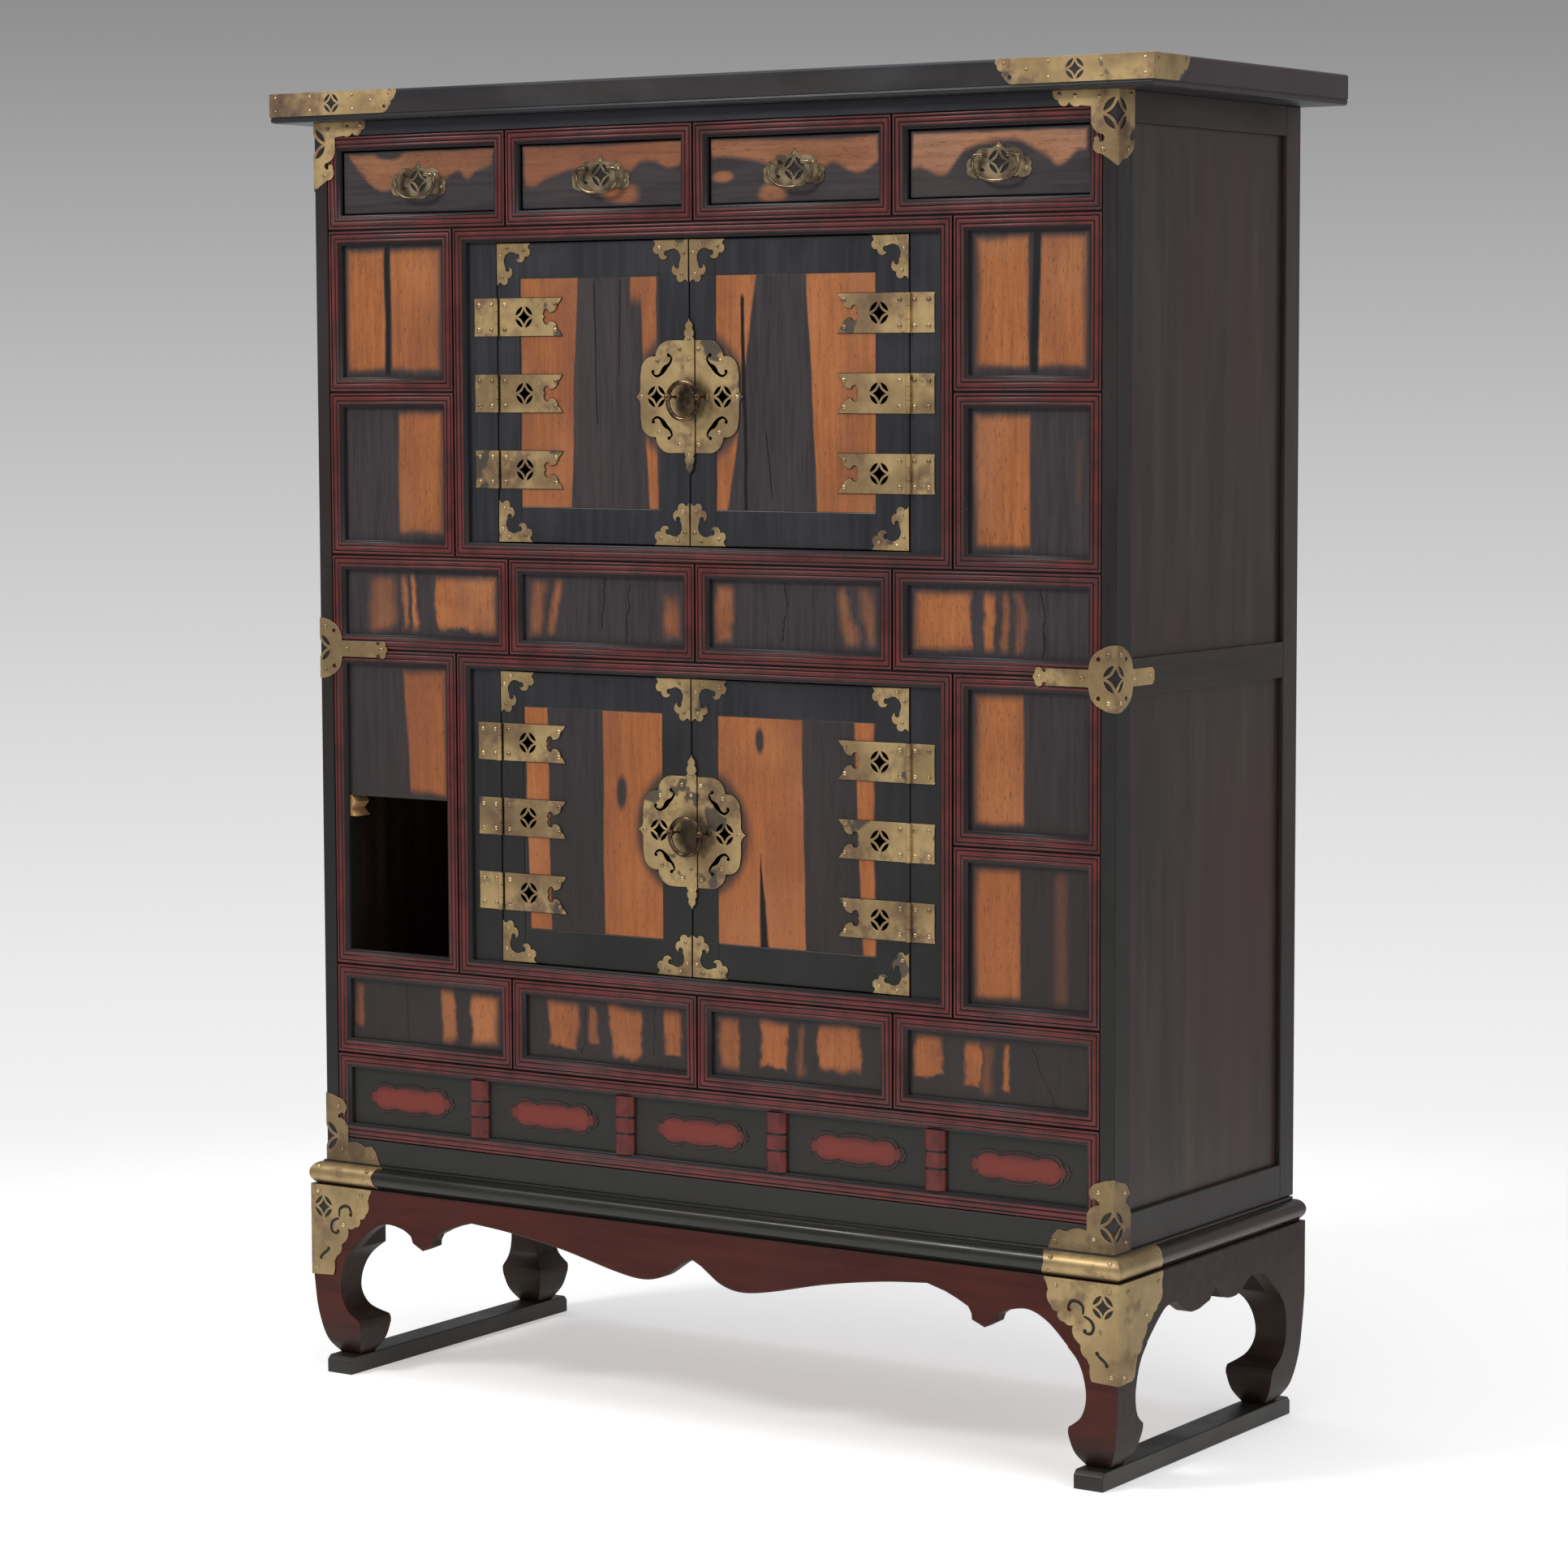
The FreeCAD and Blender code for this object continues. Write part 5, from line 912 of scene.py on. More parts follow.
SQUARE = ((-1, -1), (1, -1), (1, 1), (-1, 1))
RIBS_WIDE = 16
RIBS = ((0, 5), (0, 1.1), (0.5, 0.4), (1.4, 0.12), (2.3, 0.4), (2.8, 1.5), (3.2, 1.6), (3.6, 1.1),
        (4.3, 0.35),
        (5.3, 0.02), (6.5, 0.0), (7.7, 0.3), (8.3, 1.4), (8.7, 1.6), (9.1, 1.3), (9.8, 0.5), (10.9, 0.2),
        (12.0, 0.5), (12.6, 1.6), (13.1, 2.3), (14.3, 2.5), (15.4, 3.2), (RIBS_WIDE, 4.2), (RIBS_WIDE, 5))


def moulding_frame(target, low, high):
    """One ribbed frame between two corners, with a face flush with the posts."""
    middle, half = (low + high) / 2, (high - low) / 2
    mitred(target, RIBS, SQUARE, lambda c, p: Vector((middle.x + c[0] * (half.x - p[0] * MM),
                                                      FRONT_Y + p[1] * MM,
                                                      middle.z + c[1] * (half.z - p[0] * MM))))


# ---------------------------------------------------------------- finishes
def cartouche_red(name, middle_z):
    """Red that darkens towards the edges of each cartouche."""
    material, tree, where = new_material(name, 0.42)
    place = axes(tree, where)
    up = calc(tree, "ABSOLUTE", minus(tree, place["Z"], middle_z))
    along = calc(tree, "PINGPONG", plus(tree, place["X"], 2.004), 0.1002)
    cloud = noise(tree, where, 60.0, 3.0)
    shade = times(tree, soft_step(tree, plus(tree, up, times(tree, cloud, 0.006)),
                                             0.008, 0.02, 1.0, 0.0),
                                             soft_step(tree, along, 0.040, 0.064, 1.0, 0.1))
    base = blend(tree, shade, tint(62, 30, 28), tint(118, 46, 36))
    return finished(material, base, cloud, 0.15, 0.0006)


def ringed_red(name):
    """Red of the dividers, with black in their two turned rings."""
    material, tree, where = new_material(name, 0.4)
    place = axes(tree, where)
    low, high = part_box("bamboo_dividers")
    worn = noise(tree, where, 45.0, 5.0, 0.65)
    base = blend(tree, soft_step(tree, worn, 0.35, 0.7), tint(108, 42, 37), tint(72, 30, 28))
    for share in (0.36, 0.64):
        away = calc(tree, "ABSOLUTE", minus(tree, place["Z"], low.z + (high.z - low.z) * share))
        base = over(tree, base, tint(24, 18, 18), away, 0.0008, 0.0018, 1.0, 0.0)
    return finished(material, base, worn, 0.2, 0.0006)


COATS = {
    "post": lambda: lacquered("post_lacquer", finish().lacquer, "Z"),
    "corner": lambda: lacquered("corner_lacquer", tint(31, 27, 26), "Z", 0.38, warm=tint(44, 34, 31)),
    "rail": lambda: lacquered("rail_lacquer", finish().lacquer, "X"),
    "board": lambda: lacquered("board_lacquer", finish().lacquer, "X", 0.3, warm=tint(52, 46, 42),
                               ends=tint(58, 46, 46)),
    "low_rail": lambda: lacquered("low_lacquer", tint(38, 36, 31), "X", 0.36),
    "base": lambda: lacquered("base_lacquer", tint(27, 26, 24), "X", 0.26, ends=tint(52, 39, 33)),
    "flank": lambda: lacquered("flank_rail_lacquer", tint(44, 34, 28), "Y", 0.38, warm=tint(60, 42, 36)),
    "flank_post": lambda: lacquered("back_post_lacquer", tint(54, 44, 40), "Z", 0.38, warm=tint(60, 42, 36)),
    "low_panel": lambda: lacquered("low_panel_lacquer", tint(43, 41, 35), "X", 0.42, dust=0.6),
    "side": lambda: side_board("side_panel_wood"),
    "inside": lambda: bare_wood("inside_wood", tint(150, 116, 86)),
    "box": lambda: bare_wood("drawer_wood", tint(142, 106, 72), "Y"),
    "torn": lambda: bare_wood("torn_wood", tint(206, 160, 104), "Z"),
    "red": lambda: ribbed_red("moulding_red"),
    "divider": lambda: ringed_red("divider_red"),
    "dark": lambda: lacquered("dark_ground", tint(24, 20, 19), "Z", 0.6),
    "cartouche": lambda: cartouche_red("cartouche_red", 0.32325),
    "ridge": lambda: lacquered("cartouche_ridge", tint(108, 62, 58), "X", 0.22, 1.4, 0.9),
    "stand": lambda: stand_finish("stand_lacquer_coat"),
    "runner": lambda: lacquered("runner_lacquer", tint(44, 38, 34), "Y", 0.4, warm=tint(60, 44, 38)),
    "brass": lambda: aged_brass("aged_brass"),
    "nail": lambda: rubbed_metal("nail_metal", tint(134, 112, 84), tint(216, 190, 146), 0.26),
    "bronze": lambda: rubbed_metal("ring_bronze", tint(58, 44, 35), tint(122, 98, 72), 0.24),
    "bail": lambda: rubbed_metal("bail_metal", tint(86, 72, 56), tint(160, 140, 108), 0.24),
    "pull": lambda: rubbed_metal("pull_plate_metal", tint(108, 94, 76), tint(178, 158, 126), 0.34),
}
coats = {}


def coat(name):
    """The finish of that name, made when it is first wanted."""
    if name not in coats:
        coats[name] = COATS[name]()
    return coats[name]


def coat_node(node, material):
    """Gives a CAD node that is shown as it is a better finish."""
    mesh = frame["nodes"][node].data
    mesh.materials.clear()
    mesh.materials.append(material)


# ---------------------------------------------------------------- operators
class ChestPiece:
    """What every piece's operator shares: it builds, and stops with the error when it can't."""
    bl_options = {"REGISTER", "UNDO"}

    def execute(self, context):
        self.build(context)
        return {"FINISHED"}


class CHEST_OT_carcass(ChestPiece, bpy.types.Operator):
    """Softens and lacquers the posts, rails, boards and side panels"""
    bl_idname = "chest.carcass"
    bl_label = "Carcass"

    def build(self, context):
        for node, choose, arris in (
                ("corner_posts", lambda low, high: coat("corner" if low.y < 0 else "flank_post"), 0.0012),
                ("front_rails", lambda low, high: coat("low_rail" if high.z < 0.37 else "rail"), 0.0006),
                ("front_muntins", "post", 0.0006), ("hinge_stiles", "post", 0.0004),
                ("side_rails", "flank", None),
                ("side_panels", "side", 0.0003), ("back_rails", "rail", None), ("top_board", "board", 0.001),
                ("broken_rail_stubs", "torn", 0.0003)):
            eased(node, choose, arris)
        for node in ("back_panels", "floor_boards", "drawer_partitions"):
            coat_node(node, coat("inside"))
        for number in range(1, 5):
            coat_node("drawer_%d_box" % number, coat("box"))


UPPER_ROW, LOWER_ROW = 0.93, 0.48       # metres up to the top of each tier's row of small panels
CELL_PITCH = 0.2505     # metres between the middles of the panels in a row
CELL_SPLIT = 0.17       # metres from the doors' foot up to where a column's two panels meet
CELL_WIDEST = 0.3       # metres; a wider frame goes round the doors
DOOR_RAIL, PANEL_TONGUE = 39, 5.8       # height of a door's rail, and how much of its panel a stile hides
LOCK_HALO = 0.068       # metres round the middle of a lock within which the wood is darkened
# bands of orange, cracks and knots, in shares of each panel's seen width and height
CELL_BANDS = {
    "upper_left_high": ([straight(0.02, 0.40, foot=0.05, head=0.98),
                         straight(0.47, 0.97, foot=0.04, head=0.98),
                         band(0.36, 0.40, 0.38, 0.41, foot=0.5)], [(0.43, 0.44, 0.0, 1.0, 5.0)], []),
    "upper_left_low": ([straight(0.53, 0.99, foot=0.05, head=0.98)], [], []),
    "upper_right_high": ([straight(0.02, 0.49, foot=0.06, head=0.98),
                          band(0.57, 0.60, 0.97, 0.97, 0.05, 0.97)],
                         [(0.53, 0.57, 0.0, 1.0, 6.0)], []),
    "upper_right_low": ([straight(0.01, 0.50, foot=0.05, head=0.98),
                         band(0.86, 0.92, 0.90, 0.96, 0.35, 0.8, 0.03, 0.12)], [], []),
    "upper_row_1": ([straight(0.17, 0.30, strength=0.55, soft=0.05),
                     straight(0.36, 0.39, soft=0.02, strength=0.8),
                     straight(0.43, 0.46, soft=0.015), straight(0.585, 0.985, foot=0.06)], [], []),
    "upper_row_2": ([band(0.03, 0.05, 0.11, 0.14, strength=0.55, soft=0.03),
                     band(0.15, 0.20, 0.18, 0.25, strength=0.7, soft=0.02),
                     straight(0.86, 0.97, head=0.65, strength=0.7, soft=0.03, end_soft=0.2)],
                    [(0.50, 0.51, 0.2, 1.0, 1.6), (0.63, 0.66, 0.0, 0.9, 1.2)], []),
    "upper_row_3": ([straight(0.01, 0.12, strength=0.85, soft=0.03),
                     band(0.80, 0.73, 0.87, 0.80, strength=0.55, soft=0.03),
                     band(0.91, 0.88, 0.97, 0.95, strength=0.5, soft=0.03)], [(0.42, 0.44, 0.1, 1.0, 1.2)],
                     []),
    "upper_row_4": ([straight(0.01, 0.345, foot=0.05), straight(0.415, 0.475),
                     straight(0.52, 0.56, strength=0.6),
                     straight(0.60, 0.64, strength=0.5, soft=0.02)], [(0.74, 0.74, 0.0, 1.0, 1.6)], []),
    "lower_left_high": ([band(0.61, 0.55, 0.985, 0.985, foot=0.03)], [], []),
    "lower_right_high": ([straight(0.02, 0.45, foot=0.04)], [], []),
    "lower_right_low": ([straight(0.01, 0.425, foot=0.04), straight(0.72, 0.82, strength=0.2, soft=0.04)], [],
                        []),
    "lower_row_1": ([straight(0.02, 0.08, strength=0.5, foot=0.25, head=0.95),
                     straight(0.60, 0.68, strength=0.85),
                     straight(0.785, 0.975)], [(0.36, 0.37, 0.0, 1.0, 1.0)], []),
    "lower_row_2": ([straight(0.13, 0.315, foot=0.2), straight(0.385, 0.45, strength=0.75, foot=0.3,
                                                               head=0.9),
                     straight(0.53, 0.70, foot=0.12), straight(0.87, 0.965, strength=0.9, foot=0.25)],
                    [(0.36, 0.35, 0.1, 0.9, 1.2), (0.78, 0.80, 0.2, 1.0, 1.0)], []),
    "lower_row_3": ([straight(0.02, 0.15, strength=0.8), straight(0.29, 0.45, foot=0.22),
                     straight(0.51, 0.54, strength=0.4), straight(0.63, 0.875, foot=0.27, end_soft=0.1)], [],
                     []),
    "lower_row_4": ([straight(0.03, 0.18, foot=0.32), straight(0.30, 0.39, foot=0.2),
                     straight(0.40, 0.46, strength=0.35, soft=0.03),
                     straight(0.53, 0.565, strength=0.9, foot=0.2, head=0.9)], [(0.80, 0.70, 0.0, 0.9, 1.0)],
                     []),
}
DOOR_BANDS = {
    "upper_left": ([band(0.0, 0.0, 0.36, 0.415, soft=0.006), band(0.79, 0.79, 0.95, 0.97, 0.9, soft=0.01),
                    band(0.92, 0.86, 0.985, 0.98, soft=0.008)],
                   [(0.56, 0.54, 0.35, 1.0, 1.5), (0.70, 0.72, 0.55, 1.0, 1.4)], []),
    "upper_right": ([band(0.0, 0.0, 0.07, 0.255, soft=0.008), band(0.635, 0.575, 1.2, 1.2, soft=0.006)],
                    [(0.185, 0.165, -0.03, 0.93, 3.4), (0.36, 0.22, 0.04, 0.36, 1.2)], []),
    "lower_left": ([band(0.04, 0.0, 0.20, 0.17, soft=0.006), band(0.585, 0.57, 1.2, 1.2, soft=0.006)],
                   [], [(0.71, 0.64, 0.008)]),
    "lower_right": ([band(0.0, 0.0, 0.56, 0.535, soft=0.006), band(0.92, 0.87, 0.99, 0.985, soft=0.008),
                     ], [(0.30, 0.24, -0.03, 0.42, 9.0, 1)], [(0.27, 0.90, 0.006)]),
}
# for each drawer: lower edge of its orange, as (across, up); blobs, as (across, up, reach across, reach up,
# 1 for light or -1 for dark); its own shade of orange
DRAWER_HILLS = (
    ([(0, 1.1), (0.03, 0.95), (0.08, 0.74), (0.16, 0.55), (0.2, 0.4), (0.25, 0.3), (0.33, 0.34), (0.38, 0.5),
      (0.46, 0.62), (0.6, 0.6), (0.66, 0.44), (0.73, 0.6), (0.77, 0.6), (0.81, 0.4), (0.86, 0.6),
      (0.95, 0.68),
      (1, 0.75)], [(0.3, 0.97, 0.1, 0.13, -1)], (146, 98, 66)),
    ([(0, 0.36), (0.08, 0.3), (0.15, 0.48), (0.22, 0.5), (0.3, 0.6), (0.45, 0.62), (0.6, 0.5), (0.68, 0.52),
      (0.74, 0.7), (0.85, 0.72), (0.92, 0.5), (1, 0.66)], [(0.62, 0.18, 0.11, 0.15, 1)], (158, 100, 62)),
    ([(0, 0.68), (0.1, 0.73), (0.2, 0.66), (0.3, 0.6), (0.4, 0.54), (0.5, 0.55), (0.6, 0.5), (0.66, 0.45),
      (0.72, 0.6), (0.8, 0.5), (0.86, 0.36), (0.93, 0.45), (1, 0.62)],
     [(0.075, 0.41, 0.06, 0.09, 1), (0.38, 0.16, 0.08, 0.15, 1)], (158, 104, 70)),
    ([(0, 0.42), (0.05, 0.5), (0.12, 0.42), (0.2, 0.3), (0.25, 0.5), (0.3, 0.68), (0.42, 0.8), (0.55, 0.82),
      (0.63, 0.78), (0.7, 0.62), (0.77, 0.58), (0.82, 0.38), (0.88, 0.5), (0.93, 0.62), (1, 0.6)], [],
     (170, 122, 92)),
)


class CHEST_OT_panels(ChestPiece, bpy.types.Operator):
    """Gives every panel, door and drawer front its own figured wood"""
    bl_idname = "chest.panels"
    bl_label = "Figured panels"

    def build(self, context):
        inset = RIBS_WIDE * MM
        for tier, row_top in (("upper", UPPER_ROW), ("lower", LOWER_ROW)):
            node = tier + "_tier_panels"
            cells = [box for box in part_boxes(tier + "_tier_mouldings") if box[1].x - box[0].x < CELL_WIDEST]

            def choose(low, high):
                middle = (low + high) / 2
                if high.z < row_top + 0.02:
                    name = "%s_row_%d" % (tier, round(middle.x / CELL_PITCH + 2.5))
                else:
                    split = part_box(tier + "_left_door_frame")[0].z + CELL_SPLIT
                    height = "high" if middle.z > split else "low"
                    name = "%s_%s_%s" % (tier, "left" if middle.x < 0 else "right", height)
                if name + "_wood" in bpy.data.materials:
                    return bpy.data.materials[name + "_wood"]
                near = min(cells, key=lambda box: ((box[0] + box[1]) / 2 - middle).length)
                seen_low, seen_high = near[0] + Vector((inset, 0, inset)), near[1] - Vector((inset, 0, inset))
                if name == "lower_left_high":
                    seen_low.z = low.z
                bands, cracks, knots = CELL_BANDS[name]
                return figured(name + "_wood", seen_low, seen_high, bands, cracks, knots,
                               wander=0.03 if "row" in name else 0.014)

            eased(node, choose, 0.0003)
        dress(solid_of("apron_row_panels"), "apron_row_panels", "low_panel", 0)
        rail = Vector((0, 0, DOOR_RAIL * MM))
        for door, (bands, cracks, knots) in DOOR_BANDS.items():
            low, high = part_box(door + "_door_frame")
            low, high = low + rail, high - rail
            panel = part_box(door + "_door_panel")
            low.x, high.x = panel[0].x + PANEL_TONGUE * MM, panel[1].x - PANEL_TONGUE * MM
            ring = PIVOT[door.split("_")[0] + "_ring_swing"]
            lock = Vector((ring.x, FACE_Y, ring.z))
            wood = figured(door + "_door_wood", low, high, bands, cracks, knots, vignette=0, wander=0.01,
                           halo=(lock, LOCK_HALO))
            eased(door + "_door_panel", lambda a, b: wood, 0.0003)
            eased(door + "_door_frame", "post", 0.0009)
        for number, (hill, blobs, shade) in enumerate(DRAWER_HILLS, 1):
            node = "drawer_%d_front" % number
            low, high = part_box(node)
            wood = figured(node + "_wood", low, high, [], vignette=0.004, wander=0.02, grain="X", hill=hill,
                           blobs=blobs, light=tint(*shade))
            eased(node, lambda a, b: wood, 0.0012)


class CHEST_OT_mouldings(ChestPiece, bpy.types.Operator):
    """Builds the ribbed red frames round every panel"""
    bl_idname = "chest.mouldings"
    bl_label = "Mouldings"

    def build(self, context):
        for node in ("drawer_row_mouldings", "upper_tier_mouldings", "lower_tier_mouldings",
                     "apron_row_moulding"):
            boxes = part_boxes(node)
            if node == "lower_tier_mouldings":
                column = [box for box in boxes if box[1].x < -0.3 and box[1].z > LOWER_ROW]
                tall = bounds_of([corner for box in column for corner in box])
                boxes = [box for box in boxes if box not in column] + [tall]
            work = bmesh.new()
            for low, high in boxes:
                moulding_frame(work, low, high)
            dress(work, node, "red", TURNED_ANGLE)
        eased("bamboo_dividers", "divider", 0.0007)


# piece, finish, inset, thickness, edge and node of each layer of a cartouche
CARTOUCHE_LAYERS = (("cartouche_grooves", "dark", 1.9, 1.38, 0.02, ()),
                    ("cartouche_ridges", "ridge", 0.0, 1.3, 0.4, ()),
                    ("cartouche_plates", "cartouche", 3.5, 2.1, 0.5, ("cartouches",)))


class CHEST_OT_cartouches(ChestPiece, bpy.types.Operator):
    """Raises the budded cartouches of the apron row"""
    bl_idname = "chest.cartouches"
    bl_label = "Cartouches"

    def build(self, context):
        boxes = part_boxes("cartouches")
        half = (boxes[0][1] - boxes[0][0]) / 2 / MM
        quarter = trace([(-1, 0), [(-0.955, 0.13), (-0.93, 0.36), (-0.88, 0.45), (-0.83, 0.36)],
                         [(-0.81, 0.6), (-0.72, 0.88), (-0.58, 1.0), (-0.44, 0.9), (-0.36, 0.8),
                          (-0.22, 0.95), (-0.1, 1.0), (0, 1.02)]], 12, 5)
        whole = with_mirror(with_mirror(quarter, -1, 1), 1, -1)
        for name, finish_name, inset, thickness, edge, nodes in CARTOUCHE_LAYERS:
            outline = [(x * (half.x - inset * 1.3), y / 1.02 * (half.z - inset)) for x, y in whole]
            work, sheet = bmesh.new(), cut_sheet(outline, [], thickness, edge)
            for low, high in boxes:
                lay_front(work, sheet, (low.x + high.x) / 2, (low.z + high.z) / 2, FACE_Y)
            piece_of(work, name, finish_name, "case", SLOT_OF["cartouches"], nodes)


KNEE = 71.5             # how far the leg's knee reaches below its top
APRON_MM, APRON_LAP = 18, 3.0
NOSE_X, NOSE_Z = 11, 12.3       # middle of the base moulding's round nose, from its outer edge and its foot


class CHEST_OT_stand(ChestPiece, bpy.types.Operator):
    """Saws the scrolled legs and aprons, and runs the round-nosed moulding over them"""
    bl_idname = "chest.stand"
    bl_label = "Stand"

    def leg(self):
        """The front leg on the right: one outline from the front, again from the side."""
        tall, foot = (LEG_TOP - LEG_FOOT) / MM, LEG_FOOT / MM
        outline = trace([
            (0, foot + tall), (0, foot + tall * 0.6),
            [(1.8, foot + tall * 0.42), (4.6, foot + tall * 0.25), (11.5, foot + tall * 0.09), (23, foot)],
            (50, foot), [(59, foot + tall * 0.075), (63.5, foot + tall * 0.17)],
            ((63.2, foot + tall * 0.2), (62.3, foot + tall * 0.215)),
            [(47, foot + tall * 0.275), (40, foot + tall * 0.37), (41.5, foot + tall * 0.48),
             (48.5, foot + tall * 0.575), (60, foot + tall - KNEE)], (60, foot + tall)], steps_between=7)
        seen_from = {"leg_front": lambda inward, deep: (LEG_X - inward, LEG_FRONT_Y + deep),
                     "leg_side": lambda inward, deep: (LEG_X - deep, LEG_FRONT_Y + inward)}
        blanks = []
        for name, spot in seen_from.items():
            work = bmesh.new()
            near, far = [], []
            for inward, z in outline:
                for row, deep in ((near, -1), (far, 66)):
                    row.append(work.verts.new((*spot(inward * MM, deep * MM), z * MM)))
            work.faces.new(near)
            work.faces.new(far)
            for k in range(len(near)):
                work.faces.new((near[k - 1], near[k], far[k], far[k - 1]))
            bmesh.ops.recalc_face_normals(work, faces=work.faces[:])
            blanks.append(bpy.data.objects.new(name, mesh_from(work, name)))
        first, second = blanks
        bpy.context.scene.collection.objects.link(second)
        both = first.modifiers.new("both_ways", "BOOLEAN")
        both.operation = "INTERSECT"
        both.object = second
        soften(first, 1.2 * MM, 35)
        mesh = evaluated(first)
        bpy.data.objects.remove(second)
        return mesh

    def build(self, context):
        self.legs()
        self.aprons()
        eased("runners", "runner", 0.001)
        self.base()

    def legs(self):
        mesh, work = self.leg(), bmesh.new()
        for way in (1, -1):
            for back in (False, True):
                copy = bmesh.new()
                copy.from_mesh(mesh)
                for vert in copy.verts:
                    vert.co.x *= way
                    if back:
                        vert.co.y = LEG_FRONT_Y + LEG_BACK_Y - vert.co.y
                if (way < 0) != back:
                    bmesh.ops.reverse_faces(copy, faces=copy.faces[:])
                pour(work, copy)
        dress(work, "legs", "stand")

    def apron(self, half, reach):
        """A board sawn to half an outline, given as (across, down), and its mirror image."""
        half = [(x, -y) for x, y in half] + [(reach + APRON_LAP, -KNEE), (reach + APRON_LAP, 0)]
        return cut_sheet(with_mirror(half, -1, 1)[::-1], [], APRON_MM, 1.4)

    def aprons(self):
        work, set_back = bmesh.new(), (APRON_MM - 0.05) * MM
        reach = LEG_X / MM - 60
        front = trace([(0, 32), ((0.022, 37), (0.047, 45)),
                       [(0.085, 56), (0.14, 61), (0.22, 56), (0.37, 40), (0.52, 29), (0.638, 24)],
                       ((0.684, 30), (0.715, 36)), ((0.738, 41), (0.753, 50)), ((0.768, 60), (0.787, 63)),
                       ((0.806, 59), (0.823, 48)), [(0.85, 41), (0.90, 38), (0.95, 49), (1, KNEE)]], 12, 7)
        front = [(x * reach, y) for x, y in front]
        lay_front(work, self.apron(front, reach), 0, LEG_TOP, LEG_FRONT_Y + set_back)
        back = trace([(0, 43.5), (reach * 0.87, 43.5), ((reach * 0.94, 49.5), (reach, KNEE))])
        lay_front(work, self.apron(back, reach), 0, LEG_TOP, LEG_BACK_Y)
        reach = (LEG_BACK_Y - LEG_FRONT_Y) / 2 / MM - 60
        side = trace([(0, 40), ((0.034, 44), (0.07, 51)),
                      [(0.15, 53.5), (0.24, 56), (0.36, 55.5), (0.45, 49)],
                      [(0.57, 40.5), (0.71, 41), (0.83, 51), (1, KNEE)]], 12, 7)
        board = self.apron([(x * reach, y) for x, y in side], reach)
        middle_y = (LEG_FRONT_Y + LEG_BACK_Y) / 2
        for way in (1, -1):
            lay(work, board, lambda p: Vector((way * (LEG_X - set_back + p.z), middle_y + p.x,
                                               LEG_TOP + p.y)),
                way < 0)
        dress(work, "aprons", "stand")

    def base(self):
        work = bmesh.new()
        low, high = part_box("base_moulding")
        nose = [(NOSE_X * (1 - math.cos(math.radians(a))), NOSE_Z + 11.8 * math.sin(math.radians(a)))
                for a in (84, 68, 52, 36, 20, 4, -12, -28, -44, -58)]
        profile = ([(40, 27), (11.4, 27), (11, 26.6), (11, 24.5), (11.6, 24.1)] + nose
                   + [(5.4, 1.0), (6.2, 0.1), (40, 0.1)])
        middle, half = (low + high) / 2, (high - low) / 2
        mitred(work, profile, SQUARE,
               lambda c, p: Vector((middle.x + c[0] * (half.x - p[0] * MM),
                                    middle.y + c[1] * (half.y - p[0] * MM),
                                    low.z + p[1] * MM)))
        dress(work, "base_moulding", "base", TURNED_ANGLE)


HINGE_HALF = 20.75      # half the height of a hinge leaf
BARREL_RADIUS = 2.75
COIN_RADIUS, COIN_GROUND = 11.7, 12.6
LEAF_COIN, LOCK_COIN = 37.3, 42.2       # a coin's distance from the hinge and from the doors' seam
# nails as (across, up) from the hinge, the door's corner, the middle of the lock and of the bar
LEAF_NAILS = ((11.5, 13.5), (11.5, -13.5), (80.5, 14), (80.5, -14))
CASE_LEAF_NAILS = ((6.8, 13.5), (6.8, -13.5), (24, 13.5), (24, -13.5))
BRACE_NAILS = ((14.4, 5.4), (5.4, 14.4), (37, 8), (8, 37))
LOCK_NAILS = ((11.5, 51), (40.3, 38.4), (61.4, 0), (38.2, -37.8), (11.5, -51))
BAR_NAILS = ((0, -62), (0, -40), (0, 40), (0, 62))
DOOR_LEAF = [(88.5, 20.6), ((86.6, 17.4), (82.4, 13.6)), ((80.6, 8.6), (75.3, 5.2)), (71.8, 5.2),
             ((67.9, 8.8), (63.8, 5.2)), ((63.2, 2.4), (65.2, 0))]
BRACE = [(0, 0), (46, 0.4), ((43.4, 3.0), (42.8, 5.6)), ((45.6, 10.6), (38.4, 14.6)),
         ((34.6, 20.8), (26.6, 17.4)),
         ((31.4, 14.6), (26.8, 11.9)), ((22, 10), (17.2, 9.8)), (12.4, 12.4)]
LOCK_EDGE = [(25, 60.2), ((36.9, 55.7), (43.4, 43)), ((54.5, 41.1), (61.7, 32.6)), (63.4, 21.8), (63.4, 8.5),
             ((65.2, 3.4), (69.8, 0))]
LOCK_SCROLL = [(28, 45.4), (22.4, 41.4), (25, 35.4), (30.6, 31.0), (36.4, 24.4), (42.2, 22.0), (47.2, 25.2),
               (45.4, 28.4)]
LOCK_BAR = [(6.6, 0), (6.6, 58.5), ((6.4, 61), (4.4, 63.6)), ((6.0, 66.6), (5.4, 70.6)), (3.8, 72.6),
            ((4.6, 75.4), (3.6, 78.4)), ((1.4, 80.4), (0, 83))]
STUD_STEM = [(0, -0.3), (3.4, -0.3), (3.6, 0.6), (2.8, 1.4), (1.9, 2.4), (1.3, 4.0), (1.3, 13.6)]


def barrel(target, x, z0, z1):
    """A hinge knuckle between two heights, with its ends eased."""
    tall = (z1 - z0) / MM
    profile = [(0, 0), (BARREL_RADIUS - 0.3, 0), (BARREL_RADIUS, 0.3), (BARREL_RADIUS, tall - 0.3),
               (BARREL_RADIUS - 0.3, tall), (0, tall)]
    turned(target, profile, (x, PIVOT["upper_left_door_hinge"].y, z0), (0, 0, 1), 24)


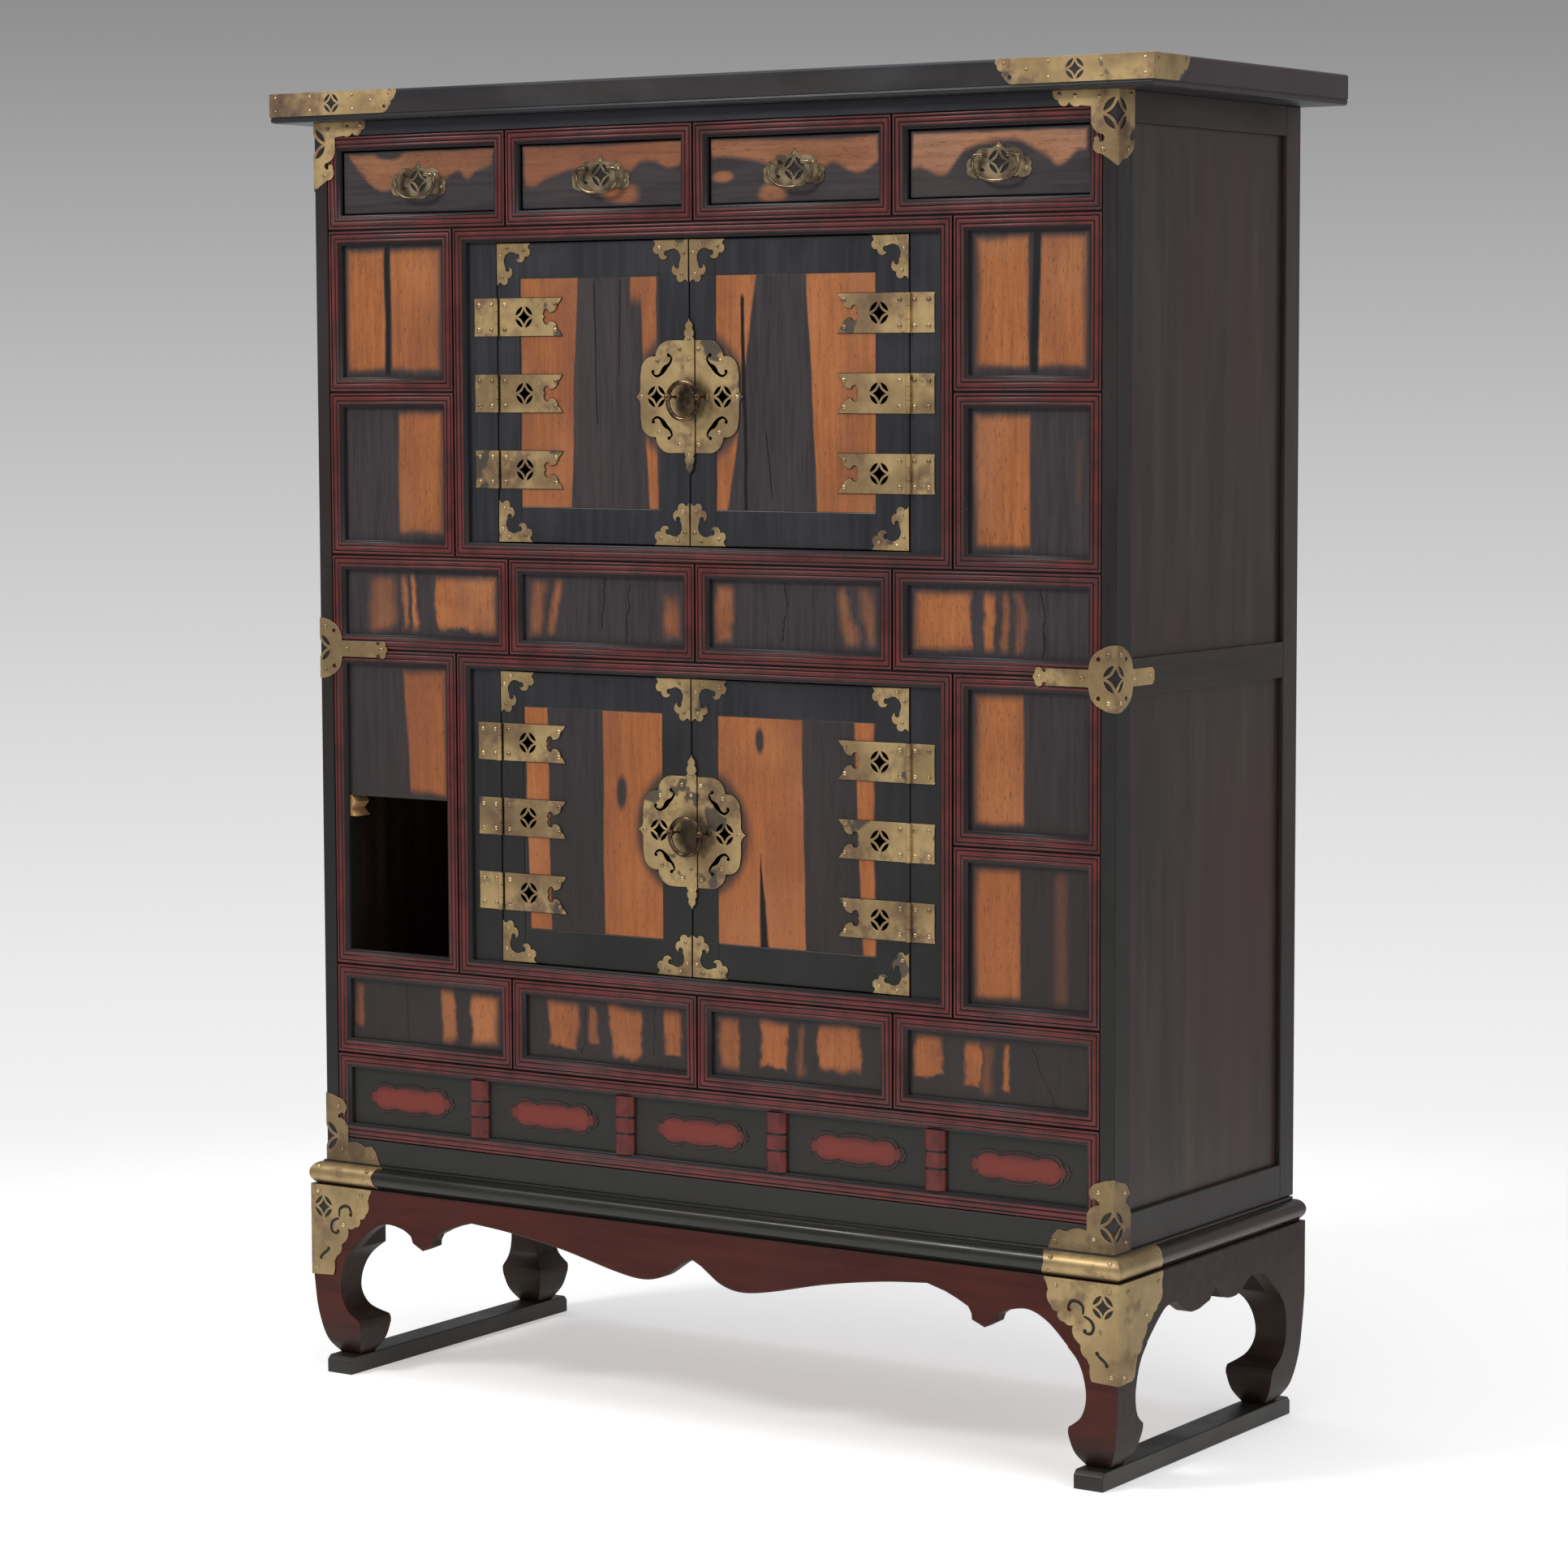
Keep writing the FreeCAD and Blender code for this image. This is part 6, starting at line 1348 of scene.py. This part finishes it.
def hinge_levels(tier):
    low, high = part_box(tier + "_left_door_frame")
    centres = [(box[0].z + box[1].z) / 2 for box in part_boxes("case_hinge_leaves") if box[0].x < 0]
    return [z for z in centres if low.z < z < high.z]


class CHEST_OT_door_brass(ChestPiece, bpy.types.Operator):
    """Cuts the swallow-tailed hinge leaves, cloud braces and pierced lock halves of the doors"""
    bl_idname = "chest.door_brass"
    bl_label = "Door brass"

    def build(self, context):
        leaf = with_mirror(trace([(4.2, HINGE_HALF)] + DOOR_LEAF), 1, -1)[::-1]
        leaf_sheet = cut_sheet(leaf, coin(LEAF_COIN, 0, COIN_RADIUS))
        leaf_grounds = [backing(LEAF_COIN, 0, COIN_GROUND), ground_sheet(leaf, 0.6)]
        arm = trace(BRACE, 16)
        brace_sheet = cut_sheet(arm + [(y, x) for x, y in reversed(arm[1:-1])])
        lock = with_mirror(trace([(0, 60.2)] + LOCK_EDGE, 10), 1, -1)[::-1]
        scrolls = [slot_along(turned_points(LOCK_SCROLL, 1, up), 2.5, 2.1, belly=1.1) for up in (1, -1)]
        lock_sheet = cut_sheet(lock, coin(LOCK_COIN, 0, COIN_RADIUS) + scrolls)
        lock_grounds = [backing(LOCK_COIN, 0, COIN_GROUND), backing(36, 33, 16), backing(36, -33, 16),
                        ground_sheet(lock, 0.7)]
        quarter = with_mirror(trace(LOCK_BAR, 20), -1, 1)
        bar = quarter + [(x, -y) for x, y in reversed(quarter[1:-1])]
        bar_sheet, bar_ground = cut_sheet(bar, [], 2.0, 0.5), ground_sheet(bar, 0.9)
        for door in DOOR_BANDS:
            tier, hand = door.split("_")
            way = 1 if hand == "left" else -1
            hinge_x = PIVOT[door + "_door_hinge"].x
            node, body = door + "_door_brass", door + "_door"
            work, metal, ground = bmesh.new(), bmesh.new(), bmesh.new()
            for z in hinge_levels(tier):
                lay_front(work, leaf_sheet, hinge_x, z, FACE_Y, way)
                for sheet in leaf_grounds:
                    lay_front(ground, sheet, hinge_x, z, FACE_Y, way)
                for z0, z1 in ((-HINGE_HALF, -7.1), (7.1, HINGE_HALF)):
                    barrel(work, hinge_x, z + z0 * MM, z + z1 * MM)
                nail_spots(body, hinge_x, z, LEAF_NAILS, way, size=1.05)
            low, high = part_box(door + "_door_frame")
            for x, inwards in ((low.x, 1), (high.x, -1)):
                for z, up in ((low.z, 1), (high.z, -1)):
                    lay_front(work, brace_sheet, x, z, FACE_Y, inwards, up)
                    nail_spots(body, x, z, BRACE_NAILS, inwards, up, 0.85)
            lock_z = PIVOT[tier + "_ring_swing"].z
            seam_x = high.x if hand == "left" else low.x
            lay_front(work, lock_sheet, seam_x, lock_z, FACE_Y, -way)
            for sheet in lock_grounds:
                lay_front(ground, sheet, seam_x, lock_z, FACE_Y, -way)
            nail_spots(body, seam_x, lock_z, LOCK_NAILS, -way)
            solids = part_boxes(node)
            if hand == "left":
                bar_x = [(low.x + high.x) / 2 for low, high in solids if high.z - low.z > 0.15][0]
                lay_front(work, bar_sheet, bar_x, lock_z, BRASS_Y)
                lay_front(ground, bar_ground, bar_x, lock_z, BRASS_Y)
                nail_spots(body, bar_x, lock_z, BAR_NAILS, size=0.8, y=FACE_Y - 3.2 * MM)
            stud_x = [(low.x + high.x) / 2 for low, high in solids if low.y < FACE_Y - 0.015][0]
            turned(metal, STUD_STEM + ball(4.3, 17.2, -70), (stud_x, BRASS_Y, lock_z), (0, -1, 0))
            piece_of(ground, "ground_of_" + door, "dark", body, SLOT_OF[node])
            piece_of(metal, "fittings_of_" + door, "bronze", body, SLOT_OF[node], (), TURNED_ANGLE)
            dress(work, node, "brass")
        for tier in ("upper", "lower"):
            ring, low, high = tier + "_ring", *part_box(tier + "_ring")
            middle = (low + high) / 2
            path = [middle + Vector((20.0 * MM * math.cos(a), 0, 20.0 * MM * math.sin(a)))
                    for a in turns(48)]
            work = bmesh.new()
            wire(work, path, 2.5, (0, -1, 0), True)
            dress(work, ring, "bronze", TURNED_ANGLE)


class CHEST_OT_case_brass(ChestPiece, bpy.types.Operator):
    """Folds the pierced corner plates, board caps and leg plates and lays the case's hinge leaves"""
    bl_idname = "chest.case_brass"
    bl_label = "Case brass"

    def fold(self, work, sheet, x, z, y, up, spots, out=SHEET_MM):
        for way in (1, -1):
            lay(work, sheet, round_corner(x, z, y, way, up), way * up < 0, FOLD_LINES)
            for u, v in spots:
                if u < 0:
                    nail("case", (way * (x + u * MM), y - out * MM, z + up * v * MM))
                else:
                    nail("case", (way * (x + out * MM), y + u * MM, z + up * v * MM), (way, 0, 0))

    def build(self, context):
        self.hinge_leaves()
        self.corner_plates()
        self.board_caps()
        self.stand_plates()

    def hinge_leaves(self):
        work = bmesh.new()
        outline = trace([(1.2, HINGE_HALF), (30.4, HINGE_HALF), (31.3, 19.4), (30.5, 17.2), (30.5, 0)])
        sheet = cut_sheet(with_mirror(outline, 1, -1)[::-1])
        for low, high in part_boxes("case_hinge_leaves"):
            way = 1 if low.x > 0 else -1
            hinge_x, z = way * PIVOT["upper_right_door_hinge"].x, (low.z + high.z) / 2
            lay_front(work, sheet, hinge_x, z, FACE_Y, way)
            barrel(work, hinge_x, z - 6.8 * MM, z + 6.8 * MM)
            nail_spots("case", hinge_x, z, CASE_LEAF_NAILS, way, size=1.05)
        dress(work, "case_hinge_leaves", "brass")

    def corner_plates(self):
        work = bmesh.new()
        x, y = CORNER_X, FRONT_Y
        top = unfolded(
            [(74.6, 0), ((74.6, 5.2), (68.5, 9.6)), ((63, 15.8), (55.7, 11.9)), ((49.5, 16.6), (43, 15.6)),
             (30.3, 17),
             (30.2, 34.1), ((26.9, 39.9), (19.5, 45)), ((15.2, 50.4), (21, 51.4)),
             ((24.2, 46.8), (26.6, 51.4)),
             ((27.6, 59), (18.8, 64.3)), ((9.8, 69.6), (0, 76.6))],
            [(32.4, 0), (32.4, 38.2), (24.3, 44.4), ((23.2, 49.6), (27.2, 50.6)), (31.5, 49.8), (30.4, 59.1),
             ((24.5, 63.9), (16.3, 69)), ((8, 71), (0, 76.6))])
        spots = [(-67, -4), (-49, -6), (-21, -8), (-16, -59.6), (20, -59), (25, -5)]
        self.fold(work, cut_sheet(top, coin(0, -24.2, 16.3)), x, CASE_TOP, y, 1, spots)
        foot = unfolded(
            [(77.5, 0), ((75, 6), (73.1, 10.2)), ((72, 14), (68.7, 17.2)), ((65, 20.4), (62, 19.8)),
             (55.3, 19.2),
             ((47, 23), (31.8, 22)), (31.8, 40.5), (27.4, 46.2), (20.8, 50.1), ((17, 52.6), (19.6, 54.1)),
             ((22, 56), (25.9, 54.1)), (28.9, 60.3), ((29.4, 64), (27.5, 66.9)), ((24, 71), (18.7, 72.9)),
             (9.9, 76),
             (0, 77.8)],
            [(32.4, 0), (32.4, 39.5), (29.4, 45.6), (21.5, 51.4), ((24, 56), (30.6, 58.4)), (26.6, 65.5),
             ((21, 71), (13.6, 72.7)), (0, 77.8)])
        spots = [(-18.5, -63.3), (-68.9, -7.6), (-23.2, -13.6), (19, -62), (22, -10)]
        self.fold(work, cut_sheet(foot, coin(0, -28.3, 16)), x, CASE_FOOT, y, -1, spots)
        tier_z = sum(low.z + high.z for low,
                     high in part_boxes("case_corner_plates") if 0.5 < low.z < 1.2) / 4
        middle = unfolded_both(
            [(0, 34.4), ((9.5, 33.2), (17, 30)), ((26, 24), (30.4, 16)), (31.9, 8.9), (82, 8.9),
             ((84, 5), (86, 7.6)),
             ((92, 9.4), (94.5, 4.5)), (97.2, 0)],
            [(0, 34.4), ((10, 33.2), (18, 29.5)), ((28, 22), (31.5, 15)), (33, 8.8), (74, 8.8), (77.6, 4.4),
             (77.6, 0)])
        holes = coin(0, 0, 14.4) + [disc(x_, y_, 2.5) for x_ in (-20, 19) for y_ in (20, -20)]
        spots = [(-8, 24.5), (-8, -24.5), (8, 24.5), (8, -24.5), (-39, 0), (-89, 0), (36, 0), (70, 0)]
        self.fold(work, cut_sheet(middle, holes), x, tier_z, y, 1, spots)
        dress(work, "case_corner_plates", "brass")

    def board_caps(self):
        work = bmesh.new()
        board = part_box("top_board")
        cap = unfolded(
            [(181, 0), ((182.6, 3), (180.4, 6.4)), ((177, 12.4), (171, 12.2)), ((174.6, 15), (172, 18.6)),
             ((168, 24), (161, 26.0)), (0, 26.0)],
            [(74.4, 0), ((71.5, 9), (62, 18)), ((56, 23.5), (48, 26.0)), (0, 26.0)])
        holes = coin(-89.5, -13, 10.4) + [disc(-165, -19, 2.2)]
        spots = [(-u, v) for u in (9, 59, 120) for v in (-5, -20.5)] + [(-146, -12), (9, -5), (66, -3.4),
                                                                        (8, -20.5),
                                                                        (50, -16), (-172, -5)]
        self.fold(work, cut_sheet(cap, holes, 0.6, 0.15), board[1].x, board[1].z, board[0].y, 1, spots, -0.5)
        dress(work, "top_board_caps", "brass")

    def stand_plates(self):
        work = bmesh.new()
        plate = unfolded(
            [(88, 0.3), (88, 2), ((84.6, 8), (83, 13.6)), ((84.2, 22), (79.6, 29.6)),
             ((76, 34.6), (71.2, 35.2)),
             ((70.6, 42), (63.6, 45.3)), ((58, 48.4), (53.4, 47.8)), ((53.4, 57), (49.4, 63)), (44, 67.4),
             ((42.6, 76), (36.8, 81)), (33.2, 88), ((33.4, 97), (31, 104)), (0, 105.6)],
            [(91, 0.3), (91, 4.7), ((89, 11), (89.2, 18)), ((88, 29), (80, 34.6)), ((76, 40), (70.6, 40.8)),
             ((66, 48), (58.6, 50)), ((55, 60), (48.6, 66.4)), ((45, 76), (37.6, 79.2)), (33, 93),
             ((31, 101), (27, 104.5)), (0, 105.6)])
        scroll = [(-56.2, -33.4), (-58.5, -29.1), (-54.8, -22.8), (-47.4, -22.6), (-41.5, -27.2),
                  (-41.5, -35.6)]
        holes = coin(-18.1, -25.5, 12.2) + [
            slot_along(scroll, 3.0, 2.4, (True, False)),
            slot_along([(-41.0, -36.8), (-32.7, -40.4), (-29, -46.5), (-31.1, -53.2), (-37, -54.6),
                        (-40, -50.4)], 3.0,
                       2.4, (False, True)),
            slot_along([(-25.9, -72.1), (-22.3, -76.8), (-14.9, -82.4), (-12.7, -87.3)], 2.7, 2.3)]
        spots = [(-73.8, -8), (-10.5, -8), (-47.4, -44), (17, -10), (82, -10.6), (-8, -97), (9, -97),
                 (56, -40)]
        self.fold(work, cut_sheet(plate, holes), LEG_X, LEG_TOP, LEG_FRONT_Y, 1, spots)
        ground = bmesh.new()
        for x_, y_, reach in ((-18.1, -25.5, 13), (-47, -28, 10), (-36, -46, 10), (-20, -79, 10.5)):
            for way in (1, -1):
                lay(ground, backing(x_, y_, reach), round_corner(LEG_X, LEG_TOP, LEG_FRONT_Y, way), way < 0)
        piece_of(ground, "ground_of_stand_plates", "dark", "case", SLOT_OF["stand_plates"])
        self.moulding_caps(work)
        dress(work, "stand_plates", "brass")

    def moulding_caps(self, work):
        """Wraps a thin shell with notched ends round each front corner of the base moulding."""
        rail_low, rail_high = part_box("base_moulding")
        profile = [(11.0, 24.2)] + [(11 - 11 * math.cos(math.radians(a)),
                                     12.3 + 11.8 * math.sin(math.radians(a)))
                                    for a in range(84, -61, -12)] + [(7.0, 1.0)]
        for way in (1, -1):
            outer, inner = [], []
            for k, (inset, up) in enumerate(profile):
                share = k / (len(profile) - 1)
                notch = 7.0 * (1 - abs(2 * share - 1)) ** 0.8
                turn = math.atan2(up - 12.3, 11 - inset)
                for grid, grow in ((outer, 1.0), (inner, -0.3)):
                    i, z = inset - grow * math.cos(turn), up + grow * math.sin(turn)
                    corner = Vector((rail_high.x - i * MM, rail_low.y + i * MM,
                                     rail_low.z + max(z, 0.25) * MM))
                    ends = (Vector((rail_high.x - (96 - notch) * MM, corner.y, corner.z)),
                            Vector((corner.x, rail_low.y + (96 - notch) * MM, corner.z)))
                    row = [ends[0].lerp(corner, t / 8) for t in range(9)] + [corner.lerp(ends[1], t / 8)
                                                                              for t in range(1, 9)]
                    grid.append([work.verts.new((way * p.x, p.y, p.z)) for p in row])
            faces, last = [], len(profile) - 1
            for grid in (outer, inner):
                for a, b in zip(grid, grid[1:]):
                    faces += [work.faces.new((a[k], a[k + 1], b[k + 1], b[k])) for k in range(16)]
            for k in range(16):
                for row in (0, last):
                    faces.append(work.faces.new((outer[row][k], outer[row][k + 1], inner[row][k + 1],
                                                 inner[row][k])))
            for k in range(last):
                for end in (0, 16):
                    faces.append(work.faces.new((outer[k][end], outer[k + 1][end], inner[k + 1][end],
                                                 inner[k][end])))
            bmesh.ops.recalc_face_normals(work, faces=faces)
            for a, up in ((12, 20.5), (82, 20.5), (84, 6)):
                nail("case", (way * (rail_high.x - a * MM), rail_low.y + 1.2 * MM, rail_low.z + up * MM),
                     (0, -1, 0.5 if up > 12 else -0.4))
            nail("case", (way * (rail_high.x - 1.2 * MM), rail_low.y + 82 * MM, rail_low.z + 19 * MM),
                 (way, 0, 0.4))


PULL_POST = [(0, -0.2), (2.7, -0.2), (2.5, 0.7), (1.5, 1.6), (1.3, 5.6), (0, 5.6)]


class CHEST_OT_pulls(ChestPiece, bpy.types.Operator):
    """Cuts the drawers' cloud plates and bends their drop bails"""
    bl_idname = "chest.pulls"
    bl_label = "Drawer pulls"

    def build(self, context):
        left = trace([(0, 22), ((-5, 15.6), (-13, 14)), ((-20, 14.4), (-27, 10)), (-29.6, 4),
                      ((-37, 1.6), (-37.4, -6)), ((-37, -12.6), (-31.6, -15.4)), ((-27, -16.6), (-23, -14.6)),
                      ((-12, -16.6), (0, -17))], 10)
        outline = with_mirror(left, -1, 1)
        holes = coin(0, 0, 12)
        for way in (1, -1):
            holes.append(trace([(way * 16.5, -8.4), ((way * 19.4, -6.4), (way * 23, -6.6)),
                                ((way * 19.6, -9.6), (way * 16.5, -8.4))], 14)[:-1])
        sheet, pull_ground = cut_sheet(outline[::-1], holes), backing(0, 0, 12.8)
        for number in range(1, 5):
            plate, bail = "drawer_%d_pull" % number, "drawer_%d_bail" % number
            body, pivot = "drawer_%d" % number, PIVOT["drawer_%d_bail_swing" % number]
            x, z, face = pivot.x, pivot.z - 6.7 * MM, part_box("drawer_%d_front" % number)[0].y
            brass_y = face - SHEET_MM * MM
            work, posts = bmesh.new(), bmesh.new()
            lay_front(work, sheet, x, z, face)
            for way in (1, -1):
                eye = Vector((x + way * 17.85 * MM, brass_y, pivot.z))
                turned(posts, PULL_POST, eye, (0, -1, 0), 12)
                rings = [(0, -3.6)]
                for k in range(3):
                    middle = (k - 1) * 2.4
                    rings += [(2.1, middle - 1.15), (2.65, middle - 0.6), (2.65, middle + 0.6),
                              (2.1, middle + 1.15)]
                turned(posts, rings + [(0, 3.6)], (eye.x, pivot.y, pivot.z), (1, 0, 0), 14)
                nail_spots(body, x, z, [(32.4, -7)], way, size=0.8, y=brass_y)
                nail_spots(body, x, z, [(24, 6)], way, size=0.7, y=brass_y)
            nail_spots(body, x, z, [(0, 15)], size=0.7, y=brass_y)
            ground = bmesh.new()
            lay_front(ground, pull_ground, x, z, face)
            piece_of(ground, "ground_of_" + body, "dark", BODY_OF[plate], SLOT_OF[plate])
            piece_of(posts, "posts_of_" + body, "bail", BODY_OF[plate], SLOT_OF[plate], (), TURNED_ANGLE)
            dress(work, plate, "pull")
            half = trace([(-19.5, 0), (-23.4, 0.2), [(-26.4, -2.4), (-27.4, -8.5), (-25.2, -16),
                                                     (-18.5, -22.2),
                                                    (-9.6, -25.4), (0, -26)]], steps_between=5)
            path = [Vector((x + a * MM, pivot.y, pivot.z + b * MM)) for a, b in with_mirror(half, -1, 1)]
            work = bmesh.new()
            wire(work, path, 1.85, (0, -1, 0))
            dress(work, bail, "bail", TURNED_ANGLE)


class CHEST_OT_nails(ChestPiece, bpy.types.Operator):
    """Drives a dome nail at every noted place, one mesh for each moving body"""
    bl_idname = "chest.nails"
    bl_label = "Dome nails"

    def nail_group(self):
        group = bpy.data.node_groups.new("dome_nails", "GeometryNodeTree")
        group.interface.new_socket("Geometry", in_out="INPUT", socket_type="NodeSocketGeometry")
        wanted = (("Head Radius", "NodeSocketFloat"), ("Head Rise", "NodeSocketFloat"),
                  ("Sides", "NodeSocketInt"),
                  ("Rows", "NodeSocketInt"), ("Finish", "NodeSocketMaterial"))
        for name, kind in wanted:
            group.interface.new_socket(name, in_out="INPUT", socket_type=kind)
        group.interface.new_socket("Geometry", in_out="OUTPUT", socket_type="NodeSocketGeometry")
        given = group.nodes.new("NodeGroupInput").outputs
        head = add(group, "GeometryNodeMeshUVSphere", {"Segments": given["Sides"], "Rings": given["Rows"],
                                                        "Radius": given["Head Radius"]})
        rise = calc(group, "DIVIDE", given["Head Rise"], given["Head Radius"])
        flatten = add(group, "ShaderNodeCombineXYZ", {"X": 1.0, "Y": 1.0, "Z": rise}).outputs[0]
        flat = add(group, "GeometryNodeTransform", {"Geometry": head.outputs["Mesh"], "Scale": flatten})
        facing = add(group, "GeometryNodeInputNamedAttribute", {"Name": "facing"}, data_type="FLOAT_VECTOR")
        size = add(group, "GeometryNodeInputNamedAttribute", {"Name": "size"}, data_type="FLOAT")
        turn = add(group, "FunctionNodeAlignRotationToVector", {"Vector": facing.outputs["Attribute"]},
                   axis="Z")
        spread = add(group, "GeometryNodeInstanceOnPoints",
                     {"Points": given["Geometry"], "Instance": flat.outputs[0], "Rotation": turn.outputs[0],
                      "Scale": size.outputs["Attribute"]})
        real = add(group, "GeometryNodeRealizeInstances", {"Geometry": spread.outputs[0]})
        smooth = add(group, "GeometryNodeSetShadeSmooth", {"Geometry": real.outputs[0]})
        painted = add(group, "GeometryNodeSetMaterial", {"Geometry": smooth.outputs[0],
                                                         "Material": given["Finish"]})
        out = group.nodes.new("NodeGroupOutput")
        group.links.new(painted.outputs[0], out.inputs["Geometry"])
        return group

    def build(self, context):
        group = self.nail_group()
        sockets = {item.name: item.identifier
                   for item in group.interface.items_tree if item.in_out == "INPUT"}
        for body, places in nails.items():
            points = bpy.data.meshes.new("nail_places")
            points.from_pydata([spot[0] for spot in places], [], [])
            points.attributes.new("facing", "FLOAT_VECTOR", "POINT")
            points.attributes.new("size", "FLOAT", "POINT")
            points.attributes["facing"].data.foreach_set("vector",
                                                         [part for spot in places for part in spot[1]])
            points.attributes["size"].data.foreach_set("value", [spot[2] for spot in places])
            thing = bpy.data.objects.new("nail_places", points)
            grow = thing.modifiers.new("nails", "NODES")
            grow.node_group = group
            values = {"Head Radius": sizes().nail_radius, "Head Rise": sizes().nail_rise, "Sides": 10,
                      "Rows": 6,
                      "Finish": coat("nail")}
            for name, value in values.items():
                grow[sockets[name]] = value
            made = placed("nails_of_" + body, evaluated(thing))
            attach(made, body)


SENSOR_MM = 36.0
FOCAL_PIXELS, FRAME_PIXELS = 5468.3, 1932
CAMERA_PLACE = (2.7213, -4.10115, 1.1462)
CAMERA_SWING = (0.09083033, 0.02383688, -0.58796351)        # axis of the camera's turn, as long as its angle


class CHEST_OT_studio(ChestPiece, bpy.types.Operator):
    """Sets the floor, the backdrop's light, the lamps and the camera"""
    bl_idname = "chest.studio"
    bl_label = "Studio"

    def lamp(self, name, place, aim, size, power, shade=(1, 1, 1)):
        data = bpy.data.lights.new(name, "AREA")
        data.shape = "RECTANGLE"
        data.size, data.size_y = size
        data.energy = power
        data.color = shade
        lamp = placed(name, data)
        lamp.location = place
        lamp.rotation_euler = (Vector(aim) - Vector(place)).to_track_quat("-Z", "Y").to_euler()

    def floor(self):
        work = bmesh.new()
        bmesh.ops.create_circle(work, cap_ends=True, segments=96, radius=4.0)
        material, tree, where = new_material("floor_white", 0.9, specular=0.0)
        shader = tree.nodes["Principled BSDF"]
        shader.inputs["Base Color"].default_value = (0.9, 0.9, 0.9, 1.0)
        shader.inputs["Emission Color"].default_value = (1.0, 1.0, 1.0, 1.0)
        shader.inputs["Emission Strength"].default_value = 0.4
        far = length(tree, where)
        clear = tree.nodes.new("ShaderNodeBsdfTransparent").outputs[0]
        mix = add(tree, "ShaderNodeMixShader", {0: soft_step(tree, far, 0.95, 2.2), 1: shader.outputs[0],
                                                2: clear})
        tree.links.new(mix.outputs[0], tree.nodes["Material Output"].inputs["Surface"])
        floor = placed("floor", mesh_from(work, "floor", [material]))

    def world(self):
        world = bpy.data.worlds.new("studio")
        bpy.context.scene.world = world
        world.use_nodes = True
        tree = world.node_tree
        tree.nodes.clear()
        ray = add(tree, "ShaderNodeTexCoord").outputs["Generated"]
        up = axes(tree, ray)["Z"]
        ramp = tree.nodes.new("ShaderNodeValToRGB")
        share = add(tree, "ShaderNodeMapRange", {"Value": up, "From Min": -0.25,
                                                 "From Max": 0.0817}).outputs[0]
        tree.links.new(share, ramp.inputs[0])
        ramp.color_ramp.elements[0].color = tint(255, 255, 255) + (1.0,)
        ramp.color_ramp.elements[1].color = tint(143, 143, 143) + (1.0,)
        for place, grey in ((0.193, 248), (0.354, 235), (0.516, 218), (0.679, 197), (0.841, 172),
                            (0.98, 146)):
            ramp.color_ramp.elements.new(place).color = tint(grey, grey, grey) + (1.0,)
        light = tree.nodes.new("ShaderNodeLightPath")
        seen = add(tree, "ShaderNodeBackground", {"Color": ramp.outputs[0], "Strength": 1.0})
        room = add(tree, "ShaderNodeBackground", {"Color": (0.94, 0.96, 1.0, 1.0), "Strength": 0.4})
        mix = add(tree, "ShaderNodeMixShader", {0: light.outputs["Is Camera Ray"], 1: room.outputs[0],
                                                2: seen.outputs[0]})
        out = tree.nodes.new("ShaderNodeOutputWorld")
        tree.links.new(mix.outputs[0], out.inputs["Surface"])

    def camera(self):
        data = bpy.data.cameras.new("camera")
        data.sensor_width = SENSOR_MM
        data.lens = FOCAL_PIXELS / FRAME_PIXELS * SENSOR_MM
        data.clip_end = 100.0
        camera = placed("camera", data)
        swing = Vector(CAMERA_SWING)
        seen = Matrix(((1, 0, 0), (0, 0, -1), (0, 1, 0))) @ Matrix.Rotation(swing.length, 3,
                                                                            swing.normalized())
        turn = Matrix((seen[0], -seen[1], -seen[2])).transposed()
        camera.matrix_world = Matrix.Translation(CAMERA_PLACE) @ turn.to_4x4()
        bpy.context.scene.camera = camera

    def build(self, context):
        self.floor()
        self.world()
        self.camera()
        self.lamp("key", (-2.3, -3.5, 3.9), (0, 0, 0.8), (1.1, 1.1), 100, (1.0, 0.98, 0.96))
        self.lamp("fill", (3.6, -1.6, 2.4), (0.2, 0, 0.7), (1.8, 2.6), 30, (1.0, 0.98, 0.97))
        self.lamp("top", (0.2, -0.6, 4.2), (0, 0, 0), (3.5, 3.5), 65)
        bpy.context.scene.view_settings.view_transform = "Standard"


PIECES = (CHEST_OT_carcass, CHEST_OT_panels, CHEST_OT_mouldings, CHEST_OT_cartouches, CHEST_OT_stand,
          CHEST_OT_door_brass, CHEST_OT_case_brass, CHEST_OT_pulls, CHEST_OT_nails, CHEST_OT_studio)


class CHEST_PT_sidebar(bpy.types.Panel):
    """The chest's pieces and finishes in the sidebar"""
    bl_idname = "CHEST_PT_sidebar"
    bl_label = "Chest"
    bl_space_type = "VIEW_3D"
    bl_region_type = "UI"
    bl_category = "Chest"

    def draw(self, context):
        for group in (context.scene.chest_finish, context.scene.chest_sizes):
            box = self.layout.box()
            for name in group.bl_rna.properties.keys():
                if name not in ("rna_type", "name"):
                    box.prop(group, name)
        for piece_class in PIECES:
            self.layout.operator(piece_class.bl_idname)


CLASSES = (ChestFinish, ChestSizes) + PIECES + (CHEST_PT_sidebar,)


def register():
    for entry in CLASSES:
        bpy.utils.register_class(entry)
    bpy.types.Scene.chest_finish = bpy.props.PointerProperty(type=ChestFinish)
    bpy.types.Scene.chest_sizes = bpy.props.PointerProperty(type=ChestSizes)


def unregister():
    del bpy.types.Scene.chest_sizes
    del bpy.types.Scene.chest_finish
    for entry in reversed(CLASSES):
        bpy.utils.unregister_class(entry)


def main():
    register()
    for piece_class in PIECES:
        group, name = piece_class.bl_idname.split(".")
        getattr(getattr(bpy.ops, group), name)()


if __name__ == "__main__":
    main()
